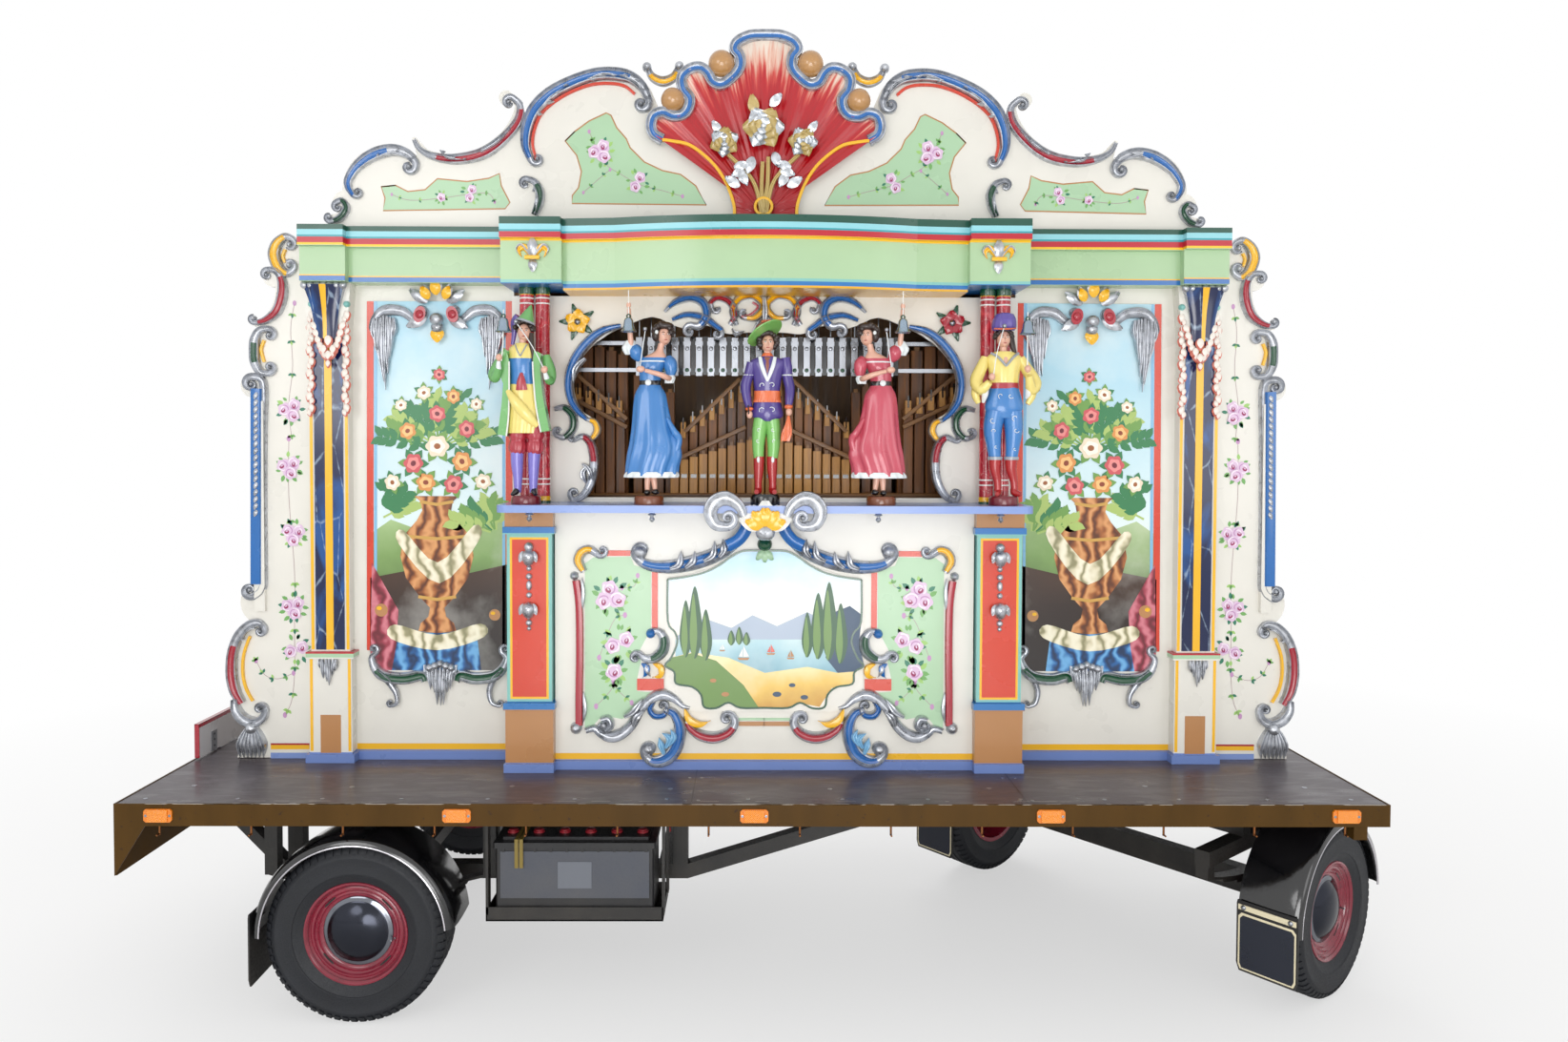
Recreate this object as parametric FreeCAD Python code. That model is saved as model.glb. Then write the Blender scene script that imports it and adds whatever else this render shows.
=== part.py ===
import FreeCAD, Part
import math
import os

# A street organ with a painted front, standing on a four-wheeled flatbed trailer.
# Millimetres. X runs to the right along the front, Y to the back, Z up from the ground.
# Everything is laid out about the trailer's middle, and moved at the end so that the
# origin lies on the ground under the middle of the whole object's box.

Vec = FreeCAD.Vector

# Trailer, driving dimensions
deck_length = 4662.0
deck_width = 1880.0
deck_top = 833.0
board_thick = 18.0
board_joints = (-231.0, 1006.0)
board_seam = 1.0
rim_height = 80.0
rim_thick = 6.0
rim_above_deck = 2.0
rim_lip = 30.0
rim_lip_thick = 5.0
tail_gusset_wide = 113.0
tail_gusset_drop = 184.0
corner_bracket = 50.0
reflector_size = (103.0, 12.0, 49.0)
reflector_count = 5
reflector_inset = 163.0
hook_count = 14
hook_inset = 160.0
hook_rod_r = 4.0
hook_toe_r = 3.2
hook_drop = 36.0

# Chassis
beam_y = 450.0
beam_wide = 60.0
beam_tall = 100.0
beam_end_gap = 30.0
cross_tall = 80.0
cross_wide = 60.0
outrigger_tall = 50.0
outrigger_wide = 40.0
rail_bottom = 375.0
rail_tall = 60.0
rail_back = -1900.0
rail_front = -270.0
brace_front_reach = 1120.0
brace_back_reach = 330.0

# Wheels
tyre_radius = 333.0
tyre_width = 195.0
tyre_wall = 12.0
bead_radius = 178.0
bead_half = 70.0
flange_radius = 191.0
flange_thick = 6.0
rim_wall = 6.0
disc_offset = 26.0
disc_thick = 8.0
cap_radius = 131.0
cap_height = 52.0
hub_radius = 60.0
hub_reach_in = 60.0
spindle_radius = 30.0
running_gap = 0.05
track = 1632.0
rear_axle_x = -1474.0
axle_size = 60.0
tyre_flat = 0.5

# Mudguards
guard_gap = 38.0
guard_thick = 4.0
guard_width = 230.0
guard_lip = 30.0
guard_start = 5.0
stay_size = 40.0
flap_thick = 6.0
flap_bottom = 150.0
flap_top = 420.0

# Springs
spring_y = 600.0
spring_width = 50.0
spring_leaf = 10.0
spring_leaves = 3
spring_half = 430.0
spring_rise = 60.0
hanger_size = 50.0

# Turntable bogie
kingpin_x = 1697.0
kingpin_radius = 25.0
steer_rest = 39.0
ring_outer = 300.0
ring_inner = 250.0
ring_tall = 30.0
bogie_beam_tall = 60.0
bogie_beam_wide = 60.0
bogie_bolster_x = 160.0
front_axle_tall = 100.0
drawbar_pivot_x = 470.0
drawbar_pivot_z = 400.0
drawbar_length = 1290.0
drawbar_root_half = 260.0
drawbar_tube = 60.0
drawbar_pin_radius = 12.0
tow_eye_radius = 20.0
tow_eye_wall = 25.0
tow_eye_thick = 30.0
tow_eye_clear = 4.0

# Battery
battery_size = (600.0, 220.0, 287.0)
battery_x = -680.0
battery_y = -680.0
battery_bottom = 364.0
tray_thick = 24.0
tray_margin = 36.0
tray_post = 40.0

# Organ case
front_x = 40.0
case_half = 1830.0
case_front = -340.0
case_back = 650.0
case_top = deck_top + 2127.0
post_size = 60.0
post_rows = (1800.0, 1040.0)
wall_thick = 12.0
roof_thick = 20.0
panel_thick = 20.0
back_panel_half = 450.0
door_thick = 24.0
door_gap = 2.0
hinge_barrel = 14.0
hinge_pin = 8.0
hinge_tall = 60.0
wing_hinge_rises = (267.0, 1067.0, 1867.0)
door_hinge_rises = (267.0, 1767.0)
wing_axis_u = case_half + wall_thick + 20.0
wing_axis_y = case_front + 20.0
door_axis_u = case_half + wall_thick + 16.0
door_axis_y = case_back + door_thick / 2

# Front, measured from the middle of the facade
wing_inner = 1875.0
wing_outer = 2234.0
wing_top = deck_top + 2165.0
wing_thick = 25.0
wing_lift = 3.0
wing_bar_deep = 20.0
wing_bar_low = deck_top + 620.0
wing_bar_top = deck_top + 1490.0
pilaster_mid = 1787.0
pilaster_wide = 160.0
pilaster_deep = 50.0
pilaster_base_top = deck_top + 430.0
pilaster_shaft_low = deck_top + 458.0
pilaster_shaft_top = deck_top + 1757.0
capital_half = 98.0
pedestal_mid = 942.0
pedestal_wide = 192.0
pedestal_front = -545.0
pedestal_rises = (250.0, 279.0, 957.0, 985.0)
column_spacing = 64.0
column_radius = 30.0
column_y = -480.0
column_inset = 14.0
column_top = deck_top + 1943.0
lower_front = -500.0
upper_front = -400.0
window_half = 800.0
window_bottom = deck_top + 1097.0
window_top = deck_top + 1908.0
shelf_half = 1043.0
shelf_front = -690.0
shelf_top = deck_top + 1079.0
shelf_thick = 29.0
frieze_bottom = deck_top + 1968.0
frieze_top = deck_top + 2107.0
cornice_top = deck_top + 2191.0
cornice_over = 22.0
side_frieze_front = -440.0
end_block_front = -480.0
centre_block_front = -600.0
bow_front = -660.0
bow_half = 593.0
bow_bottom = deck_top + 1922.0
plinth_tall = 35.0
plinth_out = 16.0
crest_y = -400.0
crest_thick = 30.0
crest_top = deck_top + 2968.0
carving_deep = 40.0
picture_thick = 8.0

# Works inside
chest_half = 980.0
chest_y = (-170.0, 80.0)
chest_tall = 60.0
pipe_size = 26.0
pipe_pitch = 34.0
pipe_count = 39
pipe_low = 260.0
pipe_high = 640.0
bar_count = 22
bar_pitch = 50.0
bar_size = (26.0, 6.0, 160.0)
bar_bottom = deck_top + 1603.0
flywheel_radius = 400.0
flywheel_rim = 40.0
flywheel_thick = 36.0
flywheel_y = 700.0
flywheel_z = deck_top + 687.0
shaft_radius = 20.0
shaft_front = 480.0
crank_radius = 300.0
grip_radius = 18.0
grip_length = 120.0
grip_pin_radius = 9.0
key_mid = 1180.0
key_z = deck_top + 827.0
key_y = (180.0, 560.0)
key_bed_half = 90.0
roller_radius = 28.0
journal_radius = 10.0
book_size = (260.0, 340.0)

# Figures on the shelf
figure_y = -600.0
figure_places = (-940.0, -457.0, 0.0, 457.0, 940.0)
figure_base_r = 66.0
figure_base_tall = 26.0
figure_leg_tall = 370.0
arm_radius = 17.0
arm_gap = 1.0
shoulder_pin = 7.0
bell_places = (-1012.0, -545.0, 545.0, 1012.0)
bell_y = -640.0
bell_radius = 30.0
bell_pole = 5.0
bell_z = deck_top + 1767.0

# End board at the left of the deck
end_board_y = (-385.0, 905.0)
end_board_tall = 140.0
end_board_thick = 18.0
end_board_inset = 8.0
end_hinge_count = 3
end_pin_radius = 5.0
end_strap_thick = 6.0

# Worked out from the sizes above
deck_half = deck_length / 2
side_half = deck_width / 2
board_bottom = deck_top - board_thick
rim_bottom = deck_top - rim_height
beam_bottom = board_bottom - beam_tall
wheel_y = track / 2
wheel_z = tyre_radius - tyre_flat
guard_inner_r = tyre_radius + guard_gap
guard_outer_r = guard_inner_r + guard_thick
ring_bottom = beam_bottom - ring_tall
lower_ring_bottom = ring_bottom - ring_tall
shelf_bottom = shelf_top - shelf_thick
axle_top = tyre_radius + axle_size / 2


def box(x0, x1, y0, y1, z0, z1):
    """A box between two corners, given in any order."""
    low = Vec(min(x0, x1), min(y0, y1), min(z0, z1))
    return Part.makeBox(abs(x1 - x0), abs(y1 - y0), abs(z1 - z0), low)


def rod(start, end, radius):
    """A round bar from one point to another."""
    start = Vec(*start)
    along = Vec(*end) - start
    return Part.makeCylinder(radius, along.Length, start, along)


def wire_of(points):
    """A closed wire; a point holding a third value True is the middle of an arc."""
    edges = []
    n = len(points)
    i = 0
    while i < n:
        here = Vec(*points[i][:3])
        after = points[(i + 1) % n]
        if len(after) > 3:
            end = Vec(*points[(i + 2) % n][:3])
            edges.append(Part.Arc(here, Vec(*after[:3]), end).toShape())
            i += 2
        else:
            edges.append(Part.LineSegment(here, Vec(*after[:3])).toShape())
            i += 1
    return Part.Wire(edges)


def upright_plate(points, y0, y1):
    """An outline drawn in X and Z, given thickness from y0 to y1."""
    placed = [(p[0], y0, p[1]) + tuple(p[2:]) for p in points]
    face = Part.Face(wire_of(placed))
    return face.extrude(Vec(0, y1 - y0, 0))


def on_front(points, side=1):
    """Outline points given from the front's middle and the deck, placed on the trailer."""
    return [(front_x + side * p[0], deck_top + p[1]) + tuple(p[2:]) for p in points]


def both_edges(points):
    """A whole outline from its right-hand half, which runs from the foot up."""
    left = [(-p[0],) + tuple(p[1:]) for p in reversed(points) if p[0] > 0]
    return list(points) + left


def raised(rises):
    """Heights given above the deck."""
    return [deck_top + rise for rise in rises]


def flat_plate(points, z0, z1):
    """An outline drawn in X and Y, given thickness from z0 to z1."""
    placed = [(p[0], p[1], z0) + tuple(p[2:]) for p in points]
    face = Part.Face(wire_of(placed))
    return face.extrude(Vec(0, 0, z1 - z0))


def side_plate(points, x0, x1):
    """An outline drawn in Y and Z, given thickness from x0 to x1."""
    placed = [(x0, p[0], p[1]) + tuple(p[2:]) for p in points]
    face = Part.Face(wire_of(placed))
    return face.extrude(Vec(x1 - x0, 0, 0))


def turned(points, centre, axis):
    """A round body from an outline of (radius, distance along the axis)."""
    placed = [(p[0], 0, p[1]) + tuple(p[2:]) for p in points]
    solid = Part.Face(wire_of(placed)).revolve(Vec(0, 0, 0), Vec(0, 0, 1), 360)
    turn = FreeCAD.Rotation(Vec(0, 0, 1), Vec(*axis))
    solid.Placement = FreeCAD.Placement(Vec(*centre), turn)
    return solid


def fused(first, *others):
    """One solid out of several that meet."""
    joined = first
    for other in others:
        joined = joined.fuse(other)
    return joined.removeSplitter()


def mirrored(shape, x=0.0):
    """The same shape on the other side of an upright plane across X."""
    return shape.mirror(Vec(x, 0, 0), Vec(1, 0, 0))


def both(shapes, x=0.0):
    """Shapes together with their mirror images across X."""
    return list(shapes) + [mirrored(s, x) for s in shapes]


def front_and_back(shapes):
    """Shapes together with their mirror images across Y."""
    return list(shapes) + [s.mirror(Vec(0, 0, 0), Vec(0, 1, 0)) for s in shapes]


def polar(cx, cz, radius, degrees):
    """A point at an angle round a centre, in X and Z."""
    turn = math.radians(degrees)
    return (cx + radius * math.cos(turn), cz + radius * math.sin(turn))


def arc_band(cx, cz, radius, width, start, end, y0, y1):
    """A curved bar: part of a ring between two angles, seen from the front."""
    middle = (start + end) / 2
    outer = radius + width / 2
    inner = radius - width / 2
    points = [
        polar(cx, cz, outer, start),
        polar(cx, cz, outer, middle) + (0, True),
        polar(cx, cz, outer, end),
        polar(cx, cz, inner, end),
        polar(cx, cz, inner, middle) + (0, True),
        polar(cx, cz, inner, start),
    ]
    placed = []
    for p in points:
        spot = (p[0], y0, p[1])
        placed.append(spot + (True,) if len(p) > 2 else spot)
    face = Part.Face(wire_of(placed))
    return face.extrude(Vec(0, y1 - y0, 0))


def scroll(u, rise, radius, width, start, end, y_face):
    """A carved scroll: a curved bar with a round volute at each end, its back flat."""
    cx = front_x + u
    cz = deck_top + rise
    y_front = y_face - carving_deep
    band = arc_band(cx, cz, radius, width, start, end, y_face, y_front)
    pieces = [band]
    for angle in (start, end):
        x, z = polar(cx, cz, radius, angle)
        pieces.append(rod((x, y_face, z), (x, y_front, z), width * 0.85))
    return fused(*pieces)


def deck_boards():
    """Three boards inside the rim, with a narrow seam between them."""
    inside_x = deck_half - rim_thick
    inside_y = side_half - rim_thick
    edges = [-inside_x, board_joints[0], board_joints[1], inside_x]
    boards = []
    for left, right in zip(edges, edges[1:]):
        far = right if right == inside_x else right - board_seam
        boards.append(box(left, far, -inside_y, inside_y, board_bottom, deck_top))
    return boards


def deck_rim():
    """Folded steel round the deck, the tail gussets and board, and hinge pins."""
    top = deck_top + rim_above_deck
    inside_x = deck_half - rim_thick
    inside_y = side_half - rim_thick
    lip_top = rim_bottom + rim_lip_thick
    front = fused(
        box(-deck_half, deck_half, -side_half, -inside_y, rim_bottom, top),
        box(-deck_half, deck_half, -inside_y, -inside_y + rim_lip, rim_bottom, lip_top),
    )
    side = box(-deck_half, -inside_x, -inside_y, inside_y, lip_top, top)
    gusset = upright_plate(
        [
            (-deck_half, rim_bottom),
            (-deck_half + tail_gusset_wide, rim_bottom),
            (-deck_half, rim_bottom - tail_gusset_drop),
        ],
        -side_half,
        -inside_y,
    )
    tail = box(
        -deck_half, -inside_x, -inside_y, inside_y, rim_bottom - tail_gusset_drop, rim_bottom
    )
    bracket = box(
        deck_half - 2.6 * corner_bracket,
        deck_half - 1.6 * corner_bracket,
        -inside_y,
        -inside_y + corner_bracket,
        rim_bottom - corner_bracket,
        rim_bottom,
    )
    return front_and_back([front, gusset, bracket]) + both([side]) + [tail] + end_hinge_pins()


def end_hinge_places():
    """Where the hinges of the end board are, along the deck's left edge."""
    low, high = end_board_y
    step = (high - low) / end_hinge_count
    return [low + step * (i + 0.5) for i in range(end_hinge_count)]


end_axis_x = -deck_half - 2 * end_pin_radius
end_axis_z = deck_top + rim_above_deck + end_strap_thick / 2


def end_hinge_pins():
    """A pin between two ears at each hinge of the end board."""
    ear = 8.0
    half = 30.0
    pieces = []
    for y in end_hinge_places():
        pin = rod((end_axis_x, y - half, end_axis_z), (end_axis_x, y + half, end_axis_z), end_pin_radius)
        ears = []
        for side in (-1, 1):
            near = y + side * half
            ears.append(
                box(
                    end_axis_x - 1.6 * end_pin_radius,
                    -deck_half,
                    near,
                    near + side * ear,
                    end_axis_z - 3 * end_pin_radius,
                    end_axis_z + 1.6 * end_pin_radius,
                )
            )
        pieces.append(fused(pin, *ears))
    return pieces


def end_board():
    """The low board that hinges outward at the left end of the deck."""
    low, high = end_board_y
    left = -deck_half + end_board_inset
    bottom = end_axis_z + end_strap_thick / 2
    board = box(left, left + end_board_thick, low, high, bottom, bottom + end_board_tall)
    half = 29.0
    straps = []
    for y in end_hinge_places():
        barrel = rod((end_axis_x, y - half, end_axis_z), (end_axis_x, y + half, end_axis_z),
                     1.6 * end_pin_radius)
        strap = box(end_axis_x, left + end_board_thick, y - half, y + half,
                    end_axis_z - end_strap_thick / 2, bottom)
        bore = rod((end_axis_x, y - half - 1, end_axis_z), (end_axis_x, y + half + 1, end_axis_z),
                   end_pin_radius + running_gap)
        straps.append(fused(barrel, strap).cut(bore))
    return [board] + straps


def reflectors():
    """Small reflectors along both long sides."""
    long, deep, tall = reflector_size
    first = -deck_half + reflector_inset
    step = 2 * (deck_half - reflector_inset) / (reflector_count - 1)
    middle = rim_bottom + rim_height / 2
    pieces = []
    for i in range(reflector_count):
        x = first + i * step
        pieces.append(
            box(x - long / 2, x + long / 2, -side_half - deep, -side_half,
                middle - tall / 2, middle + tall / 2)
        )
    return front_and_back(pieces)


def rope_hooks():
    """Hooks of bent rod under both long sides."""
    first = -deck_half + hook_inset
    step = 2 * (deck_half - hook_inset) / (hook_count - 1)
    y = -side_half + 3 * hook_rod_r
    pieces = []
    for i in range(hook_count):
        x = first + i * step
        stem = rod((x, y, rim_bottom), (x, y, rim_bottom - hook_drop), hook_rod_r)
        toe = rod((x, y, rim_bottom - hook_drop + hook_rod_r),
                  (x, y - 5 * hook_rod_r, rim_bottom - hook_drop + hook_rod_r), hook_toe_r)
        pieces.append(fused(stem, toe))
    return front_and_back(pieces)


def hanger_places():
    """Where the rear spring hangers are, along X."""
    return (rear_axle_x - spring_half, rear_axle_x + spring_half)


def chassis_frame():
    """Two long beams, cross members, outriggers, under-frame, upper turntable ring."""
    end = deck_half - beam_end_gap
    inner = beam_y - beam_wide / 2
    outer = beam_y + beam_wide / 2
    half = cross_wide / 2
    pieces = front_and_back([box(-end, end, inner, outer, beam_bottom, board_bottom)])
    bolsters = (kingpin_x - 200.0, kingpin_x + 200.0)
    crosses = [-end + half, rear_axle_x, -750.0, 0.0, 750.0, end - half]
    for x in crosses:
        pieces.append(box(x - half, x + half, -inner, inner, board_bottom - cross_tall, board_bottom))
    for x in bolsters:
        pieces.append(box(x - half, x + half, -inner, inner, beam_bottom, board_bottom))
    reach = side_half - rim_thick
    narrow = outrigger_wide / 2
    for x in list(hanger_places()) + [rear_axle_x, 0.0, 750.0, kingpin_x, end - narrow, -end + narrow]:
        pieces += front_and_back(
            [box(x - narrow, x + narrow, outer, reach, board_bottom - outrigger_tall, board_bottom)]
        )
    return pieces + under_frame(inner, outer) + upper_ring(bolsters) + hangers()


def under_frame(inner, outer):
    """The rails, posts and sloping braces that hang below the beams at the rear."""
    rail_top = rail_bottom + rail_tall
    rail = box(rail_back, rail_front, inner, outer, rail_bottom, rail_top)
    posts = [
        box(rail_front - beam_wide, rail_front, inner, outer, rail_top, beam_bottom),
        box(rail_back, rail_back + beam_wide, inner, outer, rail_top, beam_bottom),
    ]
    slope = (beam_bottom - rail_bottom) / brace_front_reach
    front_brace = upright_plate(
        [
            (rail_front, rail_bottom),
            (rail_front + brace_front_reach, beam_bottom),
            (rail_front + (beam_bottom - rail_top) / slope, beam_bottom),
            (rail_front, rail_top),
        ],
        inner,
        outer,
    )
    back_brace = upright_plate(
        [
            (rail_back, rail_bottom),
            (rail_back, rail_top),
            (rail_back - brace_back_reach + rail_tall, beam_bottom),
            (rail_back - brace_back_reach, beam_bottom),
        ],
        inner,
        outer,
    )
    ties = []
    for x in (rail_back + beam_wide, rail_front - 2 * beam_wide):
        ties.append(box(x, x + beam_wide, -inner, inner, rail_bottom, rail_top))
    return front_and_back([rail, front_brace, back_brace] + posts) + ties


def upper_ring(bolsters):
    """The turntable's upper ring with its kingpin."""
    ring = Part.makeCylinder(ring_outer, ring_tall, Vec(kingpin_x, 0, ring_bottom))
    ring = ring.cut(Part.makeCylinder(ring_inner, ring_tall, Vec(kingpin_x, 0, ring_bottom)))
    half = cross_wide / 2
    web = box(bolsters[0] + half, bolsters[1] - half, -80, 80, beam_bottom, beam_bottom + 20)
    pin = Part.makeCylinder(kingpin_radius, 2 * ring_tall + 20, Vec(kingpin_x, 0, lower_ring_bottom))
    return [ring, fused(web, pin)]


def hangers():
    """Blocks that carry the ends of the rear springs."""
    half = hanger_size / 2
    bottom = spring_seat_top(axle_top)
    pieces = []
    for x in hanger_places():
        pieces.append(
            box(x - half, x + half, spring_y - half, spring_y + half,
                bottom, board_bottom - outrigger_tall)
        )
    return front_and_back(pieces)


def spring_curve(seat):
    """Radius of the lowest leaf's underside, and the height of the leaves' common centre."""
    radius = (spring_half ** 2 + spring_rise ** 2) / (2 * spring_rise)
    return radius, seat + radius


def spring_seat_top(seat):
    """Height of the flat on the top leaf's ends, where the hanger blocks sit."""
    radius, centre = spring_curve(seat)
    reach = spring_half - hanger_size / 2
    return centre - math.sqrt((radius - spring_leaves * spring_leaf) ** 2 - reach ** 2)


def leaf_spring(x_mid, y_mid, seat):
    """Curved leaves, the longest on top, whose middle rests on the axle."""
    radius, centre = spring_curve(seat)
    long = spring_half + hanger_size / 2
    y0 = y_mid - spring_width / 2
    y1 = y_mid + spring_width / 2
    cut_half = hanger_size / 2
    top = spring_seat_top(seat)
    pieces = []
    for i in range(spring_leaves):
        mid = radius - (i + 0.5) * spring_leaf
        reach = long * (0.5 + 0.5 * i / (spring_leaves - 1))
        angle = math.degrees(math.asin(reach / radius))
        leaf = arc_band(x_mid, centre, mid, spring_leaf, 270 - angle, 270 + angle, y0, y1)
        for side in (-1, 1):
            near = x_mid + side * (spring_half - cut_half)
            far = x_mid + side * (spring_half + hanger_size)
            leaf = leaf.cut(box(near, far, y0, y1, top, top + spring_rise))
        pieces.append(leaf)
    return pieces


def axle_with_spindles(x_mid, tall, bottom):
    """A square beam with a round spindle at each end."""
    inner_face = wheel_y - hub_reach_in - 4.0
    half = axle_size / 2
    beam = box(x_mid - half, x_mid + half, -inner_face, inner_face, bottom, bottom + tall)
    reach = wheel_y + disc_offset
    spindle = rod((x_mid, -reach, wheel_z), (x_mid, reach, wheel_z), spindle_radius)
    return fused(beam, spindle)


def rear_axle():
    """The rear axle on its two leaf springs."""
    beam = axle_with_spindles(rear_axle_x, axle_size, tyre_radius - axle_size / 2)
    springs = []
    for side in (-1, 1):
        springs += leaf_spring(rear_axle_x, side * spring_y, axle_top)
    return [beam] + springs


def mudguard(x_mid, y_side):
    """A curved guard with a turned-in outer lip, and its hanging flap."""
    y_in = y_side * (wheel_y - guard_width / 2)
    y_out = y_side * (wheel_y + guard_width / 2)
    y_lip = y_out - y_side * guard_thick
    middle = (guard_inner_r + guard_outer_r) / 2
    shell = arc_band(x_mid, tyre_radius, middle, guard_thick, guard_start, 180.0, y_in, y_out)
    lip = arc_band(x_mid, tyre_radius, guard_outer_r - guard_lip / 2, guard_lip,
                   guard_start, 180.0, y_lip, y_out)
    left = x_mid - guard_outer_r
    flap = box(left - flap_thick, left, y_in, y_out, flap_bottom, flap_top)
    return [fused(shell, lip), flap]


def rear_mudguards():
    """Guards, flaps and stays of the rear wheels."""
    half = stay_size / 2
    top = board_bottom - outrigger_tall
    pieces = []
    for side in (-1, 1):
        pieces += mudguard(rear_axle_x, side)
        y_in = side * (wheel_y - guard_width / 2)
        stay = box(rear_axle_x - half, rear_axle_x + half, y_in, y_in + side * stay_size,
                   tyre_radius + guard_outer_r - half, top)
        pieces.append(stay.cut(rod((rear_axle_x, y_in - side, tyre_radius),
                                   (rear_axle_x, y_in + side * guard_width, tyre_radius),
                                   guard_outer_r)))
    return pieces


def tyre_at(x, y, outward):
    """A hollow tyre whose tread has a small flat where it stands on the ground."""
    half = tyre_width / 2
    wall = tyre_wall
    shoulder = tyre_radius - 16.0
    belly = (tyre_radius + bead_radius) / 2
    outline = [
        (bead_radius, -bead_half),
        (flange_radius, -bead_half),
        (belly, -half, 0, True),
        (shoulder, -half + 16.0),
        (tyre_radius, 0, 0, True),
        (shoulder, half - 16.0),
        (belly, half, 0, True),
        (flange_radius, bead_half),
        (bead_radius, bead_half),
        (bead_radius, bead_half - wall),
        (flange_radius, bead_half - wall),
        (belly, half - wall, 0, True),
        (shoulder - wall, half - 16.0 - wall),
        (tyre_radius - wall, 0, 0, True),
        (shoulder - wall, -half + 16.0 + wall),
        (belly, -half + wall, 0, True),
        (flange_radius, -bead_half + wall),
        (bead_radius, -bead_half + wall),
    ]
    points = [(p[0], 0, p[1]) + tuple(p[3:]) for p in outline]
    solid = Part.Face(wire_of(points)).revolve(Vec(0, 0, 0), Vec(0, 0, 1), 360)
    turn = FreeCAD.Rotation(Vec(0, 0, 1), Vec(0, outward, 0))
    solid.Placement = FreeCAD.Placement(Vec(x, y, wheel_z), turn)
    ground = box(x - 300, x + 300, y - half - 5, y + half + 5, -20, 0)
    return solid.cut(ground)


def rim_at(x, y, outward):
    """A flanged rim with a dished disc and hub, and the domed cap over the hub."""
    r_in = bead_radius - rim_wall
    face = bead_half
    d0 = disc_offset
    d1 = disc_offset + disc_thick
    rim = turned(
        [
            (bead_radius, -face),
            (flange_radius, -face),
            (flange_radius, -face - flange_thick),
            (r_in, -face - flange_thick),
            (r_in, d0),
            (hub_radius, d0),
            (hub_radius, -hub_reach_in),
            (spindle_radius + running_gap, -hub_reach_in),
            (spindle_radius + running_gap, d1),
            (r_in, d1),
            (r_in, face + flange_thick),
            (flange_radius, face + flange_thick),
            (flange_radius, face),
            (bead_radius, face),
        ],
        (x, y, wheel_z),
        (0, outward, 0),
    )
    cap = turned(
        [
            (0, d1),
            (cap_radius, d1),
            (cap_radius * 0.74, d1 + cap_height * 0.62),
            (0, d1 + cap_height),
        ],
        (x, y, wheel_z),
        (0, outward, 0),
    )
    return [rim, cap]


def turn_bogie(shapes):
    """Shapes drawn with the axle square across, put at the turned rest position."""
    placed = []
    for shape in shapes:
        shape.rotate(Vec(0, 0, 0), Vec(0, 0, 1), steer_rest)
        shape.translate(Vec(kingpin_x, 0, 0))
        placed.append(shape)
    return placed


def bogie_frame():
    """Lower ring, cross beams and side beams with spring hangers, before turning."""
    ring = Part.makeCylinder(ring_outer, ring_tall, Vec(0, 0, lower_ring_bottom))
    ring = ring.cut(Part.makeCylinder(ring_inner, ring_tall, Vec(0, 0, lower_ring_bottom)))
    plate = box(-ring_inner + 12, ring_inner - 12, -80, 80, lower_ring_bottom, ring_bottom)
    bore = Part.makeCylinder(kingpin_radius + running_gap, 4 * ring_tall,
                             Vec(0, 0, lower_ring_bottom - ring_tall))
    top = fused(ring, plate).cut(bore)
    beam_low = lower_ring_bottom - bogie_beam_tall
    reach = spring_y + bogie_beam_wide / 2
    half = bogie_beam_wide / 2
    pieces = [top]
    for x in (-bogie_bolster_x, bogie_bolster_x):
        pieces.append(box(x - half, x + half, -reach, reach, beam_low, lower_ring_bottom))
    side_low = beam_low - bogie_beam_tall
    long = spring_half + hanger_size / 2
    for side in (-1, 1):
        y = side * spring_y
        pieces.append(box(-long, long, y - half, y + half, side_low, beam_low))
        for x in (-spring_half, spring_half):
            block = hanger_size / 2
            bottom = spring_seat_top(front_seat())
            pieces.append(box(x - block, x + block, y - block, y + block, bottom, side_low))
    pieces += drawbar_ears(side_low, long)
    return turn_bogie(pieces)


def front_seat():
    """Top of the front axle beam, where its springs rest."""
    return tyre_radius - axle_size / 2 + front_axle_tall


def drawbar_ears(side_low, long):
    """A cross tube at the front of the bogie with two ears for the drawbar pin."""
    half = drawbar_tube / 2
    cross = box(long, long + half, -spring_y - half, spring_y + half,
                side_low, side_low + bogie_beam_tall)
    ears = []
    for side in (-1, 1):
        y = side * (drawbar_root_half + half)
        near = y + side * running_gap * 4
        far = near + side * 14.0
        ear = box(long + half, drawbar_pivot_x + half + 18.0, near, far,
                  drawbar_pivot_z - half, side_low + bogie_beam_tall)
        inward = y - side * 50.0
        pin = rod((drawbar_pivot_x + half, inward, drawbar_pivot_z),
                  (drawbar_pivot_x + half, far, drawbar_pivot_z), drawbar_pin_radius)
        ears.append(fused(ear, pin))
    return [cross] + ears


def front_axle():
    """The front axle, a deep beam, with its springs, before turning."""
    beam = axle_with_spindles(0.0, front_axle_tall, tyre_radius - axle_size / 2)
    springs = []
    for side in (-1, 1):
        springs += leaf_spring(0.0, side * spring_y, front_seat())
    return turn_bogie([beam] + springs)


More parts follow.
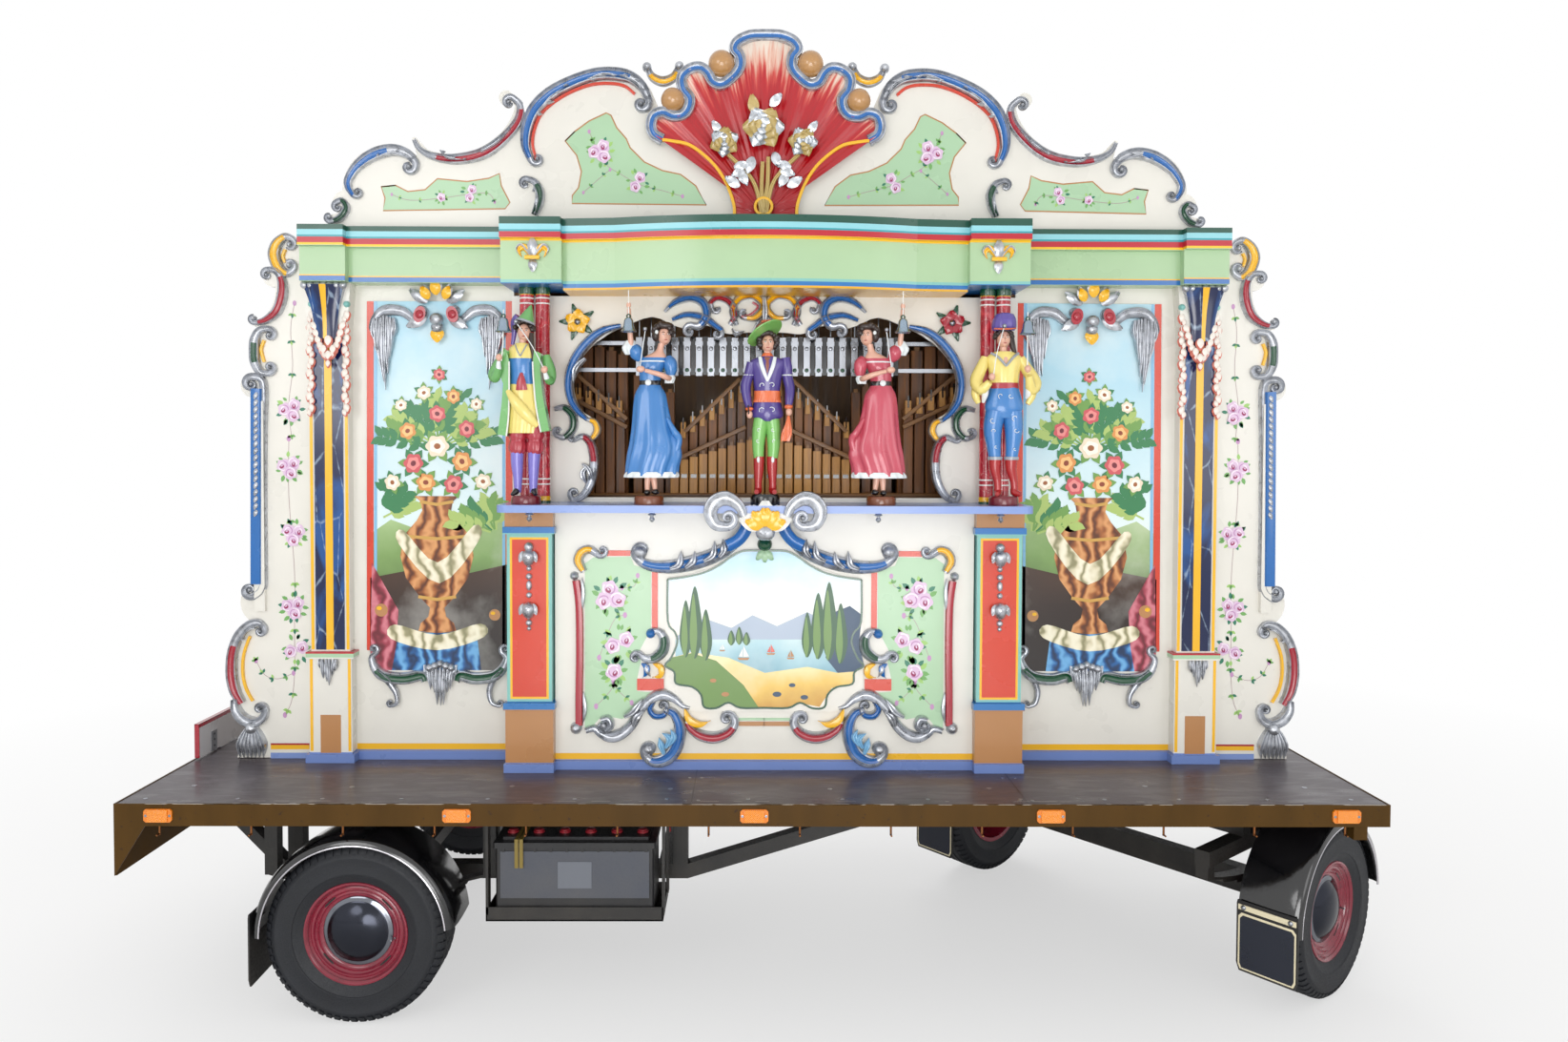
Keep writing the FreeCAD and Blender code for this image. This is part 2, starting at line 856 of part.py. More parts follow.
def front_mudguards():
    """Guards, flaps and the arms that carry them, before turning."""
    pieces = []
    for side in (-1, 1):
        guard, flap = mudguard(0.0, side)
        y_in = side * (wheel_y - guard_width / 2)
        arm = box(bogie_bolster_x - stay_size / 2, bogie_bolster_x + stay_size / 2,
                  side * spring_y, y_in + side * stay_size,
                  lower_ring_bottom, lower_ring_bottom + stay_size)
        arm = arm.cut(rod((0, y_in, tyre_radius), (0, y_in + side * guard_width, tyre_radius),
                          guard_outer_r))
        pieces += [guard, flap, arm]
    return turn_bogie(pieces)


def drawbar_direction():
    """Slope of the drawbar as it lies with its eye just clear of the ground."""
    low = tow_eye_thick / 2 + tow_eye_clear + 10.0
    return math.asin((drawbar_pivot_z - low) / drawbar_length)


def drawbar():
    """Two legs from the bogie that meet at the tow eye, sloping down to the ground."""
    half = drawbar_tube / 2
    x0 = drawbar_pivot_x + half
    tip = x0 + drawbar_length
    z = drawbar_pivot_z
    eye_outer = tow_eye_radius + tow_eye_wall
    root = box(x0 - half + 1, x0 + half, -drawbar_root_half - half, drawbar_root_half + half,
               z - half + 6, z + half - 6)
    leg_end = tip - eye_outer - 60.0
    legs = []
    for side in (-1, 1):
        y = side * drawbar_root_half
        leg = flat_plate(
            [
                (x0 + half - 1, y + side * half),
                (leg_end, side * half),
                (leg_end, -side * half),
                (x0 + half - 1, y - side * half),
            ],
            z - half + 6,
            z + half - 6,
        )
        legs.append(leg)
    shank = box(leg_end - 40, tip - tow_eye_radius - 6, -half, half,
                z - tow_eye_thick / 2, z + tow_eye_thick / 2)
    eye = Part.makeCylinder(eye_outer, tow_eye_thick, Vec(tip, 0, z - tow_eye_thick / 2))
    body = fused(root, legs[0], legs[1], shank, eye)
    body = body.cut(Part.makeCylinder(tow_eye_radius, 4 * tow_eye_thick,
                                      Vec(tip, 0, z - 2 * tow_eye_thick)))
    body = body.cut(rod((x0, -800, z), (x0, 800, z), drawbar_pin_radius + running_gap))
    slope = math.degrees(drawbar_direction())
    body.rotate(Vec(x0, 0, z), Vec(0, 1, 0), slope)
    return turn_bogie([body])


def battery():
    """A long battery with terminals and filler caps."""
    long, deep, tall = battery_size
    x0 = battery_x - long / 2
    y0 = battery_y - deep / 2
    case = box(x0, x0 + long, y0, y0 + deep, battery_bottom, battery_bottom + tall - 20)
    lid = box(x0 - 6, x0 + long + 6, y0 - 6, y0 + deep + 6,
              battery_bottom + tall - 20, battery_bottom + tall)
    pieces = [case, lid]
    for i in range(6):
        x = x0 + long * (i + 0.5) / 6
        pieces.append(Part.makeCylinder(16, 12, Vec(x, battery_y, battery_bottom + tall)))
    margin = tray_margin
    tray = box(x0 - margin, x0 + long + margin, y0 - 10, y0 + deep + 10,
               battery_bottom - tray_thick, battery_bottom)
    posts = []
    for x in (x0 - margin, x0 + long + margin - 10):
        for y in (y0 - 10, y0 + deep + 10 - tray_post):
            posts.append(box(x, x + 10, y, y + tray_post, battery_bottom, board_bottom))
    return pieces + [tray] + posts


def case_frame():
    """Posts and rails of the organ's case, and the fixed halves of the wing hinges."""
    half = post_size / 2
    pieces = []
    rows = sorted([-p for p in post_rows] + list(post_rows))
    for y in (case_front, case_back - post_size):
        for u in rows:
            x = front_x + u
            pieces.append(box(x - half, x + half, y, y + post_size, deck_top, case_top))
        for left, right in zip(rows, rows[1:]):
            a = front_x + left + half
            b = front_x + right - half
            pieces.append(box(a, b, y, y + post_size, case_top - post_size, case_top))
            pieces.append(box(a, b, y, y + post_size, deck_top, deck_top + post_size))
    for u in (rows[0], rows[-1]):
        x = front_x + u
        for z in (deck_top, case_top - post_size):
            pieces.append(box(x - half, x + half, case_front + post_size, case_back - post_size,
                              z, z + post_size))
    return pieces + wing_hinge_pins() + door_hinge_pins()


def hinge_post(x, y, z, wall_x):
    """A bracket on the case's side wall with an upright hinge pin on it."""
    block = box(wall_x, x, y - 10, y + 10, z - 30, z)
    foot = Part.makeCylinder(hinge_barrel, 30, Vec(x, y, z - 30))
    pin = Part.makeCylinder(hinge_pin, hinge_tall, Vec(x, y, z))
    return fused(block, foot, pin)


def wing_hinge_pins():
    """Three upright pins on each side for the wings."""
    wall = case_half + wall_thick
    pieces = []
    for side in (-1, 1):
        for z in raised(wing_hinge_rises):
            pieces.append(hinge_post(front_x + side * wing_axis_u, wing_axis_y, z,
                                     front_x + side * wall))
    return pieces


def door_hinge_pins():
    """Two upright pins on each side for the back doors."""
    wall = case_half + wall_thick
    pieces = []
    for side in (-1, 1):
        for z in raised(door_hinge_rises):
            block = box(front_x + side * wall, front_x + side * door_axis_u,
                        case_back - 40, case_back - 20, z - 30, z)
            arm = box(front_x + side * (door_axis_u - 8), front_x + side * (door_axis_u + 8),
                      case_back - 40, door_axis_y, z - 30, z)
            foot = Part.makeCylinder(hinge_barrel, 30, Vec(front_x + side * door_axis_u,
                                                          door_axis_y, z - 30))
            pin = Part.makeCylinder(hinge_pin, hinge_tall, Vec(front_x + side * door_axis_u,
                                                              door_axis_y, z))
            pieces.append(fused(block, arm, foot, pin))
    return pieces


def case_walls():
    """Side walls, roof and the fixed middle of the back with the shaft bearing."""
    side = box(front_x + case_half, front_x + case_half + wall_thick, case_front, case_back,
               deck_top, case_top)
    roof = box(front_x - case_half - wall_thick, front_x + case_half + wall_thick,
               case_front, case_back, case_top, case_top + roof_thick)
    middle = box(front_x - back_panel_half, front_x + back_panel_half,
                 case_back, case_back + panel_thick, deck_top, case_top)
    bearing = box(front_x - 60, front_x + 60, case_back - 70, case_back,
                  flywheel_z - 60, flywheel_z + 60)
    bore = rod((front_x, case_back - 100, flywheel_z), (front_x, case_back + 60, flywheel_z),
               shaft_radius + running_gap)
    back = fused(middle, bearing).cut(bore)
    return both([side], front_x) + [roof, back]


def back_door(side):
    """One of the two doors at the back, with its hinge sleeves."""
    inner = back_panel_half + door_gap
    outer = case_half + wall_thick
    low = deck_top + 6
    high = case_top - 4
    door = box(front_x + side * inner, front_x + side * outer, case_back + 0.5,
               case_back + 0.5 + door_thick, low, high)
    pieces = [door]
    for z in raised(door_hinge_rises):
        x = front_x + side * door_axis_u
        sleeve = Part.makeCylinder(hinge_barrel, hinge_tall, Vec(x, door_axis_y, z))
        strap_back = case_back + 0.5 + door_thick
        strap = box(front_x + side * (outer - 60), x, strap_back, strap_back + 4, z, z + hinge_tall)
        link = box(x - 6, x + 6, door_axis_y, strap_back + 4, z, z + hinge_tall)
        bore = Part.makeCylinder(hinge_pin + running_gap, hinge_tall, Vec(x, door_axis_y, z))
        pieces.append(fused(sleeve, strap, link).cut(bore))
    return pieces


def plinth():
    """Low skirting along the foot of the front."""
    top = deck_top + plinth_tall
    face = case_front - panel_thick
    side = box(front_x + pedestal_mid + pedestal_wide / 2 + 4, front_x + pilaster_mid - 100,
               face - plinth_out, face, deck_top, top)
    middle_half = pedestal_mid - pedestal_wide / 2 - 4
    middle = box(front_x - middle_half, front_x + middle_half, lower_front - plinth_out,
                 lower_front, deck_top, top)
    return both([side], front_x) + [middle]


def front_panels():
    """The flat boards of the front: two tall side boards and the lower middle one."""
    inner = pedestal_mid + pedestal_wide / 2
    side = box(front_x + inner, front_x + case_half + wall_thick, case_front - panel_thick,
               case_front, deck_top, frieze_bottom)
    half = pedestal_mid - pedestal_wide / 2
    lower = box(front_x - half, front_x + half, lower_front, lower_front + panel_thick,
                deck_top, shelf_bottom)
    return both([side], front_x) + [lower]


def upper_panel():
    """Boards round the pipe window."""
    outer = pedestal_mid + pedestal_wide / 2
    y0 = upper_front
    y1 = case_front
    stile = box(front_x + window_half, front_x + outer, y0, y1, shelf_bottom, bow_bottom)
    head = box(front_x - window_half, front_x + window_half, y0, y1, window_top, bow_bottom)
    sill = box(front_x - window_half, front_x + window_half, y0, y1, shelf_bottom, window_bottom)
    return both([stile], front_x) + [head, sill]


def outer_pilasters():
    """The two flat pilasters, each a stack of plinth, base, moulding, shaft and capital."""
    face = case_front - panel_thick
    stack = [
        (100.0, 69.0, deck_top, deck_top + plinth_tall),
        (88.0, 56.0, deck_top + plinth_tall, pilaster_base_top),
        (98.0, 64.0, pilaster_base_top, pilaster_shaft_low),
        (pilaster_wide / 2, pilaster_deep, pilaster_shaft_low, pilaster_shaft_top),
    ]
    pieces = []
    for half, deep, low, high in stack:
        x = front_x + pilaster_mid
        pieces.append(box(x - half, x + half, face - deep, face, low, high))
    capital = upright_plate(
        [
            (front_x + pilaster_mid - pilaster_wide / 2, pilaster_shaft_top),
            (front_x + pilaster_mid + pilaster_wide / 2, pilaster_shaft_top),
            (front_x + pilaster_mid + capital_half, frieze_bottom),
            (front_x + pilaster_mid - capital_half, frieze_bottom),
        ],
        face - pilaster_deep - 14.0,
        face,
    )
    return both(pieces + [capital], front_x)


def centre_pedestals():
    """The two pedestals under the columns, each a stack of blocks and mouldings."""
    back = case_front
    half = pedestal_wide / 2
    base, panel_low, panel_top, cap = raised(pedestal_rises)
    stack = [
        (half + 4, pedestal_front - 15, deck_top, deck_top + plinth_tall),
        (half, pedestal_front, deck_top + plinth_tall, base),
        (half + 7, pedestal_front - 8, base, panel_low),
        (half - 6, pedestal_front + 8, panel_low, panel_top),
        (half + 7, pedestal_front - 8, panel_top, cap),
        (half, pedestal_front, cap, shelf_bottom),
    ]
    pieces = []
    for wide, front, low, high in stack:
        x = front_x + pedestal_mid
        inner = x - min(wide, half)
        outer = x + min(wide, half)
        block = box(inner, outer, front, back, low, high)
        if wide > half:
            nose = box(x - wide, x + wide, front, lower_front - plinth_out, low, high)
            block = fused(block, nose)
        pieces.append(block)
    return both(pieces, front_x)


def red_columns():
    """Two pairs of slim round columns with rings at foot and head."""
    pieces = []
    top = column_top
    for offset in (-column_spacing / 2, column_spacing / 2):
        x = front_x + pedestal_mid - column_inset + offset
        shaft = Part.makeCylinder(column_radius - 1, top - shelf_top, Vec(x, column_y, shelf_top))
        foot = Part.makeCylinder(column_radius + 1, 24, Vec(x, column_y, shelf_top))
        head = Part.makeCylinder(column_radius + 1, 24, Vec(x, column_y, top - 24))
        pieces.append(fused(shaft, foot, head))
    return both(pieces, front_x)


def entablature():
    """Frieze boards and cornices: sides, end blocks, column blocks and the bowed middle."""
    inner = pedestal_mid + pedestal_wide / 2
    block_in = window_half
    end_in = pilaster_mid - capital_half
    end_out = wing_inner - 3.0
    back = case_front
    over = cornice_over
    x = front_x
    side = [
        box(x + inner, x + end_in, side_frieze_front, back, frieze_bottom, frieze_top),
        box(x + inner, x + end_in, side_frieze_front - over, back, frieze_top, cornice_top),
        box(x + end_in, x + end_out, end_block_front, back, frieze_bottom, frieze_top),
        box(x + end_in, x + end_out, end_block_front - over, back, frieze_top, cornice_top),
        box(x + block_in, x + inner, centre_block_front, back, column_top, frieze_top + 10),
        box(x + block_in, x + inner, centre_block_front - over, back, frieze_top + 10,
            cornice_top + 8),
    ]
    middle = [
        flat_plate(bow_outline(block_in, 0.0), bow_bottom, frieze_top + 10),
        flat_plate(bow_outline(block_in, over), frieze_top + 10, cornice_top + 8),
    ]
    return both(side, front_x) + middle


def bow_outline(block_in, over):
    """Plan of the bowed middle of the frieze, or of the cornice over it."""
    shoulder = centre_block_front + 40.0
    x = front_x
    return [
        (x - block_in, case_front),
        (x - block_in, shoulder - over),
        (x - bow_half, shoulder - over - 20.0),
        (x, bow_front - over, True),
        (x + bow_half, shoulder - over - 20.0),
        (x + block_in, shoulder - over),
        (x + block_in, case_front),
    ]


def stage_shelf():
    """The shelf on which the figures stand, its front corners rounded."""
    corner = 40.0
    cut = corner * (1 - math.sqrt(0.5))
    x = front_x
    half = shelf_half
    outline = [
        (x - half, upper_front),
        (x - half, shelf_front + corner),
        (x - half + cut, shelf_front + cut, True),
        (x - half + corner, shelf_front),
        (x + half - corner, shelf_front),
        (x + half - cut, shelf_front + cut, True),
        (x + half, shelf_front + corner),
        (x + half, upper_front),
    ]
    return [flat_plate(outline, shelf_bottom, shelf_top)]


def crest_boards():
    """The painted boards above the cornice: a high middle one and two lower sides."""
    low = cornice_top + 8 - deck_top
    side_low = cornice_top - deck_top
    edge = [
        (985, low),
        (985, 2630),
        (925, 2728, 0, True),
        (814, 2802),
        (700, 2838, 0, True),
        (580, 2838),
        (505, 2802, 0, True),
        (464, 2750),
        (400, 2600),
    ]
    side = [
        (985, low),
        (1040, low),
        (1040, side_low),
        (1780, side_low),
        (1794, 2246),
        (1745, 2256),
        (1767, 2310, 0, True),
        (1727, 2348),
        (1700, 2445, 0, True),
        (1617, 2514),
        (1536, 2537, 0, True),
        (1422, 2488),
        (1442, 2563),
        (1428, 2565),
        (1380, 2515),
        (1260, 2498, 0, True),
        (1130, 2545),
        (1060, 2610, 0, True),
        (1022, 2691),
        (1040, 2722),
        (1069, 2699),
        (1088, 2730, 0, True),
        (1045, 2753),
        (985, 2690),
    ]
    y1 = crest_y + crest_thick
    middle = upright_plate(on_front(both_edges(edge)), crest_y, y1)
    return [middle] + both([upright_plate(on_front(side), crest_y, y1)], front_x)


def crest_carvings():
    """The shell with its bouquet, the balls, and the scrolls along the crest's edge."""
    low = cornice_top + 8 - deck_top
    edge = [
        (110, low),
        (230, 2427, 0, True),
        (440, 2567),
        (330, 2647),
        (290, 2787),
        (150, 2817),
        (130, 2927),
        (0, crest_top - deck_top, 0, True),
    ]
    shell = upright_plate(on_front(both_edges(edge)), crest_y - carving_deep, crest_y)
    rose_y = crest_y - carving_deep
    bouquet = []
    for u, rise, r in ((0, 2597, 60), (-150, 2537, 45), (150, 2537, 45)):
        x = front_x + u
        z = deck_top + rise
        bouquet.append(rod((x, rose_y, z), (x, rose_y - 50, z), r))
    bouquet.append(box(front_x - 14, front_x + 14, rose_y - 20, rose_y,
                       cornice_top + 28, deck_top + 2537))
    balls = []
    for u, rise, r in ((385, 2712, 46), (185, 2867, 50)):
        balls.append(Part.makeSphere(r, Vec(front_x + u, crest_y - r - 2, deck_top + rise)))
    bars = [
        scroll(690, 2497, 290, 50, 42, 150, crest_y),
        scroll(1190, 2667, 190, 46, 200, 340, crest_y),
        scroll(1590, 2337, 130, 42, 10, 130, crest_y),
    ]
    shell = fused(shell, *both(balls, front_x))
    return [shell] + bouquet + both(bars, front_x)


def facade_carvings():
    """Carved frames round the pictures and the window, and pendants under the shelf."""
    side_face = case_front - panel_thick - picture_thick
    frame = [
        scroll(1360, 1727, 210, 60, 30, 150, side_face),
        scroll(1360, 497, 210, 50, 215, 325, side_face),
    ]
    window = [
        scroll(590, 1617, 235, 55, 10, 90, upper_front),
        scroll(200, 1779, 120, 40, 20, 150, upper_front),
        scroll(620, 1267, 150, 50, -60, 60, upper_front),
    ]
    belly = [
        scroll(330, 807, 190, 46, 30, 140, lower_front),
        scroll(560, 297, 150, 46, 210, 330, lower_front),
    ]
    drops = []
    for u in (945.0, 470.0):
        drops.append(Part.makeCone(4, 22, 40, Vec(front_x + u, shelf_front + 40,
                                                  shelf_bottom - 40)))
    return both(frame + window + belly + drops, front_x)


def pictures():
    """Three painted boards: two tall ones at the sides and one low in the middle."""
    face = case_front - panel_thick
    side = [
        (1066, 362),
        (1346, 342, 0, True),
        (1634, 362),
        (1634, 1827),
        (1346, 1877, 0, True),
        (1066, 1827),
    ]
    edge = [
        (240, 237),
        (330, 252, 0, True),
        (400, 347),
        (400, 767),
        (250, 807, 0, True),
        (0, 902),
    ]
    tall = upright_plate(on_front(side), face - picture_thick, face)
    low = upright_plate(on_front(both_edges(edge)), lower_front - picture_thick, lower_front)
    return both([tall], front_x) + [low]


def wing(side):
    """A painted wing that folds back, its outer edge carved, with three hinge sleeves."""
    face = case_front - panel_thick
    inner = wing_inner
    top = wing_top - deck_top
    outline = [
        (inner, wing_lift),
        (2200, wing_lift),
        (2162, 140),
        (wing_outer, 358, 0, True),
        (2174, 557),
        (2133, 572),
        (2179, 641, 0, True),
        (2128, 738),
        (2120, 1503),
        (2169, 1556, 0, True),
        (2100, 1606),
        (2124, 1695, 0, True),
        (2076, 1790),
        (2122, 1802),
        (2047, 1866, 0, True),
        (2023, 1962),
        (2066, 2022, 0, True),
        (2013, 2036),
        (2030, 2100, 0, True),
        (1985, top - 5),
        (inner, top),
    ]
    board = upright_plate(on_front(outline, side), face, face + wing_thick)
    pieces = [board]
    bar_in = front_x + side * (wing_outer - 164)
    bar_out = front_x + side * (wing_outer - 120)
    pieces.append(box(bar_in, bar_out, face - wing_bar_deep, face, wing_bar_low, wing_bar_top))
    for z in raised(wing_hinge_rises):
        x = front_x + side * wing_axis_u
        sleeve = Part.makeCylinder(hinge_barrel, hinge_tall, Vec(x, wing_axis_y, z))
        leaf = box(x, front_x + side * (inner + 40), face + wing_thick, wing_axis_y, z, z + hinge_tall)
        bore = Part.makeCylinder(hinge_pin + running_gap, hinge_tall, Vec(x, wing_axis_y, z))
        pieces.append(fused(sleeve, leaf).cut(bore))
    return pieces


def wind_chest():
    """The long chest under the pipes on its two stands."""
    bottom = window_bottom - chest_tall
    chest = box(front_x - chest_half, front_x + chest_half, chest_y[0], chest_y[1],
                bottom, window_bottom)
    stand = box(front_x + chest_half - 60, front_x + chest_half, chest_y[0], chest_y[1],
                deck_top, bottom)
    return [chest] + both([stand], front_x)


def pipe_height(share, row):
    """Height of a pipe by its place: the front row dips in the middle, the back one rises."""
    if row == 0:
        return pipe_low + (pipe_high - pipe_low) * abs(math.sin(math.pi * 1.5 * share)) * 0.5
    return pipe_low + (pipe_high - pipe_low) * (0.55 + 0.45 * share)


def wood_pipes():
    """Two rows of square wooden pipes on the chest."""
    half = pipe_size / 2
    pieces = []
    middle = (pipe_count - 1) / 2
    for row, y in ((0, -120.0), (1, 0.0)):
        for i in range(pipe_count):
            share = abs(i - middle) / middle
            x = front_x + (i - middle) * pipe_pitch
            tall = pipe_height(share, row)
            pieces.append(box(x - half, x + half, y - half, y + half,
                              window_bottom, window_bottom + tall))
    return pieces


def metallophone():
    """Metal bars in a row on two rails between the inner posts."""
    wide, deep, tall = bar_size
    reach = post_rows[1] - post_size / 2
    y1 = case_front + 40.0
    y0 = y1 - 20.0
    pieces = []
    for z in (bar_bottom + 16, bar_bottom + tall - 32):
        pieces.append(box(front_x - reach, front_x + reach, y0, y1, z, z + 16))
    for i in range(bar_count):
        x = front_x + (i - (bar_count - 1) / 2) * bar_pitch
        pieces.append(box(x - wide / 2, x + wide / 2, y0 - deep, y0, bar_bottom, bar_bottom + tall))
    return pieces


def bellows():
    """The spring-loaded reservoir and two wedge-shaped feeders on the case floor."""
    x = front_x
    y0 = chest_y[1] + 10.0
    y1 = y0 + 480.0
    floor = deck_top
    boards = 28.0
    fold = 220.0
    pieces = [
        box(x - 1560, x - 560, y0, y1, floor, floor + boards),
        box(x - 1540, x - 580, y0 + 20, y1 - 20, floor + boards, floor + boards + fold),
        box(x - 1560, x - 560, y0, y1, floor + boards + fold, floor + 2 * boards + fold),
    ]
    for left, right in ((-460.0, -20.0), (20.0, 460.0)):
        a = x + left
        b = x + right
        pieces.append(box(a, b, y0, y1, floor, floor + boards))
        wedge = side_plate(
            [(y0 + 10, floor + boards), (y1 - 10, floor + boards), (y1 - 10, floor + boards + 180)],
            a + 10,
            b - 10,
        )
        pieces.append(wedge)
    return pieces


def keyframe():
    """The reader for the music book, with its bed, cheeks, key row and stand."""
    x = front_x + key_mid
    y0, y1 = key_y
    bed_top = key_z - roller_radius - 20.0
    half = key_bed_half
    cheek = 16.0
    bed = box(x - 420, x + 420, y0, y1, bed_top - 20, bed_top)
    legs = [
        box(x - 420, x - 380, y0, y1, deck_top, bed_top - 20),
        box(x + 380, x + 420, y0, y1, deck_top, bed_top - 20),
    ]
    cheeks = []
    for y in (y0, y1 - cheek):
        plate = box(x - half, x + half, y, y + cheek, bed_top, key_z + 90)
        plate = plate.cut(rod((x, y - 5, key_z), (x, y + cheek + 5, key_z),
                              journal_radius + running_gap))
        cheeks.append(plate)
    keys = []
    key_low = key_z + roller_radius + 16.0
    count = 24
    step = (y1 - y0 - 2 * cheek) / count
    head = box(x - 30, x + 30, y0 + cheek, y1 - cheek, key_low + 14, key_low + 40)
    for i in range(count):
        y = y0 + cheek + step * (i + 0.5)
        keys.append(box(x - 50, x + 30, y - step * 0.3, y + step * 0.3, key_low + 6, key_low + 14))
    return [bed] + legs + cheeks + [head] + keys


def feed_roller():
    """The roller that draws the book through the keyframe."""
    x = front_x + key_mid
    y0, y1 = key_y
    cheek = 16.0
    barrel = rod((x, y0 + cheek + 1, key_z), (x, y1 - cheek - 1, key_z), roller_radius)
    journal = rod((x, y0 - 6, key_z), (x, y1 + 46, key_z), journal_radius)
    pulley = rod((x, y1 + 20, key_z), (x, y1 + 40, key_z), 40.0)
    return [fused(barrel, journal, pulley)]


def music_book():
    """The folded card book: a stack on each side of the reader and the strip between."""
    long, deep = book_size
    x = front_x + key_mid
    y = (key_y[0] + key_y[1]) / 2
    bed_top = key_z - roller_radius - 20.0
    y0 = y - deep / 2 + 2
    y1 = y + deep / 2 - 2
    gap = key_bed_half + 20.0
    strip_low = key_z + roller_radius + 0.5
    left = box(x - gap - long, x - gap, y0, y1, bed_top, strip_low)
    right = box(x + gap, x + gap + long, y0, y1, bed_top, strip_low - 60)
    strip = box(x - gap - long, x + gap + 40, y0, y1, strip_low, strip_low + 3)
    lay = upright_plate(
        [
            (x + gap + 40, strip_low),
            (x + gap + 40, strip_low + 3),
            (x + gap + long, strip_low - 57),
            (x + gap + long, strip_low - 60),
        ],
        y0,
        y1,
    )
    return [left, right, strip, lay]


def flywheel():
    """The big driven wheel on its shaft, with spokes and the crank's pin."""
    c = (front_x, flywheel_y, flywheel_z)
    half = flywheel_thick / 2
    ring = turned(
        [
            (flywheel_radius - flywheel_rim, -half),
            (flywheel_radius, -half),
            (flywheel_radius, half),
            (flywheel_radius - flywheel_rim, half),
        ],
        c,
        (0, 1, 0),
    )
    hub = rod((c[0], c[1] - half - 6, c[2]), (c[0], c[1] + half + 6, c[2]), 55.0)
    shaft = rod((c[0], shaft_front, c[2]), (c[0], c[1] + half + 10, c[2]), shaft_radius)
    spokes = []
    for i in range(6):
        angle = math.radians(60 * i + 30)
        end = (c[0] + (flywheel_radius - 20) * math.cos(angle), c[1],
               c[2] + (flywheel_radius - 20) * math.sin(angle))
        spokes.append(rod((c[0], c[1], c[2]), end, 14.0))
    boss_x, boss_z = crank_place()
    boss = rod((boss_x, c[1] - half + 4, boss_z), (boss_x, c[1] + half + 2, boss_z), 26.0)
    pin = rod((boss_x, c[1], boss_z), (boss_x, c[1] + half + 4 + grip_length, boss_z),
              grip_pin_radius)
    pulley = rod((c[0], shaft_front + 10, c[2]), (c[0], shaft_front + 40, c[2]), 60.0)
    return [fused(ring, hub, shaft, pulley, boss, pin, *spokes)]


def crank_place():
    """Where the crank's pin stands on the flywheel."""
    angle = math.radians(30)
    return (front_x + crank_radius * math.cos(angle), flywheel_z + crank_radius * math.sin(angle))


def crank_handle():
    """The wooden grip that spins on the crank's pin."""
    x, z = crank_place()
    start = flywheel_y + flywheel_thick / 2 + 2.3
    r = grip_radius
    grip = turned(
        [
            (grip_pin_radius + running_gap, 0),
            (r - 3, 0),
            (r + 3, grip_length / 2, 0, True),
            (r - 3, grip_length),
            (grip_pin_radius + running_gap, grip_length),
        ],
        (x, start, z),
        (0, 1, 0),
    )
    return [grip]


def figure(place, skirt, hat):
    """A carved figure: base, legs or skirt, body, neck, head and hat in one piece."""
    x = front_x + place
    y = figure_y
    z = shelf_top
    base = Part.makeCylinder(figure_base_r, figure_base_tall, Vec(x, y, z))
    z += figure_base_tall
    low_r = 78.0 if skirt else 40.0
    legs = Part.makeCone(low_r * 0.75, low_r * 0.72, figure_leg_tall, Vec(x, y, z)) if skirt else None
    if legs is None:
        legs = fused(
            rod((x - 26, y, z), (x - 26, y, z + figure_leg_tall), 24.0),
            rod((x + 26, y, z), (x + 26, y, z + figure_leg_tall), 24.0),
        )
    z += figure_leg_tall
    hips = Part.makeCone(56, 48, 60, Vec(x, y, z))
    body = Part.makeCone(48, 62, 150, Vec(x, y, z + 60))
    neck = Part.makeCylinder(20, 40, Vec(x, y, z + 210))
    head = Part.makeSphere(42, Vec(x, y, z + 275))
    top = z + 275
    if hat == "wide":
        cover = fused(
            Part.makeCylinder(78, 12, Vec(x, y, top + 20)),
            Part.makeCone(40, 26, 44, Vec(x, y, top + 32)),
        )
    elif hat == "point":
        cover = Part.makeCone(38, 6, 80, Vec(x, y, top + 20))
    elif hat == "round":
        cover = Part.makeCone(44, 30, 50, Vec(x, y, top + 14))
    else:
        cover = Part.makeSphere(46, Vec(x, y + 8, top + 6))
    return [fused(base, legs, hips, body, neck, head, cover)]


def figure_shoulder(index):
    """Centre of a figure's moving shoulder, and which way it lies from the body."""
    place = figure_places[index]
    side = 1 if place <= 0 else -1
    z = shelf_top + figure_base_tall + figure_leg_tall + 190
    return (front_x + place + side * (62.0 + arm_radius + arm_gap), figure_y, z, side)


def figure_arm(index):
    """A moving arm, bent forward at the elbow, with a small hammer or baton."""
    x, y, z, side = figure_shoulder(index)
    upper = rod((x, y, z), (x + side * 6, y - 10, z - 120), arm_radius)
    elbow = Part.makeSphere(arm_radius, Vec(x + side * 6, y - 10, z - 120))
    shoulder = Part.makeSphere(arm_radius, Vec(x, y, z))
    lower = rod((x + side * 6, y - 10, z - 120), (x + side * 6, y - 100, z - 50), arm_radius * 0.8)
    stick = rod((x + side * 6, y - 95, z - 110), (x + side * 6, y - 95, z + 40), 4.0)
    return [fused(upper, elbow, shoulder, lower, stick)]


def figure_with_pin(index, skirt, hat):
    """A figure with the short shoulder pin that touches its moving arm."""
    solid = figure(figure_places[index], skirt, hat)[0]
    x, y, z, side = figure_shoulder(index)
    reach = rod((front_x + figure_places[index], y, z), (x - side * (arm_radius + 0.3), y, z),
                shoulder_pin)
    return [fused(solid, reach)]


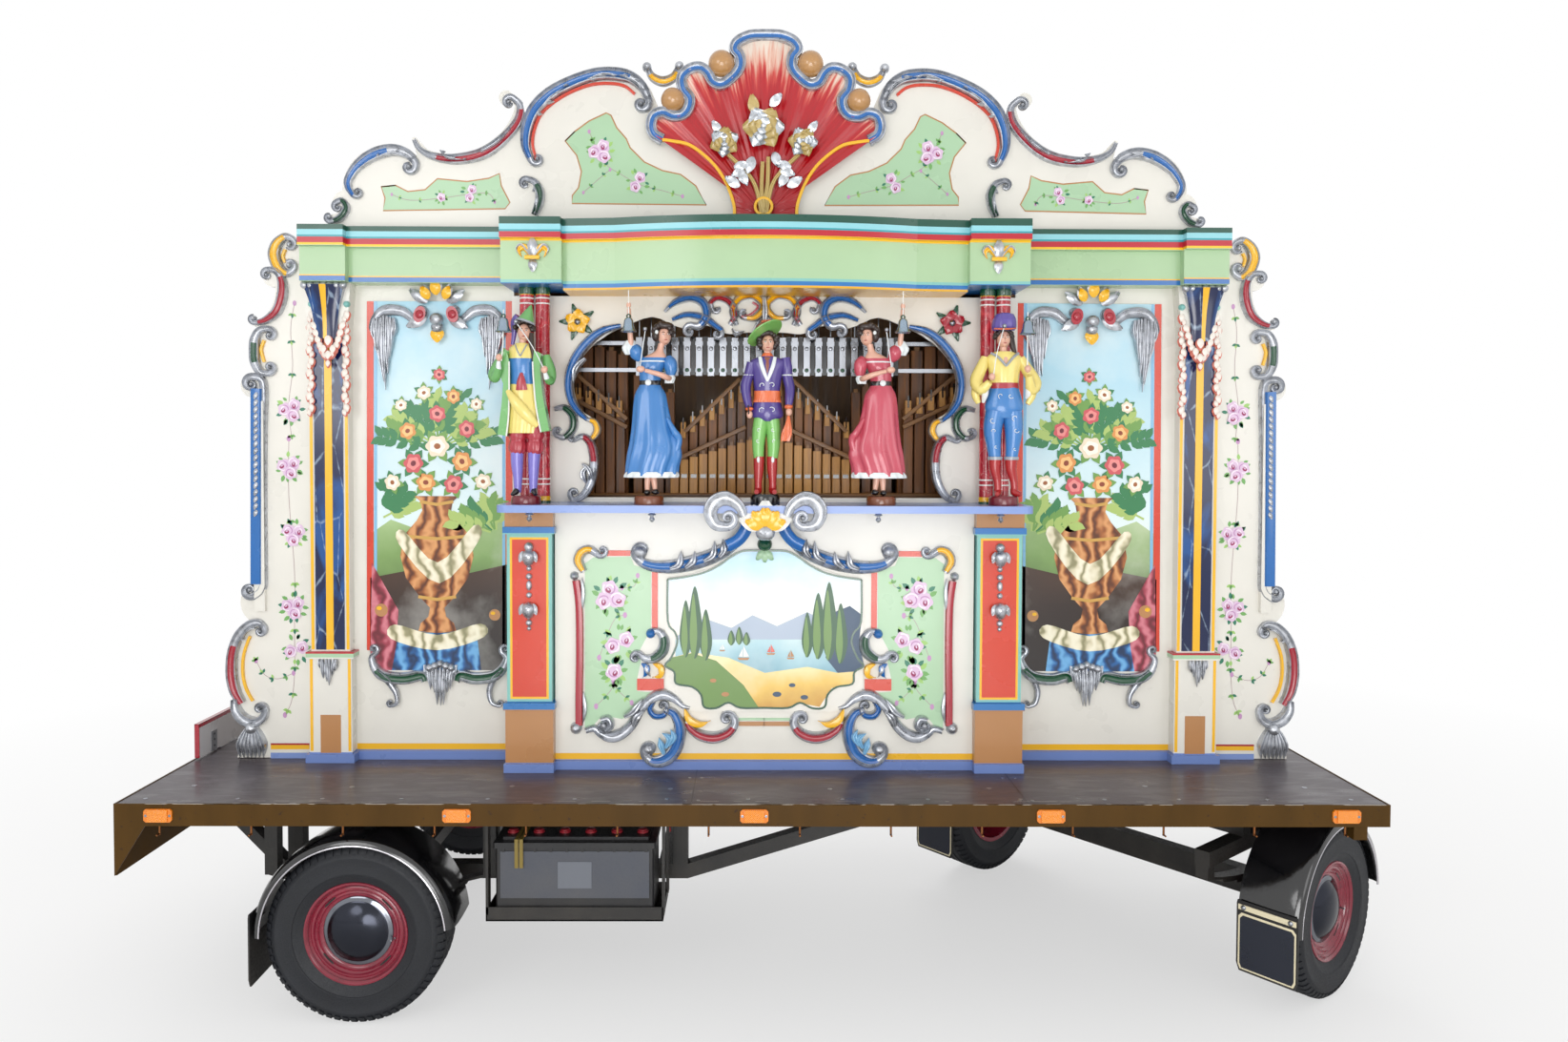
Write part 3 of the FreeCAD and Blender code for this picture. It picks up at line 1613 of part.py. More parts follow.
def bells():
    """Four bells on slim poles that stand on the shelf."""
    pieces = []
    for u in bell_places:
        x = front_x + u
        pole = rod((x, bell_y, shelf_top), (x, bell_y, bell_z + 40), bell_pole)
        arm = rod((x, bell_y, bell_z + 36), (x, bell_y - 44, bell_z + 36), bell_pole)
        bell = Part.makeCone(bell_radius, 12, 50, Vec(x, bell_y - 40, bell_z - 20))
        hanger = rod((x, bell_y - 40, bell_z + 28), (x, bell_y - 40, bell_z + 36), 4.0)
        pieces.append(fused(pole, arm, bell, hanger))
    return pieces


def wheel_places():
    """Middle, outward direction and bogie side of each wheel."""
    turn = math.radians(steer_rest)
    places = {}
    for name, side in (("near", -1), ("far", 1)):
        places["rear_" + name] = (rear_axle_x, side * wheel_y, side, 0.0)
        places["front_" + name] = (0.0, side * wheel_y, side, turn)
    return places


def wheels():
    """Tyre and rim of each wheel, the front ones turned with the bogie."""
    nodes = {}
    for name, (x, y, side, turn) in wheel_places().items():
        tyre = [tyre_at(x, y, side)]
        rim = rim_at(x, y, side)
        if turn:
            tyre = turn_bogie(tyre)
            rim = turn_bogie(rim)
        nodes["tyre_" + name] = tyre
        nodes["rim_" + name] = rim
    return nodes


def all_nodes():
    """Every sub-part by name."""
    nodes = {
        "deck_boards": deck_boards(),
        "deck_rim": deck_rim(),
        "end_board": end_board(),
        "reflectors": reflectors(),
        "rope_hooks": rope_hooks(),
        "chassis_frame": chassis_frame(),
        "rear_axle": rear_axle(),
        "rear_mudguards": rear_mudguards(),
        "battery": battery(),
        "bogie_frame": bogie_frame(),
        "front_axle": front_axle(),
        "front_mudguards": front_mudguards(),
        "drawbar": drawbar(),
        "case_frame": case_frame(),
        "case_walls": case_walls(),
        "back_door_left": back_door(-1),
        "back_door_right": back_door(1),
        "plinth": plinth(),
        "front_panels": front_panels(),
        "upper_panel": upper_panel(),
        "outer_pilasters": outer_pilasters(),
        "centre_pedestals": centre_pedestals(),
        "red_columns": red_columns(),
        "entablature": entablature(),
        "stage_shelf": stage_shelf(),
        "crest_boards": crest_boards(),
        "crest_carvings": crest_carvings(),
        "facade_carvings": facade_carvings(),
        "pictures": pictures(),
        "wing_left": wing(-1),
        "wing_right": wing(1),
        "wind_chest": wind_chest(),
        "wood_pipes": wood_pipes(),
        "metallophone": metallophone(),
        "bellows": bellows(),
        "keyframe": keyframe(),
        "feed_roller": feed_roller(),
        "music_book": music_book(),
        "flywheel": flywheel(),
        "crank_handle": crank_handle(),
        "man_left": figure_with_pin(0, False, "point"),
        "lady_left": figure_with_pin(1, True, "hair"),
        "conductor": figure_with_pin(2, False, "wide"),
        "lady_right": figure_with_pin(3, True, "hair"),
        "man_right": figure_with_pin(4, False, "round"),
        "bells": bells(),
    }
    names = ("man_left", "lady_left", "conductor", "lady_right", "man_right")
    for index, name in enumerate(names):
        nodes["arm_" + name] = figure_arm(index)
    nodes.update(wheels())
    return nodes


def origin_shift(nodes):
    """The move that puts the origin under the middle of the whole box."""
    whole = Part.makeCompound([s for solids in nodes.values() for s in solids]).BoundBox
    return Vec(-(whole.XMin + whole.XMax) / 2, -(whole.YMin + whole.YMax) / 2, 0)


def main():
    """Build every node, move it to the origin and write its file."""
    os.makedirs("parts", exist_ok=True)
    nodes = all_nodes()
    shift = origin_shift(nodes)
    for name, solids in nodes.items():
        shape = Part.makeCompound(solids)
        shape.translate(shift)
        shape.exportStep("parts/" + name + ".step")
    print("nodes", len(nodes), "shift", round(shift.x, 2), round(shift.y, 2))


if __name__ == "__main__":
    main()
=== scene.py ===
"""Looks of a painted street organ on its flatbed trailer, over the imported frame."""
import math
import random

import bpy
from mathutils import Matrix, Vector


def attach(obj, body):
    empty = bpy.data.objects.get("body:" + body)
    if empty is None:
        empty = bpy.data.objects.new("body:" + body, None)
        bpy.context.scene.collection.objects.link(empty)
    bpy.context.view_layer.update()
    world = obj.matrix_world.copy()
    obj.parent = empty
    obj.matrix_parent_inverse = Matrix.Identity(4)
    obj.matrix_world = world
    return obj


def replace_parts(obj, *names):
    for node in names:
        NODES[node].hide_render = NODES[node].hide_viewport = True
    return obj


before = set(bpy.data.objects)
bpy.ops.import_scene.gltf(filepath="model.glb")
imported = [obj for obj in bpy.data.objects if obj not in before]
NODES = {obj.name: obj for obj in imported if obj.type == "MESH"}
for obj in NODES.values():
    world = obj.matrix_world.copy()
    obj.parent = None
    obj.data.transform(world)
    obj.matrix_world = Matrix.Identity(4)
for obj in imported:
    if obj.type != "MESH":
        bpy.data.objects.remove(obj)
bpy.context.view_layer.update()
random.seed(7)

# The row frame lies this far from the trailer's middle, in millimetres.
ROW_SHIFT = Vector((-371.98, -87.93, 0.0))
# Across the row frame, the middle of the organ's front, in metres.
FRONT_X = (40.0 + ROW_SHIFT.x) / 1000

# The camera, fitted to the photograph; lengths are in its pixels.
PHOTO_W, PHOTO_H = 1645, 1093
FOCAL = 1119.956
LOOK_X = 796.205
LOOK_Y = 503.127
CAM_PLACE = Vector((-0.3819, -4.8878, 2.1325))
CAM_TURN = (
    Matrix.Rotation(-0.006, 3, "Z")
    @ Matrix.Rotation(math.pi / 2 - 0.029, 3, "X")
    @ Matrix.Rotation(0.003, 3, "Z")
)


def deep(y):
    """Row-frame Y, in metres, of a depth given in millimetres from the trailer's middle."""
    return (y + ROW_SHIFT.y) / 1000


def spot(x, y, z):
    """Row-frame place, in metres, of a place given in millimetres from the trailer's middle."""
    return Vector(((x + ROW_SHIFT.x) / 1000, deep(y), z / 1000))


def at(x, y, depth):
    """The point that the photograph shows at pixel x, y, on the upright plane at that depth."""
    ray = CAM_TURN @ Vector(((x - LOOK_X) / FOCAL, (LOOK_Y - y) / FOCAL, -1.0))
    return CAM_PLACE + ray * ((deep(depth) - CAM_PLACE.y) / ray.y)


def pin(x, y, depth):
    """(x, z) of one pixel of the photograph on the upright plane at that depth."""
    place = at(x, y, depth)
    return place.x, place.z


def corners(x0, y0, x1, y1):
    """A rectangle's four corners, in order round it."""
    return ((x0, y0), (x1, y0), (x1, y1), (x0, y1))


def angles(count):
    """Evenly spaced angles of one turn."""
    return [k * 2 * math.pi / count for k in range(count)]


def rgb(code):
    """Linear colour of a hex code."""
    out = []
    for i in (0, 2, 4):
        c = int(code[i : i + 2], 16) / 255
        out.append(c / 12.92 if c <= 0.04045 else ((c + 0.055) / 1.055) ** 2.4)
    return (*out, 1.0)


class Finish:
    """A procedural material, built node by node round one Principled shader."""

    def __init__(self, name, rough=0.4, metal=0.0, coat=0.0):
        self.mat = bpy.data.materials.new(name)
        self.mat.use_nodes = True
        self.nodes = self.mat.node_tree.nodes
        self.links = self.mat.node_tree.links
        self.shader = self.nodes["Principled BSDF"]
        self.shader.inputs["Roughness"].default_value = rough
        self.shader.inputs["Metallic"].default_value = metal
        self.shader.inputs["Coat Weight"].default_value = coat
        self.shader.inputs["Coat Roughness"].default_value = 0.12
        self.place = self.nodes.new("ShaderNodeTexCoord").outputs["Object"]

    def add(self, kind, feeds=(), **settings):
        node = self.nodes.new("ShaderNode" + kind)
        for key, value in settings.items():
            setattr(node, key, value)
        for socket, value in dict(feeds).items():
            if isinstance(value, bpy.types.NodeSocket):
                self.links.new(value, node.inputs[socket])
            else:
                node.inputs[socket].default_value = value
        return node

    def scaled(self, scale):
        return self.add("Mapping", {"Vector": self.place, "Scale": scale}).outputs[0]

    def noise(self, scale, detail, stretch=None, distortion=0.0):
        place = self.scaled(stretch) if stretch else self.place
        feeds = {"Vector": place, "Scale": scale, "Detail": detail, "Distortion": distortion}
        return self.add("TexNoise", feeds).outputs["Fac"]

    def axis(self, index):
        return self.add("SeparateXYZ", {0: self.place}).outputs[index]

    def math(self, operation, a, b=0.0):
        return self.add("Math", {0: a, 1: b}, operation=operation).outputs[0]

    def stripes(self, value, turns):
        return self.math("SINE", self.math("MULTIPLY", value, turns))

    def cells(self, across, up, turns):
        """A fine mesh: stripes along two axes, multiplied."""
        two = (self.stripes(self.axis(index), turns) for index in (across, up))
        return self.math("MULTIPLY", *two)

    def spread(self, value, low, high, to_low=0.0, to_high=1.0):
        feeds = {0: value, 1: low, 2: high, 3: to_low, 4: to_high}
        return self.add("MapRange", feeds).outputs[0]

    def ramp(self, value, stops, steps=False):
        node = self.add("ValToRGB", {0: value})
        node.color_ramp.interpolation = "CONSTANT" if steps else "LINEAR"
        marks = node.color_ramp.elements
        while len(marks) < len(stops):
            marks.new(0.5)
        for mark, (place, colour) in zip(marks, sorted(stops)):
            mark.position = place
            mark.color = rgb(colour) if isinstance(colour, str) else (colour, colour, colour, 1)
        return node.outputs[0]

    def mix(self, share, a, b, blend="MIX"):
        feeds = {0: share, 6: a, 7: b}
        return self.add("Mix", feeds, data_type="RGBA", blend_type=blend).outputs[2]

    def colour(self, value):
        self.links.new(value, self.shader.inputs["Base Color"])
        return self

    def rough(self, value, low, high):
        self.links.new(self.spread(value, 0.3, 0.7, low, high), self.shader.inputs["Roughness"])
        return self

    def bump(self, height, distance, strength):
        feeds = {"Height": height, "Distance": distance, "Strength": strength}
        node = self.add("Bump", feeds)
        self.links.new(node.outputs[0], self.shader.inputs["Normal"])
        return self


def shades(code, low=0.93, high=1.05):
    """Two near tones of one colour."""
    base = rgb(code)
    return [tuple(min(1.0, c * k) for c in base[:3]) + (1.0,) for k in (low, high)]


def enamel(name, code, rough, coat=0.35):
    """Brushed gloss paint: slightly uneven tone, brush marks and soft sheen."""
    f = Finish(name, rough, coat=coat)
    low, high = shades(code)
    cloud = f.noise(5.0, 4.0)
    brush = f.noise(90.0, 2.0, stretch=(1.0, 1.0, 0.12))
    f.colour(f.mix(cloud, low, high)).rough(cloud, rough - 0.06, rough + 0.1)
    f.bump(brush, 0.0006, 0.25)
    return f.mat


def leafed(name, code, rough=0.3):
    """Metal-leaf paint over carving: brighter and greyer patches at random."""
    f = Finish(name, rough, metal=0.75, coat=0.25)
    low, high = shades(code, 0.72, 1.12)
    wear = f.noise(38.0, 5.0)
    f.colour(f.mix(f.ramp(wear, [(0.35, 0.0), (0.65, 1.0)]), low, high))
    f.rough(wear, rough - 0.08, rough + 0.14).bump(f.noise(70.0, 3.0), 0.0012, 0.35)
    return f.mat


def banded(name, low, bands):
    """Gloss paint in level bands: (start in mm, colour) pairs above a low end."""
    rough = 0.3
    f = Finish(name, rough, coat=0.3)
    start = low / 1000
    span = bands[-1][0] / 1000 - start + 0.001
    place = f.spread(f.axis(2), start, start + span)
    stops = [((z / 1000 - start) / span, code) for z, code in bands]
    paint = f.ramp(place, stops, steps=True)
    cloud = f.noise(5.0, 4.0)
    tone = f.ramp(cloud, [(0.3, 0.94), (0.7, 1.0)])
    f.colour(f.mix(1.0, paint, tone, "MULTIPLY")).rough(cloud, rough - 0.05, rough + 0.08)
    f.bump(f.noise(80.0, 2.0, stretch=(0.15, 1.0, 1.0)), 0.0005, 0.2)
    return f.mat


def marble(name, dark, light, vein, scale, stretch):
    """Imitation marble under varnish: clouded ground with thin pale veins."""
    f = Finish(name, 0.16, coat=0.5)
    cloud = f.noise(scale, 6.0, stretch=stretch, distortion=1.2)
    ground = f.ramp(cloud, [(0.36, dark), (0.5, dark), (0.64, light)])
    feeds = {"Vector": f.scaled(stretch), "Scale": scale * 1.6}
    cell = f.add("TexVoronoi", feeds, feature="DISTANCE_TO_EDGE").outputs["Distance"]
    bent = f.math("ADD", cell, f.spread(f.noise(scale * 4, 4.0), 0.3, 0.7, -0.02, 0.03))
    line = f.ramp(bent, [(0.0, 1.0), (0.012, 0.5), (0.03, 0.0)])
    f.colour(f.mix(f.math("MULTIPLY", line, 0.45), ground, rgb(vein)))
    f.bump(f.noise(60.0, 2.0), 0.0004, 0.15)
    return f.mat


def timber(name, dark, light, along, scale, rough=0.5, coat=0.1):
    """Wood grain that runs along one axis."""
    stretch = [1.0, 1.0, 1.0]
    stretch[along] = 0.06
    f = Finish(name, rough, coat=coat)
    grain = f.noise(scale * 4, 6.0, stretch=stretch, distortion=0.6)
    broad = f.noise(scale * 0.5, 3.0, stretch=stretch)
    mixed = f.math("ADD", f.math("MULTIPLY", grain, 0.6), f.math("MULTIPLY", broad, 0.4))
    f.colour(f.ramp(mixed, [(0.36, dark), (0.64, light)])).rough(grain, rough - 0.1, rough + 0.12)
    f.bump(grain, 0.0012, 0.35)
    return f.mat


def metal(name, code, rough):
    """Bare or plated metal with fine scratches and cloudy dulling."""
    f = Finish(name, rough, metal=1.0)
    low, high = shades(code, 0.8, 1.1)
    cloud = f.noise(9.0, 5.0)
    f.colour(f.mix(cloud, low, high)).rough(cloud, rough - 0.1, rough + 0.15)
    f.bump(f.noise(60.0, 3.0, stretch=(1.0, 1.0, 0.2)), 0.0005, 0.25)
    return f.mat


def road_dust(name, code, dust, rough, low, high, coat=0.0):
    """Paint or rubber that is dustier towards the ground; low and high are metres above it."""
    f = Finish(name, rough, coat=coat)
    pale, full = shades(code, 0.85, 1.1)
    cloud = f.noise(7.0, 5.0)
    fine = f.noise(120.0, 3.0)
    height = f.spread(f.axis(2), low, high, 0.55, 0.0)
    amount = f.math("MULTIPLY", f.math("ADD", height, 0.08), f.spread(cloud, 0.3, 0.7, 0.2, 1.0))
    f.colour(f.mix(amount, f.mix(cloud, pale, full), rgb(dust)))
    f.rough(fine, rough - 0.08, rough + 0.15).bump(fine, 0.0008, 0.3)
    return f.mat


def rubber(name):
    """Tyre rubber: near black, cloudy and fine grained."""
    f = Finish(name, 0.62)
    fine = f.noise(260.0, 3.0)
    cloud = f.noise(8.0, 5.0)
    f.colour(f.mix(cloud, rgb("0b0d11"), rgb("191c23"))).rough(fine, 0.5, 0.75)
    return f.bump(fine, 0.0006, 0.4).mat


def deck_ply(name):
    """Dark film-faced ply: fine mesh print, scuffs and pale dust."""
    f = Finish(name, 0.34, coat=0.15)
    scuff = f.noise(16.0, 8.0, stretch=(0.35, 1.2, 1.0), distortion=0.8)
    cloud = f.noise(1.6, 4.0)
    ground = f.mix(cloud, rgb("352b30"), rgb("4d4249"))
    pale = f.math("MULTIPLY", f.ramp(scuff, [(0.56, 0.0), (0.74, 1.0)]), 0.35)
    f.colour(f.mix(pale, ground, rgb("8d858c"))).rough(scuff, 0.26, 0.5)
    return f.bump(f.cells(0, 1, 900.0), 0.0003, 0.35).mat


def olive_rim(name):
    """Worn olive-brown paint with darker runs and chipped spots."""
    f = Finish(name, 0.5)
    f.shader.inputs["Specular IOR Level"].default_value = 0.15
    run = f.noise(9.0, 6.0, stretch=(1.0, 1.0, 0.25))
    chip = f.noise(55.0, 2.0)
    ground = f.mix(run, rgb("3d2a0c"), rgb("5a3e14"))
    spots = f.ramp(chip, [(0.70, 0.0), (0.74, 1.0)])
    f.colour(f.mix(spots, ground, rgb("3b2a1b"))).rough(run, 0.35, 0.55)
    return f.bump(f.noise(40.0, 4.0), 0.0008, 0.3).mat


def reflector_lens(name):
    """Orange moulded lens with rows of tiny prisms; painted light and shade on the prism rows, and
    a faint painted glow.
    """
    f = Finish(name, 0.12, coat=0.8)
    cell = f.cells(0, 2, 900.0)
    # Painted light and shade: the prism rows are coloured in lighter and darker orange, following
    # the prism bumps.
    f.colour(f.mix(f.spread(cell, -1.0, 1.0), rgb("c45a00"), rgb("f59d14")))
    # Painted glow: a faint orange emission, though the lens is no lamp.
    f.shader.inputs["Emission Color"].default_value = rgb("e07800")
    f.shader.inputs["Emission Strength"].default_value = 0.12
    return f.bump(cell, 0.0010, 0.6).mat


def paper_book(name):
    """Edge-on folds of thick card, buff, with painted shade darkening the folds."""
    f = Finish(name, 0.75)
    # Painted shade: stripes across the stack, darker between the folds.
    fold = f.spread(f.stripes(f.axis(0), 1800.0), -1.0, 1.0)
    f.colour(f.mix(fold, rgb("a98b5c"), rgb("d9c193")))
    return f.bump(f.noise(120.0, 3.0), 0.0004, 0.3).mat


def leather(name):
    """Bellows leather, buff and finely creased."""
    f = Finish(name, 0.6)
    grain = f.noise(160.0, 4.0)
    f.colour(f.mix(f.noise(6.0, 4.0), rgb("c8b48e"), rgb("e0d0ae")))
    return f.rough(grain, 0.5, 0.7).bump(grain, 0.0006, 0.4).mat


CREAM = enamel("cream", "e2dfd6", 0.3)
SILVER = leafed("silver", "b9bcc2")
BLUE = enamel("scroll_blue", "1f66ad", 0.2, 0.6)
PALE_BLUE = enamel("pale_blue", "7fb4d8", 0.25, 0.5)
RED = enamel("scroll_red", "a3142b", 0.2, 0.6)
ORANGE_RED = enamel("orange_red", "cf3a1f", 0.25, 0.5)
GREEN = enamel("scroll_green", "0f4a2e", 0.2, 0.6)
LEAF_GREEN = enamel("panel_green", "a9cba6", 0.3)
YELLOW = enamel("scroll_yellow", "f0b61a", 0.22, 0.6)
BROWN = enamel("panel_brown", "b47f4d", 0.35)
LILAC = enamel("shelf_lilac", "8098d0", 0.3)
AQUA = enamel("line_aqua", "7fbdb6", 0.3)
WHITE = enamel("white_paint", "e8e8e4", 0.3)
BLACK = enamel("gloss_black", "0c0d10", 0.14, 0.8)
CHASSIS = road_dust("chassis_black", "0e0f11", "4a443c", 0.42, low=0.0, high=0.9)
TAN_BALL = enamel("tan_ball", "b98a55", 0.2, 0.7)
RED_MARBLE = marble("red_marble", "a30f26", "cc3540", "f0c8c0", 26.0, (1.0, 1.0, 0.5))
BLUE_MARBLE = marble("blue_marble", "0b1a45", "1c4f8f", "b9cfe4", 7.0, (1.0, 1.0, 0.35))
PIPE_WOOD = timber("pipe_wood", "40220e", "955c26", 2, 12.0)
PALE_WOOD = timber("pale_wood", "96601f", "d29a50", 2, 14.0)
CASE_WOOD = timber("case_wood", "5b3c22", "8c6238", 2, 9.0)
RAIL_WOOD = timber("rail_wood", "6e4a28", "9a6c3c", 0, 9.0)
IRON = metal("iron", "5a5d62", 0.42)
BRASS = metal("brass", "b58a3a", 0.3)
STEEL = metal("plain_steel", "9da0a6", 0.28)
DARK_CHROME = metal("dark_chrome", "3a3c44", 0.14)

FRIEZE = banded("frieze_bands", 2750.0, [
    (2755, "e0a820"), (2763, "2271b3"), (2779, "7fbdb6"), (2790, "a9c79d"), (2942, "f0c020"),
    (2951, "b8192b"), (2973, "2f9aa6"), (2981, "8fcfd8"), (3003, "0f4c3c"), (3040, "0f4c3c")])


class Piece:
    """One mesh, built up from rows of points; each face carries its own finish."""

    def __init__(self, name, body="wagon", slot=None):
        self.name, self.body, self.slot = name, body, slot
        self.points, self.faces, self.marks, self.finishes = [], [], [], []

    def mark(self, finish):
        if finish not in self.finishes:
            self.finishes.append(finish)
        return self.finishes.index(finish)

    def add(self, points, faces, finish):
        base = len(self.points)
        self.points += [Vector(p) for p in points]
        several = finish if isinstance(finish, list) else [finish] * len(faces)
        for face, one in zip(faces, several):
            self.faces.append([base + i for i in face])
            self.marks.append(self.mark(one))

    def rows(self, rows, finish, ring=False, ends=True):
        """A skin over rows of points. finish may be a function of (row, column)."""
        wide = len(rows[0])
        cols = wide if ring else wide - 1
        faces, looks = [], []
        for r in range(len(rows) - 1):
            for c in range(cols):
                n = (c + 1) % wide
                faces.append((r * wide + c, r * wide + n, (r + 1) * wide + n, (r + 1) * wide + c))
                looks.append(finish(r, c) if callable(finish) else finish)
        if ring and ends:
            last = (len(rows) - 1) * wide
            faces.append(tuple(reversed(range(wide))))
            faces.append(tuple(range(last, last + wide)))
            looks += [looks[0], looks[-1]]
        self.add([p for row in rows for p in row], faces, looks)

    def shape(self, ring, depth, finish):
        """A flat painted shape: an outline of (x, z) places at that depth (mm)."""
        self.add([Vector((x, deep(depth), z)) for x, z in ring], [tuple(range(len(ring)))], finish)

    def slab(self, outline, y, thick, finish):
        """A flat shape in the XZ plane: its face at depth y (mm), thick mm deep."""
        front = [Vector((x, deep(y), z)) for x, z in outline]
        back = [Vector((x, deep(y + thick), z)) for x, z in outline]
        n = len(outline)
        walls = [(i, (i + 1) % n, n + (i + 1) % n, n + i) for i in range(n)]
        self.add(front + back, [tuple(range(n))] + walls, finish)

    def build(self, mirror=False, flip=False, sharp=40.0):
        """Makes the object. mirror adds the other half; flip makes only the mirrored one."""
        points, faces, marks = list(self.points), list(self.faces), list(self.marks)
        other = [Vector((2 * FRONT_X - p.x, p.y, p.z)) for p in points]
        turned = [list(reversed(f)) for f in faces]
        if flip:
            points, faces = other, turned
        elif mirror:
            faces += [[len(points) + i for i in f] for f in turned]
            points += other
            marks += marks
        mesh = bpy.data.meshes.new(self.name)
        mesh.from_pydata([tuple(p) for p in points], [], faces)
        for finish in self.finishes:
            mesh.materials.append(finish)
        mesh.polygons.foreach_set("material_index", marks)
        mesh.update()
        obj = bpy.data.objects.new(self.name, mesh)
        bpy.context.scene.collection.objects.link(obj)
        mesh.shade_smooth()
        mesh.set_sharp_from_angle(angle=math.radians(sharp))
        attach(obj, self.body)
        return obj


def flat(points, depth):
    """Photo pixels to (x, z) places on the upright plane at that depth."""
    return [pin(x, y, depth) for x, y in points]


def smooth_line(points, steps=6, closed=False):
    """A soft line through the points."""
    n = len(points)
    if n < 3:
        return list(points)
    pick = (lambda i: points[i % n]) if closed else (lambda i: points[max(0, min(n - 1, i))])
    out = []
    for i in range(n if closed else n - 1):
        p0, p1, p2, p3 = pick(i - 1), pick(i), pick(i + 1), pick(i + 2)
        for s in range(steps):
            t = s / steps
            out.append(tuple(
                0.5 * (2 * b + (c - a) * t + (2 * a - 5 * b + 4 * c - d) * t * t
                       + (3 * b - a - 3 * c + d) * t ** 3)
                for a, b, c, d in zip(p0, p1, p2, p3)
            ))
    return out if closed else out + [tuple(points[-1])]


def lengths_along(line):
    """Share of the whole length at each point."""
    far = [0.0]
    for a, b in zip(line, line[1:]):
        far.append(far[-1] + math.dist(a, b))
    return [f / far[-1] for f in far]


def blend_list(values, t):
    """The value at share t of a list of evenly spaced values."""
    if len(values) == 1:
        return values[0]
    place = min(max(t, 0.0), 0.9999) * (len(values) - 1)
    i = int(place)
    return values[i] + (values[i + 1] - values[i]) * (place - i)


def tangents(line):
    """Direction at each point of a line of (x, z) places."""
    out = []
    for i in range(len(line)):
        a, b = line[max(0, i - 1)], line[min(len(line) - 1, i + 1)]
        size = math.dist(a, b) or 1.0
        out.append(((b[0] - a[0]) / size, (b[1] - a[1]) / size))
    return out


# A volute: how fast it tightens per radian, and the angle between its points.
CURL_TIGHTEN = 0.18
CURL_STEP = math.radians(15)


def curl(line, wide, turns, way):
    """Places and widths of a volute that goes on from the line's end, turning to one side."""
    tx, tz = tangents(line)[-1]
    nx, nz = -tz * way, tx * way
    radius = wide * 1.02
    cx, cz = line[-1][0] + nx * radius, line[-1][1] + nz * radius
    steps = max(2, int(turns * 2 * math.pi / CURL_STEP))
    out = []
    for i in range(1, steps + 1):
        angle = i * CURL_STEP
        r = radius * math.exp(-CURL_TIGHTEN * angle)
        c, s = math.cos(angle * way), math.sin(angle * way)
        out.append((cx + r * (-nx * c + nz * s), cz + r * (-nx * s - nz * c),
                    wide * math.exp(-CURL_TIGHTEN * angle)))
    return out, (cx, cz, radius * math.exp(-CURL_TIGHTEN * steps * CURL_STEP))


# Across a carved scroll: (share of the half width, share of the rise). Beads at the edges, a
# painted cove between.
SCROLL_CUT = (
    (-1.0, 0.0), (-1.0, 0.55), (-0.9, 0.86), (-0.76, 0.92), (-0.62, 0.7), (-0.3, 0.46),
    (0.05, 0.42), (0.4, 0.55), (0.62, 0.8), (0.78, 1.0), (0.92, 0.9), (1.0, 0.55), (1.0, 0.0),
)
# Across a carved leaf: a rounded back with a groove down its middle.
LEAF_CUT = ((-1.0, 0.0), (-0.92, 0.5), (-0.6, 0.92), (-0.25, 0.9), (0.0, 0.66),
            (0.25, 0.9), (0.6, 0.92), (0.92, 0.5), (1.0, 0.0))
# Across a plain raised bar.
BAR_CUT = ((-1.0, 0.0), (-1.0, 0.7), (-0.8, 1.0), (0.0, 1.08), (0.8, 1.0), (1.0, 0.7), (1.0, 0.0))


def ribbon(piece, line, widths, depth, rise, cut, finish):
    """Sweeps a cut along a line of (x, z) places; finish is one, or a function of (t, s)."""
    shares = lengths_along(line)
    full = max(widths)
    rows = []
    for (x, z), (tx, tz), wide in zip(line, tangents(line), widths):
        lift = rise * (0.35 + 0.65 * wide / full)
        rows.append([
            Vector((x - tz * s * wide / 2, deep(depth - h * lift), z + tx * s * wide / 2))
            for s, h in cut
        ])

    def look(r, c):
        if not callable(finish):
            return finish
        return finish(shares[r], (cut[c][0] + cut[c + 1][0]) / 2)

    piece.rows(rows, look)
    for row in (rows[0], rows[-1]):
        piece.add(row, [tuple(range(len(row)))], look(0, len(cut) // 2))


def dome(piece, x, z, radius, depth, rise, finish, rings=4, around=14):
    """A low round boss on a face."""
    rows = []
    for i in range(rings + 1):
        a = i / rings * math.pi / 2
        r, h = radius * math.cos(a), rise * math.sin(a)
        rows.append([Vector((x + r * math.cos(t), deep(depth - h), z + r * math.sin(t)))
                     for t in angles(around)])
    piece.rows(rows, finish, ring=True)


COVE = 0.5


def scroll(piece, pixels, widths, depth, rise, paint, span, start, end):
    """A carved C or S scroll: beaded edges, a painted cove, and a volute at either end.

    pixels are places in the photograph, widths are in millimetres, start and end are
    (turns, side) of the volutes, span is the painted share of the length."""
    line = smooth_line(flat(pixels, depth))
    wides = [blend_list(widths, t) / 1000 for t in lengths_along(line)]
    head, tail, eyes = [], [], []
    if end:
        tail, eye = curl(line, wides[-1], *end)
        eyes.append(eye)
    if start:
        head, eye = curl(line[::-1], wides[0], start[0], -start[1])
        eyes.append(eye)
    whole = head[::-1] + [(x, z, w) for (x, z), w in zip(line, wides)] + tail
    path = [(x, z) for x, z, _ in whole]
    shares = lengths_along(path)
    first, last = shares[len(head)], shares[len(head) + len(line) - 1]

    def look(t, s):
        along = (t - first) / (last - first)
        return paint if abs(s) < COVE and span[0] <= along <= span[1] else SILVER

    ribbon(piece, path, [w for *_, w in whole], depth, rise, SCROLL_CUT, look)
    for x, z, r in eyes:
        dome(piece, x, z, r, depth, rise * 0.9, SILVER)


def bead(piece, pixels, steps, wide, depth, rise, finish, cut=BAR_CUT):
    """A raised line of one width (mm) through pixels of the photograph."""
    line = smooth_line(flat(pixels, depth), steps)
    ribbon(piece, line, [wide / 1000] * len(line), depth, rise, cut, finish)


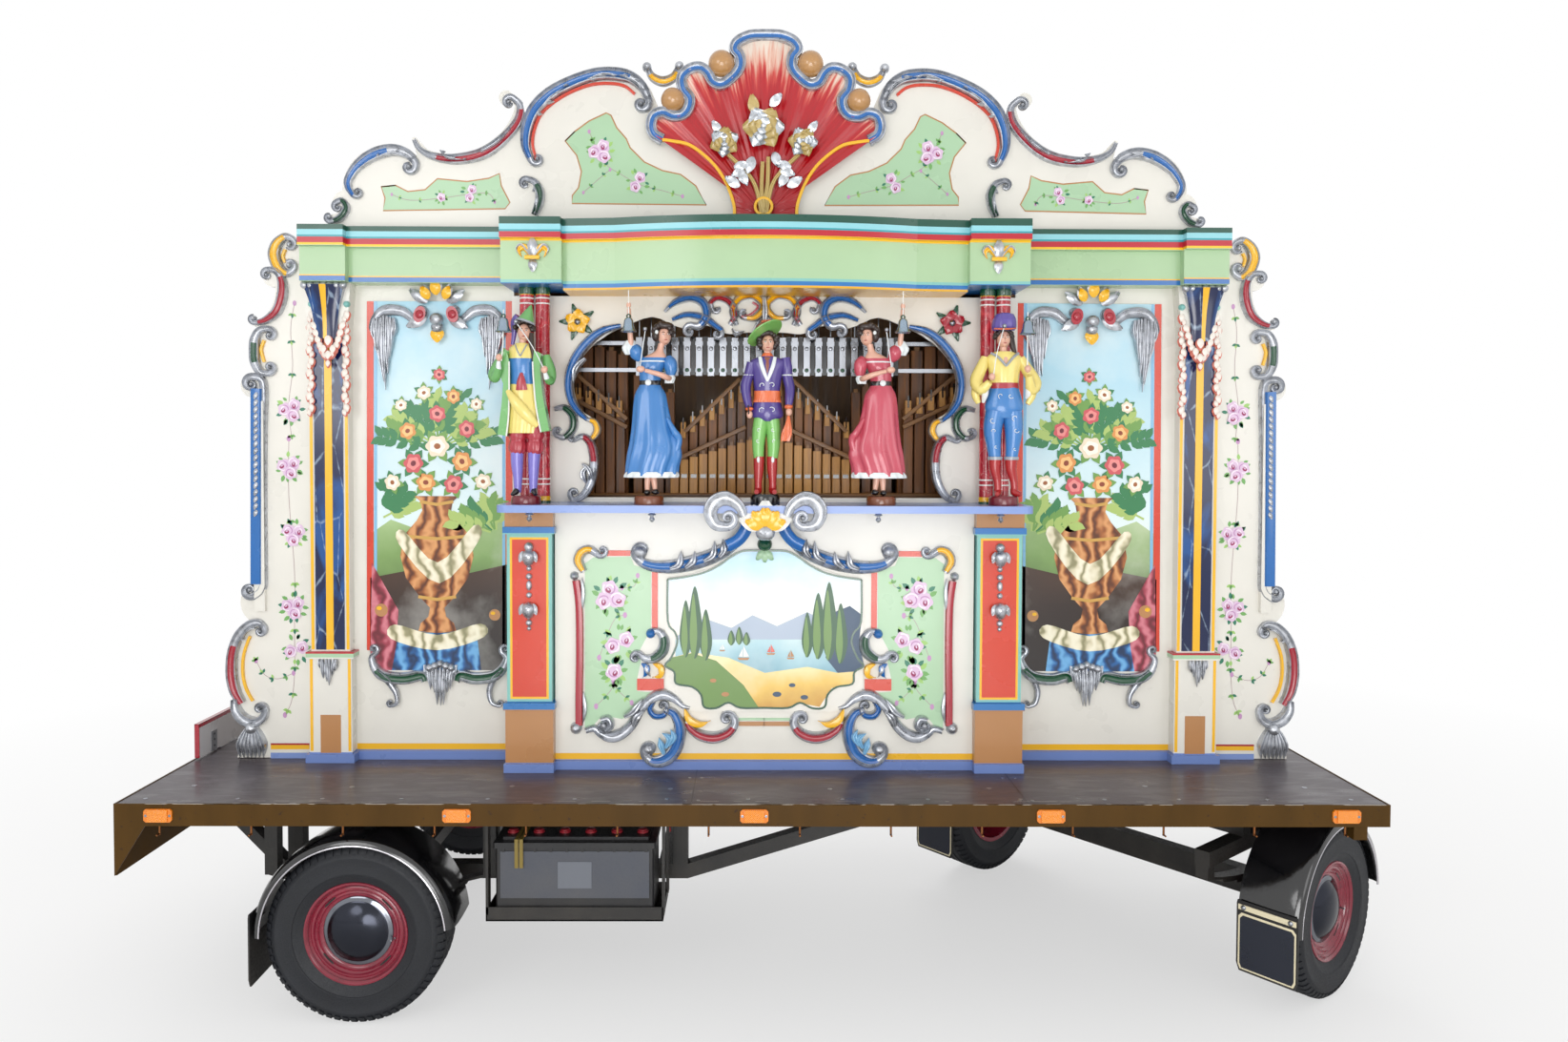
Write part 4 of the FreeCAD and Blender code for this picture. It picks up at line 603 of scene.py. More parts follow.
def lobe(piece, line, wide, depth, rise, finish):
    """One carved leaf lobe: narrow foot, full middle, pointed tip; wide is in metres."""
    widths = [wide * (0.45 + 0.55 * math.sin(min(t * 2.2, 1.57))) * min(1.0, (1.02 - t) * 2.2)
              for t in lengths_along(line)]
    ribbon(piece, line, widths, depth, rise, LEAF_CUT, finish)


def lobe_at(piece, pixels, wide, face, lift, rise, finish, steps=5):
    """A leaf lobe along pixels of the photograph, lifted off a face; sizes in mm."""
    line = smooth_line(flat(pixels, face), steps)
    lobe(piece, line, wide / 1000, face - lift, rise, finish)


def frond(piece, pixels, count, reach, wide, depth, rise, side, spread):
    """An acanthus leaf: lobes that spring from a curved spine to one side, the last at its tip."""
    spine = smooth_line(flat(pixels, depth), 8)
    dirs = tangents(spine)
    for i in range(count):
        t = i / max(1, count - 1)
        k = int(t * (len(spine) - 1))
        x, z = spine[k]
        tx, tz = dirs[k]
        size = reach / 1000 * (1.0 - 0.45 * abs(2 * t - 0.8))
        line = []
        for s in range(7):
            u = s / 6
            turn = side * spread * (0.25 + 0.9 * u) * (1.0 - 0.5 * t)
            c, n = math.cos(turn), math.sin(turn)
            line.append((x + (tx * c - tz * n) * size * u, z + (tx * n + tz * c) * size * u))
        lobe(piece, line, wide / 1000 * (1 - 0.35 * t), depth - 2 * i * 0.4, rise, SILVER)
    lobe(piece, spine, wide / 1000, depth, rise * 1.1, SILVER)


def stroke(piece, pixels, width, depth, finish, steps=6):
    """A painted line through pixels of the photograph."""
    paint_line(piece, smooth_line(flat(pixels, depth), steps), width, depth, finish)


def paint_line(piece, line, width, depth, finish, taper=False):
    """A painted line of that width (mm); it may thin towards its end."""
    left, right = [], []
    last = len(line) - 1
    for i, ((x, z), (tx, tz)) in enumerate(zip(line, tangents(line))):
        half = width / 2000 * (1.0 - 0.8 * i / last if taper else 1.0)
        left.append(Vector((x - tz * half, deep(depth), z + tx * half)))
        right.append(Vector((x + tz * half, deep(depth), z - tx * half)))
    piece.rows([left, right], finish)


def disc(piece, x, z, rx, rz, depth, finish, turn=0.0, lobes=0, wave=0.0, around=20):
    """A painted round or lobed spot; sizes in metres."""
    ring = []
    c, s = math.cos(turn), math.sin(turn)
    for a in angles(around):
        r = 1.0 + wave * math.cos(lobes * a)
        u, v = rx * r * math.cos(a), rz * r * math.sin(a)
        ring.append((x + u * c - v * s, z + u * s + v * c))
    piece.shape(ring, depth, finish)


def lathe(piece, profile, centre, axis, finish, around, ends=True):
    """Turns (radius, along) pairs in mm about an axis through centre (metres)."""
    axis = Vector(axis).normalized()
    side = axis.orthogonal().normalized()
    other = axis.cross(side)
    rows = [[Vector(centre) + axis * h / 1000
             + (side * math.cos(a) + other * math.sin(a)) * r / 1000 for a in angles(around)]
            for r, h in profile]
    piece.rows(rows, finish, ring=True, ends=ends)


def boxy(piece, low, high, finish, b=0.0):
    """A block between two corners (metres); b is the bevel of its upright edges."""
    x0, y0, z0 = low
    x1, y1, z1 = high
    ring = [(x0 + b, y0), (x1 - b, y0), (x1, y0 + b), (x1, y1 - b), (x1 - b, y1), (x0 + b, y1),
            (x0, y1 - b), (x0, y0 + b)]
    rows = [[Vector((x, y, z)) for x, y in ring] for z in (z0, z1)]
    piece.rows(rows, finish, ring=True)


SENSOR_MM = 36.0
# The sky lights at this strength; camera and gloss see it plain white.
WORLD_LIGHT = 0.7
FLOOR_HALF = 30.0
# Own glow of the floor's middle; from FLOOR_FADE[0] to [1] metres out it rises to plain white.
FLOOR_GLOW = 0.55
FLOOR_FADE = (2.2, 7.0)
LAMP_AIM = Vector((FRONT_X, 0.0, 1.9))
# name, place (m), width (m), power (W)
LAMPS = (
    ("key_lamp", (-3.8, -6.4, 3.6), 3.0, 70.0),
    ("fill_lamp", (4.6, -6.2, 3.0), 3.5, 50.0),
    ("front_lamp", (-0.3, -7.4, 0.9), 4.0, 220.0),
    ("back_lamp", (0.5, 6.0, 5.0), 4.0, 110.0),
)


def set_stage():
    """Camera of the photograph, soft lamps, pale floor."""
    scene = bpy.context.scene
    cam = bpy.data.objects.new("camera", bpy.data.cameras.new("camera"))
    scene.collection.objects.link(cam)
    cam.data.sensor_fit = "HORIZONTAL"
    cam.data.sensor_width = SENSOR_MM
    cam.data.lens = SENSOR_MM * FOCAL / PHOTO_W
    cam.data.shift_x = (PHOTO_W / 2 - LOOK_X) / PHOTO_W
    cam.data.shift_y = (LOOK_Y - PHOTO_H / 2) / PHOTO_W
    cam.matrix_world = Matrix.Translation(CAM_PLACE) @ CAM_TURN.to_4x4()
    scene.camera = cam
    scene.view_settings.view_transform = "Standard"

    world = bpy.data.worlds.new("studio")
    scene.world = world
    world.use_nodes = True
    tree = world.node_tree
    ground = tree.nodes["Background"]
    ground.inputs["Color"].default_value = (1.0, 1.0, 1.0, 1.0)
    ground.inputs["Strength"].default_value = WORLD_LIGHT
    seen = tree.nodes.new("ShaderNodeBackground")
    seen.inputs["Color"].default_value = (1.0, 1.0, 1.0, 1.0)
    seen.inputs["Strength"].default_value = 1.0
    rays = tree.nodes.new("ShaderNodeLightPath")
    both = tree.nodes.new("ShaderNodeMath")
    both.operation = "MAXIMUM"
    tree.links.new(rays.outputs["Is Camera Ray"], both.inputs[0])
    tree.links.new(rays.outputs["Is Glossy Ray"], both.inputs[1])
    pick = tree.nodes.new("ShaderNodeMixShader")
    tree.links.new(both.outputs[0], pick.inputs[0])
    tree.links.new(ground.outputs[0], pick.inputs[1])
    tree.links.new(seen.outputs[0], pick.inputs[2])
    tree.links.new(pick.outputs[0], tree.nodes["World Output"].inputs["Surface"])

    for name, place, size, power in LAMPS:
        light = bpy.data.lights.new(name, "AREA")
        light.shape = "DISK"
        light.size = size
        light.energy = power
        lamp = bpy.data.objects.new(name, light)
        scene.collection.objects.link(lamp)
        lamp.location = place
        lamp.rotation_euler = (LAMP_AIM - Vector(place)).to_track_quat("-Z", "Y").to_euler()

    f = Finish("floor_paint", 0.75)
    f.colour(f.mix(f.noise(0.7, 3.0), rgb("f4f4f3"), rgb("fbfbfa")))
    glow = f.add("Emission", {"Color": (1.0, 1.0, 1.0, 1.0), "Strength": 1.0}).outputs[0]
    far = f.add("VectorMath", {0: f.place}, operation="LENGTH").outputs["Value"]
    fade = f.spread(far, *FLOOR_FADE, FLOOR_GLOW, 1.0)
    seen = f.add("LightPath").outputs["Is Camera Ray"]
    share = f.math("MULTIPLY", fade, seen)
    blended = f.add("MixShader", {0: share, 1: f.shader.outputs[0], 2: glow}).outputs[0]
    f.links.new(blended, f.nodes["Material Output"].inputs["Surface"])
    mesh = bpy.data.meshes.new("floor")
    ring = corners(-FLOOR_HALF, -FLOOR_HALF, FLOOR_HALF, FLOOR_HALF)
    mesh.from_pydata([(x, y, 0) for x, y in ring], [], [(0, 1, 2, 3)])
    mesh.materials.append(f.mat)
    floor = bpy.data.objects.new("floor", mesh)
    scene.collection.objects.link(floor)


def dress(finish, *nodes):
    """Gives kept CAD nodes their finish."""
    for node in nodes:
        slots = NODES[node].data.materials
        slots.clear()
        slots.append(finish)


def dress_nodes():
    """Finishes of every CAD node that is kept."""
    dress(CREAM, "wing_left", "wing_right", "upper_panel", "crest_boards", "pictures")
    dress(CHASSIS, "chassis_frame", "rear_axle", "bogie_frame", "front_axle", "drawbar")
    dress(deck_ply("deck_film"), "deck_boards")
    dress(olive_rim("olive_paint"), "deck_rim")
    dress(metal("hook_copper", "8a5a36", 0.4), "rope_hooks")
    dress(CASE_WOOD, "case_frame")
    dress(timber("case_side", "6b4a2c", "9a7246", 2, 7.0), "case_walls")
    for side in ("left", "right"):
        dress(timber("door_wood_" + side, "5f4024", "8e683c", 2, 8.0), "back_door_" + side)
    dress(FRIEZE, "entablature")
    dress(LILAC, "stage_shelf")
    dress(timber("chest_wood", "4a2f1a", "7a542e", 0, 9.0), "wind_chest")
    dress(STEEL, "metallophone")
    dress(leather("bellows_leather"), "bellows")
    dress(timber("keyframe_wood", "7a5230", "b07d48", 0, 9.0), "keyframe")
    dress(IRON, "feed_roller")
    dress(paper_book("book_card"), "music_book")
    dress(enamel("flywheel_red", "8f1a22", 0.25, 0.5), "flywheel")
    dress(timber("grip_wood", "6a3e1c", "a8713c", 1, 16.0, 0.3, 0.5), "crank_handle")
    # Level bands of paint: node, name of the finish, low end, (start in mm, colour).
    for node, name, low, bands in (
            ("end_board", "end_board_paint", 800.0,
             [(800, "cfcfd2"), (968, "b3202a"), (1010, "b3202a")]),
            ("plinth", "plinth_bands", 820.0,
             [(820, "6f88c4"), (869, "e2dfd6"), (890, "e2dfd6")]),
            ("front_panels", "panel_foot", 820.0,
             [(820, "6f88c4"), (869, "f0b61a"), (891, "b8192b"), (896, "e2dfd6"),
              (3000, "e2dfd6")]),
            ("outer_pilasters", "pilaster_bands", 820.0,
             [(820, "6f88c4"), (869, "e2dfd6"), (1263, "a9cba6"), (1284, "b8192b"),
              (1292, "e2dfd6"), (2802, "e2dfd6")]),
            ("centre_pedestals", "pedestal_bands", 820.0,
             [(820, "6f88c4"), (869, "b47f4d"), (1083, "2271b3"), (1112, "7fbdb6"),
              (1790, "2271b3"), (1818, "b47f4d"), (1884, "b47f4d")])):
        dress(banded(name, low, bands), node)


# A petal's rows of points from foot to rim, and the points across each.
PETAL_ROWS, PETAL_ACROSS = 6, 7


def petal(piece, x, z, long, wide, angle, depth, rise, finish, cup=0.5):
    """A carved petal or leaf: full middle, turned-up rim, foot at (x, z), sizes in mm."""
    ca, sa = math.cos(angle), math.sin(angle)
    rows = []
    for i in range(PETAL_ROWS + 1):
        u = i / PETAL_ROWS
        half = wide / 2 * math.sin(math.pi * min(0.97, 0.08 + 0.86 * u ** 0.85))
        row = []
        for j in range(PETAL_ACROSS):
            v = j / 3 - 1
            h = rise * (0.25 + cup * (v * v) * u + 0.6 * math.sin(u * math.pi) * (1 - v * v))
            a, b = long * u, half * v
            row.append(Vector((x + (a * ca - b * sa) / 1000, deep(depth - h),
                               z + (a * sa + b * ca) / 1000)))
        rows.append(row)
    piece.rows(rows, finish)


def flower(piece, x, y, size, depth, outer, heart):
    """A carved open flower on its leaves, at a pixel of the photograph."""
    place = pin(x, y, depth)
    for a in angles(5):
        petal(piece, *place, size * 1.5, size * 0.55, a + 0.6, depth, 10, GREEN)
    for a in angles(5):
        petal(piece, *place, size, size * 0.95, a + 0.2, depth - 8, 16, outer, cup=0.9)
    dome(piece, *place, size / 1000 * 0.28, depth - 14, 14, heart)


def carved_rose(piece, x, y, size, depth, finishes, lean=0.0):
    """A full rose in three whorls, largest behind."""
    place = pin(x, y, depth)
    for ring, (count, reach, near) in enumerate(((6, 1.0, 0.0), (5, 0.72, 12.0), (4, 0.45, 24.0))):
        for k, a in enumerate(angles(count)):
            petal(piece, *place, size * reach, size * reach * 1.05, a + ring * 0.6 + lean,
                  depth - near, 20, finishes[(k + ring) % len(finishes)], 1.0)
    dome(piece, *place, size / 1000 * 0.16, depth - 34, 14, finishes[0])


def painted(name, code):
    return enamel("painted_" + name, code, 0.35, 0.2)


PETAL_PINK = painted("petal", "dcbfd9")
PETAL_LIGHT = painted("petal_light", "f1e4ef")
PETAL_DEEP = painted("petal_deep", "c08fbb")
ROSE_HEART = painted("rose_heart", "97235a")
LEAF_MID = painted("leaf_mid", "6fa85c")
LEAF_DARK = painted("leaf_dark", "2c7a5e")
LEAF_LIGHT = painted("leaf_light", "9cc86e")
STEM = painted("stem", "a98d92")
# Each coat of paint lies this far before the last, in mm.
PAINT = 0.5
LEAF_OUTLINE = ((0, 0), (0.3, 0.26), (0.65, 0.24), (1, 0), (0.65, -0.24), (0.3, -0.26))


def painted_leaf(piece, x, z, long, angle, depth, finish):
    """A brushed leaf: two strokes to a point; sizes in metres."""
    ca, sa = math.cos(angle), math.sin(angle)
    piece.shape([(x + long * (u * ca - v * sa), z + long * (u * sa + v * ca))
                 for u, v in LEAF_OUTLINE], depth, finish)


def painted_rose(piece, x, z, r, depth, lean):
    """A cabbage rose in brush strokes: pale lobes, shaded folds, dark heart low on one side."""
    disc(piece, x, z, r, r * 0.94, depth, PETAL_PINK, lean, 5, 0.09, 30)
    for k, (finish, reach) in enumerate(((PETAL_LIGHT, 0.78), (PETAL_DEEP, 0.6),
                                         (PETAL_LIGHT, 0.46))):
        arc = [(x + r * reach * math.cos(a), z + r * reach * math.sin(a))
               for a in (lean + k * 2.0 + i / 8 * 2.4 for i in range(9))]
        paint_line(piece, arc, r * 170, depth - PAINT * (k + 1) * 0.5, finish)
    hx, hz = x + r * 0.22 * math.cos(lean), z - r * 0.2
    disc(piece, hx, hz, r * 0.36, r * 0.28, depth - PAINT * 2.5, ROSE_HEART, lean)
    disc(piece, hx, hz + r * 0.12, r * 0.2, r * 0.1, depth - PAINT * 3, PETAL_PINK, lean)


def spray(piece, x, y, size, depth, roses, leaves, seed):
    """A cluster of painted roses with leaves all round, at a pixel; size in mm."""
    pick = random.Random(seed)
    cx, cz = pin(x, y, depth)
    r = size / 1000
    for k in range(leaves):
        a = k * 2 * math.pi / leaves + pick.uniform(-0.3, 0.3)
        far = r * (0.9 if roses == 1 else 1.55)
        lx, lz = cx + far * math.cos(a) * 0.85, cz + far * math.sin(a)
        finish = pick.choice((LEAF_MID, LEAF_MID, LEAF_DARK, LEAF_LIGHT))
        painted_leaf(piece, lx, lz, r * pick.uniform(0.8, 1.15), a + pick.uniform(-0.5, 0.5),
                     depth - PAINT, finish)
    turn = pick.uniform(0, 2)
    for k in range(roses):
        a = turn + k * 2 * math.pi / max(roses, 1)
        off = 0.0 if roses == 1 else r * 0.92
        painted_rose(piece, cx + off * math.cos(a), cz + off * math.sin(a), r,
                     depth - PAINT * 2 - PAINT * 4 * k, a + 0.8)


def trail(piece, pixels, depth, leaf, seed, buds=2):
    """A thin painted stem with leaf triplets and buds."""
    pick = random.Random(seed)
    line = smooth_line(flat(pixels, depth), 6)
    paint_line(piece, line, 2.2, depth - PAINT * 0.5, STEM)
    dirs = tangents(line)
    for i in range(3, len(line), 5):
        x, z = line[i]
        base = math.atan2(dirs[i][1], dirs[i][0])
        for turn in (-1.0, 0.1, 1.1):
            finish = pick.choice((LEAF_MID, LEAF_DARK, LEAF_LIGHT))
            painted_leaf(piece, x, z, leaf / 1000, base + turn, depth - PAINT, finish)
    for end in (0, -1)[:buds]:
        x, z = line[end]
        disc(piece, x, z, leaf / 2600, leaf / 1800, depth - PAINT, PETAL_DEEP)


def fleur(piece, x, y, size, depth):
    """A carved lily on a frieze block; size is its half height in mm."""
    cx, cz = pin(x, y, depth)
    petal(piece, cx, cz - size * 0.0002, size, size * 0.62, math.pi / 2, depth - 4, 16, SILVER, 0.2)
    for side in (-1, 1):
        line = [(cx, cz - size * 0.0003), (cx + side * size * 0.00045, cz + size * 0.0003),
                (cx + side * size * 0.00075, cz + size * 0.0001),
                (cx + side * size * 0.0006, cz - size * 0.00025)]
        lobe(piece, smooth_line(line, 5), size * 0.0004, depth, 14, YELLOW)
        lobe(piece, smooth_line([(p[0] + side * size * 0.00012,
                                  p[1] + size * 0.0001) for p in line], 5),
             size * 0.00016, depth - 2, 16, SILVER)
    petal(piece, cx, cz - size * 0.0003, size * 0.75, size * 0.5, -math.pi / 2, depth, 14,
          SILVER, 0.2)
    band = [(cx - size * 0.0004, cz - size * 0.00028), (cx + size * 0.0004, cz - size * 0.00028)]
    ribbon(piece, band, [size * 0.00022] * 2, depth - 8, 14, BAR_CUT, YELLOW)


# Depth of the crest's face.
CREST = -400.0
# Half the shell's outline, then the swept line down to its foot.
SHELL_HALF = (
    (800.5, 37), (787, 37.8), (774.5, 43.5), (770.6, 51.4), (775.7, 58.6), (776.7, 68.8),
    (770.6, 79), (758.4, 88.2), (748.2, 86.1), (742, 75.9), (733.9, 70.8), (723.7, 72.9),
    (715.5, 81), (716.5, 93.3), (723.7, 103.5), (721.6, 114.7), (715.5, 120.8), (705.3, 121.8),
    (695.1, 117.8), (685.9, 121.8), (683, 132), (686, 141), (695, 146.7),
)
SHELL_FOOT = ((695, 146.7), (707.3, 148.4), (721.6, 151.4), (736, 160.6), (751, 175),
              (762.4, 193.3), (769.6, 213.7), (770.5, 226))


# The pixel from which the flutes spread, and how many there are in a radian.
SHELL_EYE = (801, 226)
FLUTES = 26


def shell_paint():
    """Red heart that fades outward to cream in fine strokes."""
    f = Finish("shell_paint", 0.28, coat=0.5)
    cx, cz = pin(*SHELL_EYE, CREST)
    dx = f.math("SUBTRACT", f.axis(0), cx)
    dz = f.math("SUBTRACT", f.axis(2), cz)
    far = f.math("SQRT", f.math("ADD", f.math("MULTIPLY", dx, dx), f.math("MULTIPLY", dz, dz)))
    angle = f.math("ARCTAN2", dz, dx)
    rays = f.add("CombineXYZ", {0: f.math("MULTIPLY", angle, FLUTES),
                                1: f.math("MULTIPLY", far, 3.0)})
    fine = f.add("TexNoise", {"Vector": rays.outputs[0], "Scale": 1.6,
                              "Detail": 5.0}).outputs["Fac"]
    shifted = f.math("ADD", far, f.spread(fine, 0.3, 0.7, -0.09, 0.09))
    share = f.spread(shifted, 0.3, 0.72)
    f.colour(f.ramp(share, [(0.0, "a8000f"), (0.5, "b20a1a"), (0.62, "c8443a"), (0.76, "dfae9a"),
                            (0.9, "e6d5c6")]))
    return f.bump(f.stripes(angle, 120.0), 0.002, 0.4).mat


def crest_shell():
    """Fluted shell with its outlined rim, bouquet and turned balls."""
    piece = Piece("crest_shell", slot="carving_silver")
    face = CREST - 34.0
    paint = shell_paint()
    rim = smooth_line(flat(SHELL_HALF, face), 4)
    foot = smooth_line(flat(SHELL_FOOT, face), 4)
    half = rim + foot
    ring = [(2 * FRONT_X - x, z) for x, z in reversed(half)] + half[1:]
    fx, fz = FRONT_X, pin(*SHELL_EYE, face)[1]
    rows = []
    for k in range(13):
        u = k / 12
        row = []
        for x, z in ring:
            px, pz = fx + (x - fx) * u, fz + (z - fz) * u
            angle = math.atan2(z - fz, x - fx)
            far = math.hypot(px - fx, pz - fz)
            flute = 7.0 * math.cos(angle * FLUTES) * min(1.0, far / 0.35)
            row.append(Vector((px, deep(face + 6.0 + flute - 10.0 * math.sin(u * 3.0)), pz)))
        rows.append(row)
    rows.append([Vector((x, deep(CREST - 1.0), z)) for x, z in ring])
    piece.rows(rows, lambda r, c: SILVER if r == 12 else paint)
    trim = Piece("crest_shell_rim", slot="carving_silver")
    across = [(FRONT_X, rim[0][1])] + rim[1:]
    ribbon(trim, across, [0.046] * len(across), face + 8, 24, SCROLL_CUT,
           lambda t, s: BLUE if abs(s) < 0.3 else SILVER)
    ribbon(trim, foot, [0.014] * len(foot), face + 6, 12, BAR_CUT, YELLOW)
    trim.build(mirror=True)
    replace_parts(piece.build(), "crest_carvings")

    balls = Piece("crest_balls", slot="carving_silver")
    for x, y, r in ((757, 67, 54.0), (706, 105, 49.0)):
        profile = [(r * math.sin(a * math.pi / 16) + 0.01, -r * math.cos(a * math.pi / 16))
                   for a in range(17)]
        lathe(balls, profile, at(x, y, CREST - 30.0), (0, -1, 0), TAN_BALL, 28)
    balls.build(mirror=True)
    bouquet(face - 12.0)


def bouquet(front):
    """Three carved roses with stems, leaves and a ring, before the shell."""
    posy = Piece("crest_bouquet", slot="carving_silver")
    pale = leafed("posy_silver", "d3d8de", 0.26)
    warm = enamel("posy_gold", "c2aa6a", 0.25, 0.6)
    petals = [pale, warm]
    carved_rose(posy, 801, 135, 84, front - 8, petals)
    for x, y, lean in ((760, 150, 0.4), (842, 150, 2.0)):
        carved_rose(posy, x, y, 60, front, petals, lean)
    for stem in (((801, 224), (799, 200), (800, 170)), ((799, 224), (790, 190), (764, 162)),
                 ((804, 224), (812, 190), (838, 162)), ((800, 222), (805, 195), (806, 165))):
        bead(posy, stem, 8, 18, front, 12, warm, LEAF_CUT)
    for x, y, a, long in ((776, 196, 2.6, 62), (783, 178, 3.6, 60), (770, 176, 0.2, 56),
                          (792, 120, 1.75, 70), (808, 112, 0.8, 60), (826, 196, 0.5, 62),
                          (818, 178, -0.4, 60), (830, 176, 2.9, 56), (790, 165, 4.4, 66),
                          (812, 160, 5.0, 60), (756, 140, 2.2, 52), (848, 140, 0.9, 52),
                          (776, 180, 5.2, 60), (826, 182, 4.2, 60)):
        petal(posy, *pin(x, y, front), long * 1.1, long * 0.66, a, front - 4, 16,
              pale if long < 68 else warm, 0.8)
    cx, cz = pin(801, 217, front)
    ring = [(cx + 0.034 * math.cos(a / 12 * math.pi), cz + 0.034 * math.sin(a / 12 * math.pi))
            for a in range(25)]
    ribbon(posy, ring, [0.012] * 25, front, 12, BAR_CUT, YELLOW)
    posy.build()


# A scroll: pixels, widths in mm, rise, paint, painted share, start volute, end volute.
CREST_SCROLLS = (
    (((558, 170), (552, 154), (553.6, 134), (562, 115), (578, 99.5), (599, 88), (622, 80),
      (642, 78.5), (661, 82), (674, 92),
      (681, 106)), (26, 38, 46, 50, 50, 48, 46, 48, 50, 44, 34), 34, BLUE,
     (0.02, 0.84), (1.0, -1), (1.0, -1)),
    (((680, 73), (685, 82), (696, 86.5), (707, 82), (712.5, 71.5)), (26, 34, 38, 34, 26), 28,
     YELLOW, (0.12, 0.88), None, None),
    (((553, 188), (562, 192), (567, 202), (566, 214), (561, 226)), (22, 30, 38, 36, 26), 28,
     GREEN, (0.25, 1.0), (0.9, -1), None),
    (((353, 213), (360, 211), (364.5, 219), (358, 229), (348, 233)), (20, 24, 30, 28, 20), 24,
     GREEN, (0.1, 0.9), (0.8, -1), (0.6, -1)),
    (((371, 205), (366.5, 197), (367, 188), (377, 174), (394, 162.6), (413, 158), (428, 162),
      (436, 170)),
     (22, 30, 36, 44, 48, 46, 42, 32), 30, BLUE, (0.0, 0.66), (0.9, -1), (0.9, -1)),
    (((435, 147), (441, 157), (455, 164.6), (478, 167.6), (505, 162.6), (526, 149.3), (543, 130),
      (547, 113), (539, 103.5)), (16, 26, 36, 42, 44, 42, 38, 34, 26), 30, RED, (0.18, 0.9), None,
     (0.9, 1)),
)


def scrolls(piece, table, depth, place=list):
    """Carves a table of scrolls; place turns their coordinates into pixels of the photograph."""
    for pixels, widths, *rest in table:
        scroll(piece, place(pixels), widths, depth, *rest)


CARTOUCHE_MID = ((593, 148), (603, 138), (618, 127), (636, 118.5), (641, 121), (647, 134),
                 (657, 145.5), (661, 155), (676, 170), (695, 179), (714, 183), (730, 195),
                 (741, 215), (600, 213.5), (600.5, 205), (607, 197), (610, 180), (605, 163))
CARTOUCHE_SIDE = ((400, 196), (415, 194.5), (428, 201), (446, 199), (459, 187.5), (490, 190.5),
                  (513, 187), (524, 182), (526, 195), (535, 212.5), (530, 219), (402, 221),
                  (404, 208))


def cartouche(piece, pixels, depth):
    """A green painted field with a brown outline."""
    ring = flat(pixels, depth)
    piece.shape(ring, depth - PAINT, LEAF_GREEN)
    paint_line(piece, ring + ring[:2], 5.5, depth - PAINT * 2, BROWN)


def crest():
    """Everything carved and painted on the crest boards."""
    crest_shell()
    piece = Piece("crest_scrolls", slot="carving_silver")
    scrolls(piece, CREST_SCROLLS, CREST)
    for x, y in ((679, 71), (713, 70)):
        dome(piece, *pin(x, y, CREST), 0.02, CREST, 32, SILVER)
    for spine, side in ((((562, 122), (578, 104), (592, 92)), -1),
                        (((617, 84), (634, 79), (650, 80)), -1),
                        (((652, 80), (668, 88), (676, 100)), 1)):
        frond(piece, spine, 4, 46, 15, CREST - 12, 20, side, 0.5)
    for spine, side in ((((395, 166), (412, 161), (430, 166)), 1),
                        (((505, 160), (522, 150), (534, 138)), 1),
                        (((561, 196), (564, 208), (562, 222)), -1),
                        (((462, 158), (470, 166), (486, 168)), 1)):
        frond(piece, spine, 3, 36, 13, CREST - 10, 16, side, 0.6)
    bead(piece, ((563, 168), (559, 152), (561, 136), (568, 120), (582, 107), (601, 96), (622, 89),
                 (642, 88), (656, 91), (666, 99)), 6, 12, CREST, 10, ORANGE_RED)
    piece.build(mirror=True)

    art = Piece("crest_painting", slot="cream_paint")
    cartouche(art, CARTOUCHE_MID, CREST)
    cartouche(art, CARTOUCHE_SIDE, CREST)
    face = CREST - 1
    trail(art, ((716, 206), (695, 200), (672, 194), (650, 182), (634, 170), (618, 138)),
          face, 16, 3)
    trail(art, ((612, 202), (628, 188), (640, 178)), face, 14, 4)
    for x, y, size, roses, leaves, seed in ((630, 159, 27, 3, 9, 11), (669, 191, 23, 2, 8, 12),
                                            (494, 203, 19, 2, 8, 13), (463, 207, 18, 1, 7, 14)):
        if seed == 13:
            trail(art, ((411, 204), (430, 210), (462, 208), (490, 204), (512, 203), (519, 212)),
                  face, 13, 5)
        spray(art, x, y, size, face, roses, leaves, seed)
    art.build(mirror=True)
    lily = Piece("frieze_lilies", slot="carving_silver")
    fleur(lily, 559, 265, 72, -601.0)
    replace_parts(lily.build(mirror=True), "facade_carvings")


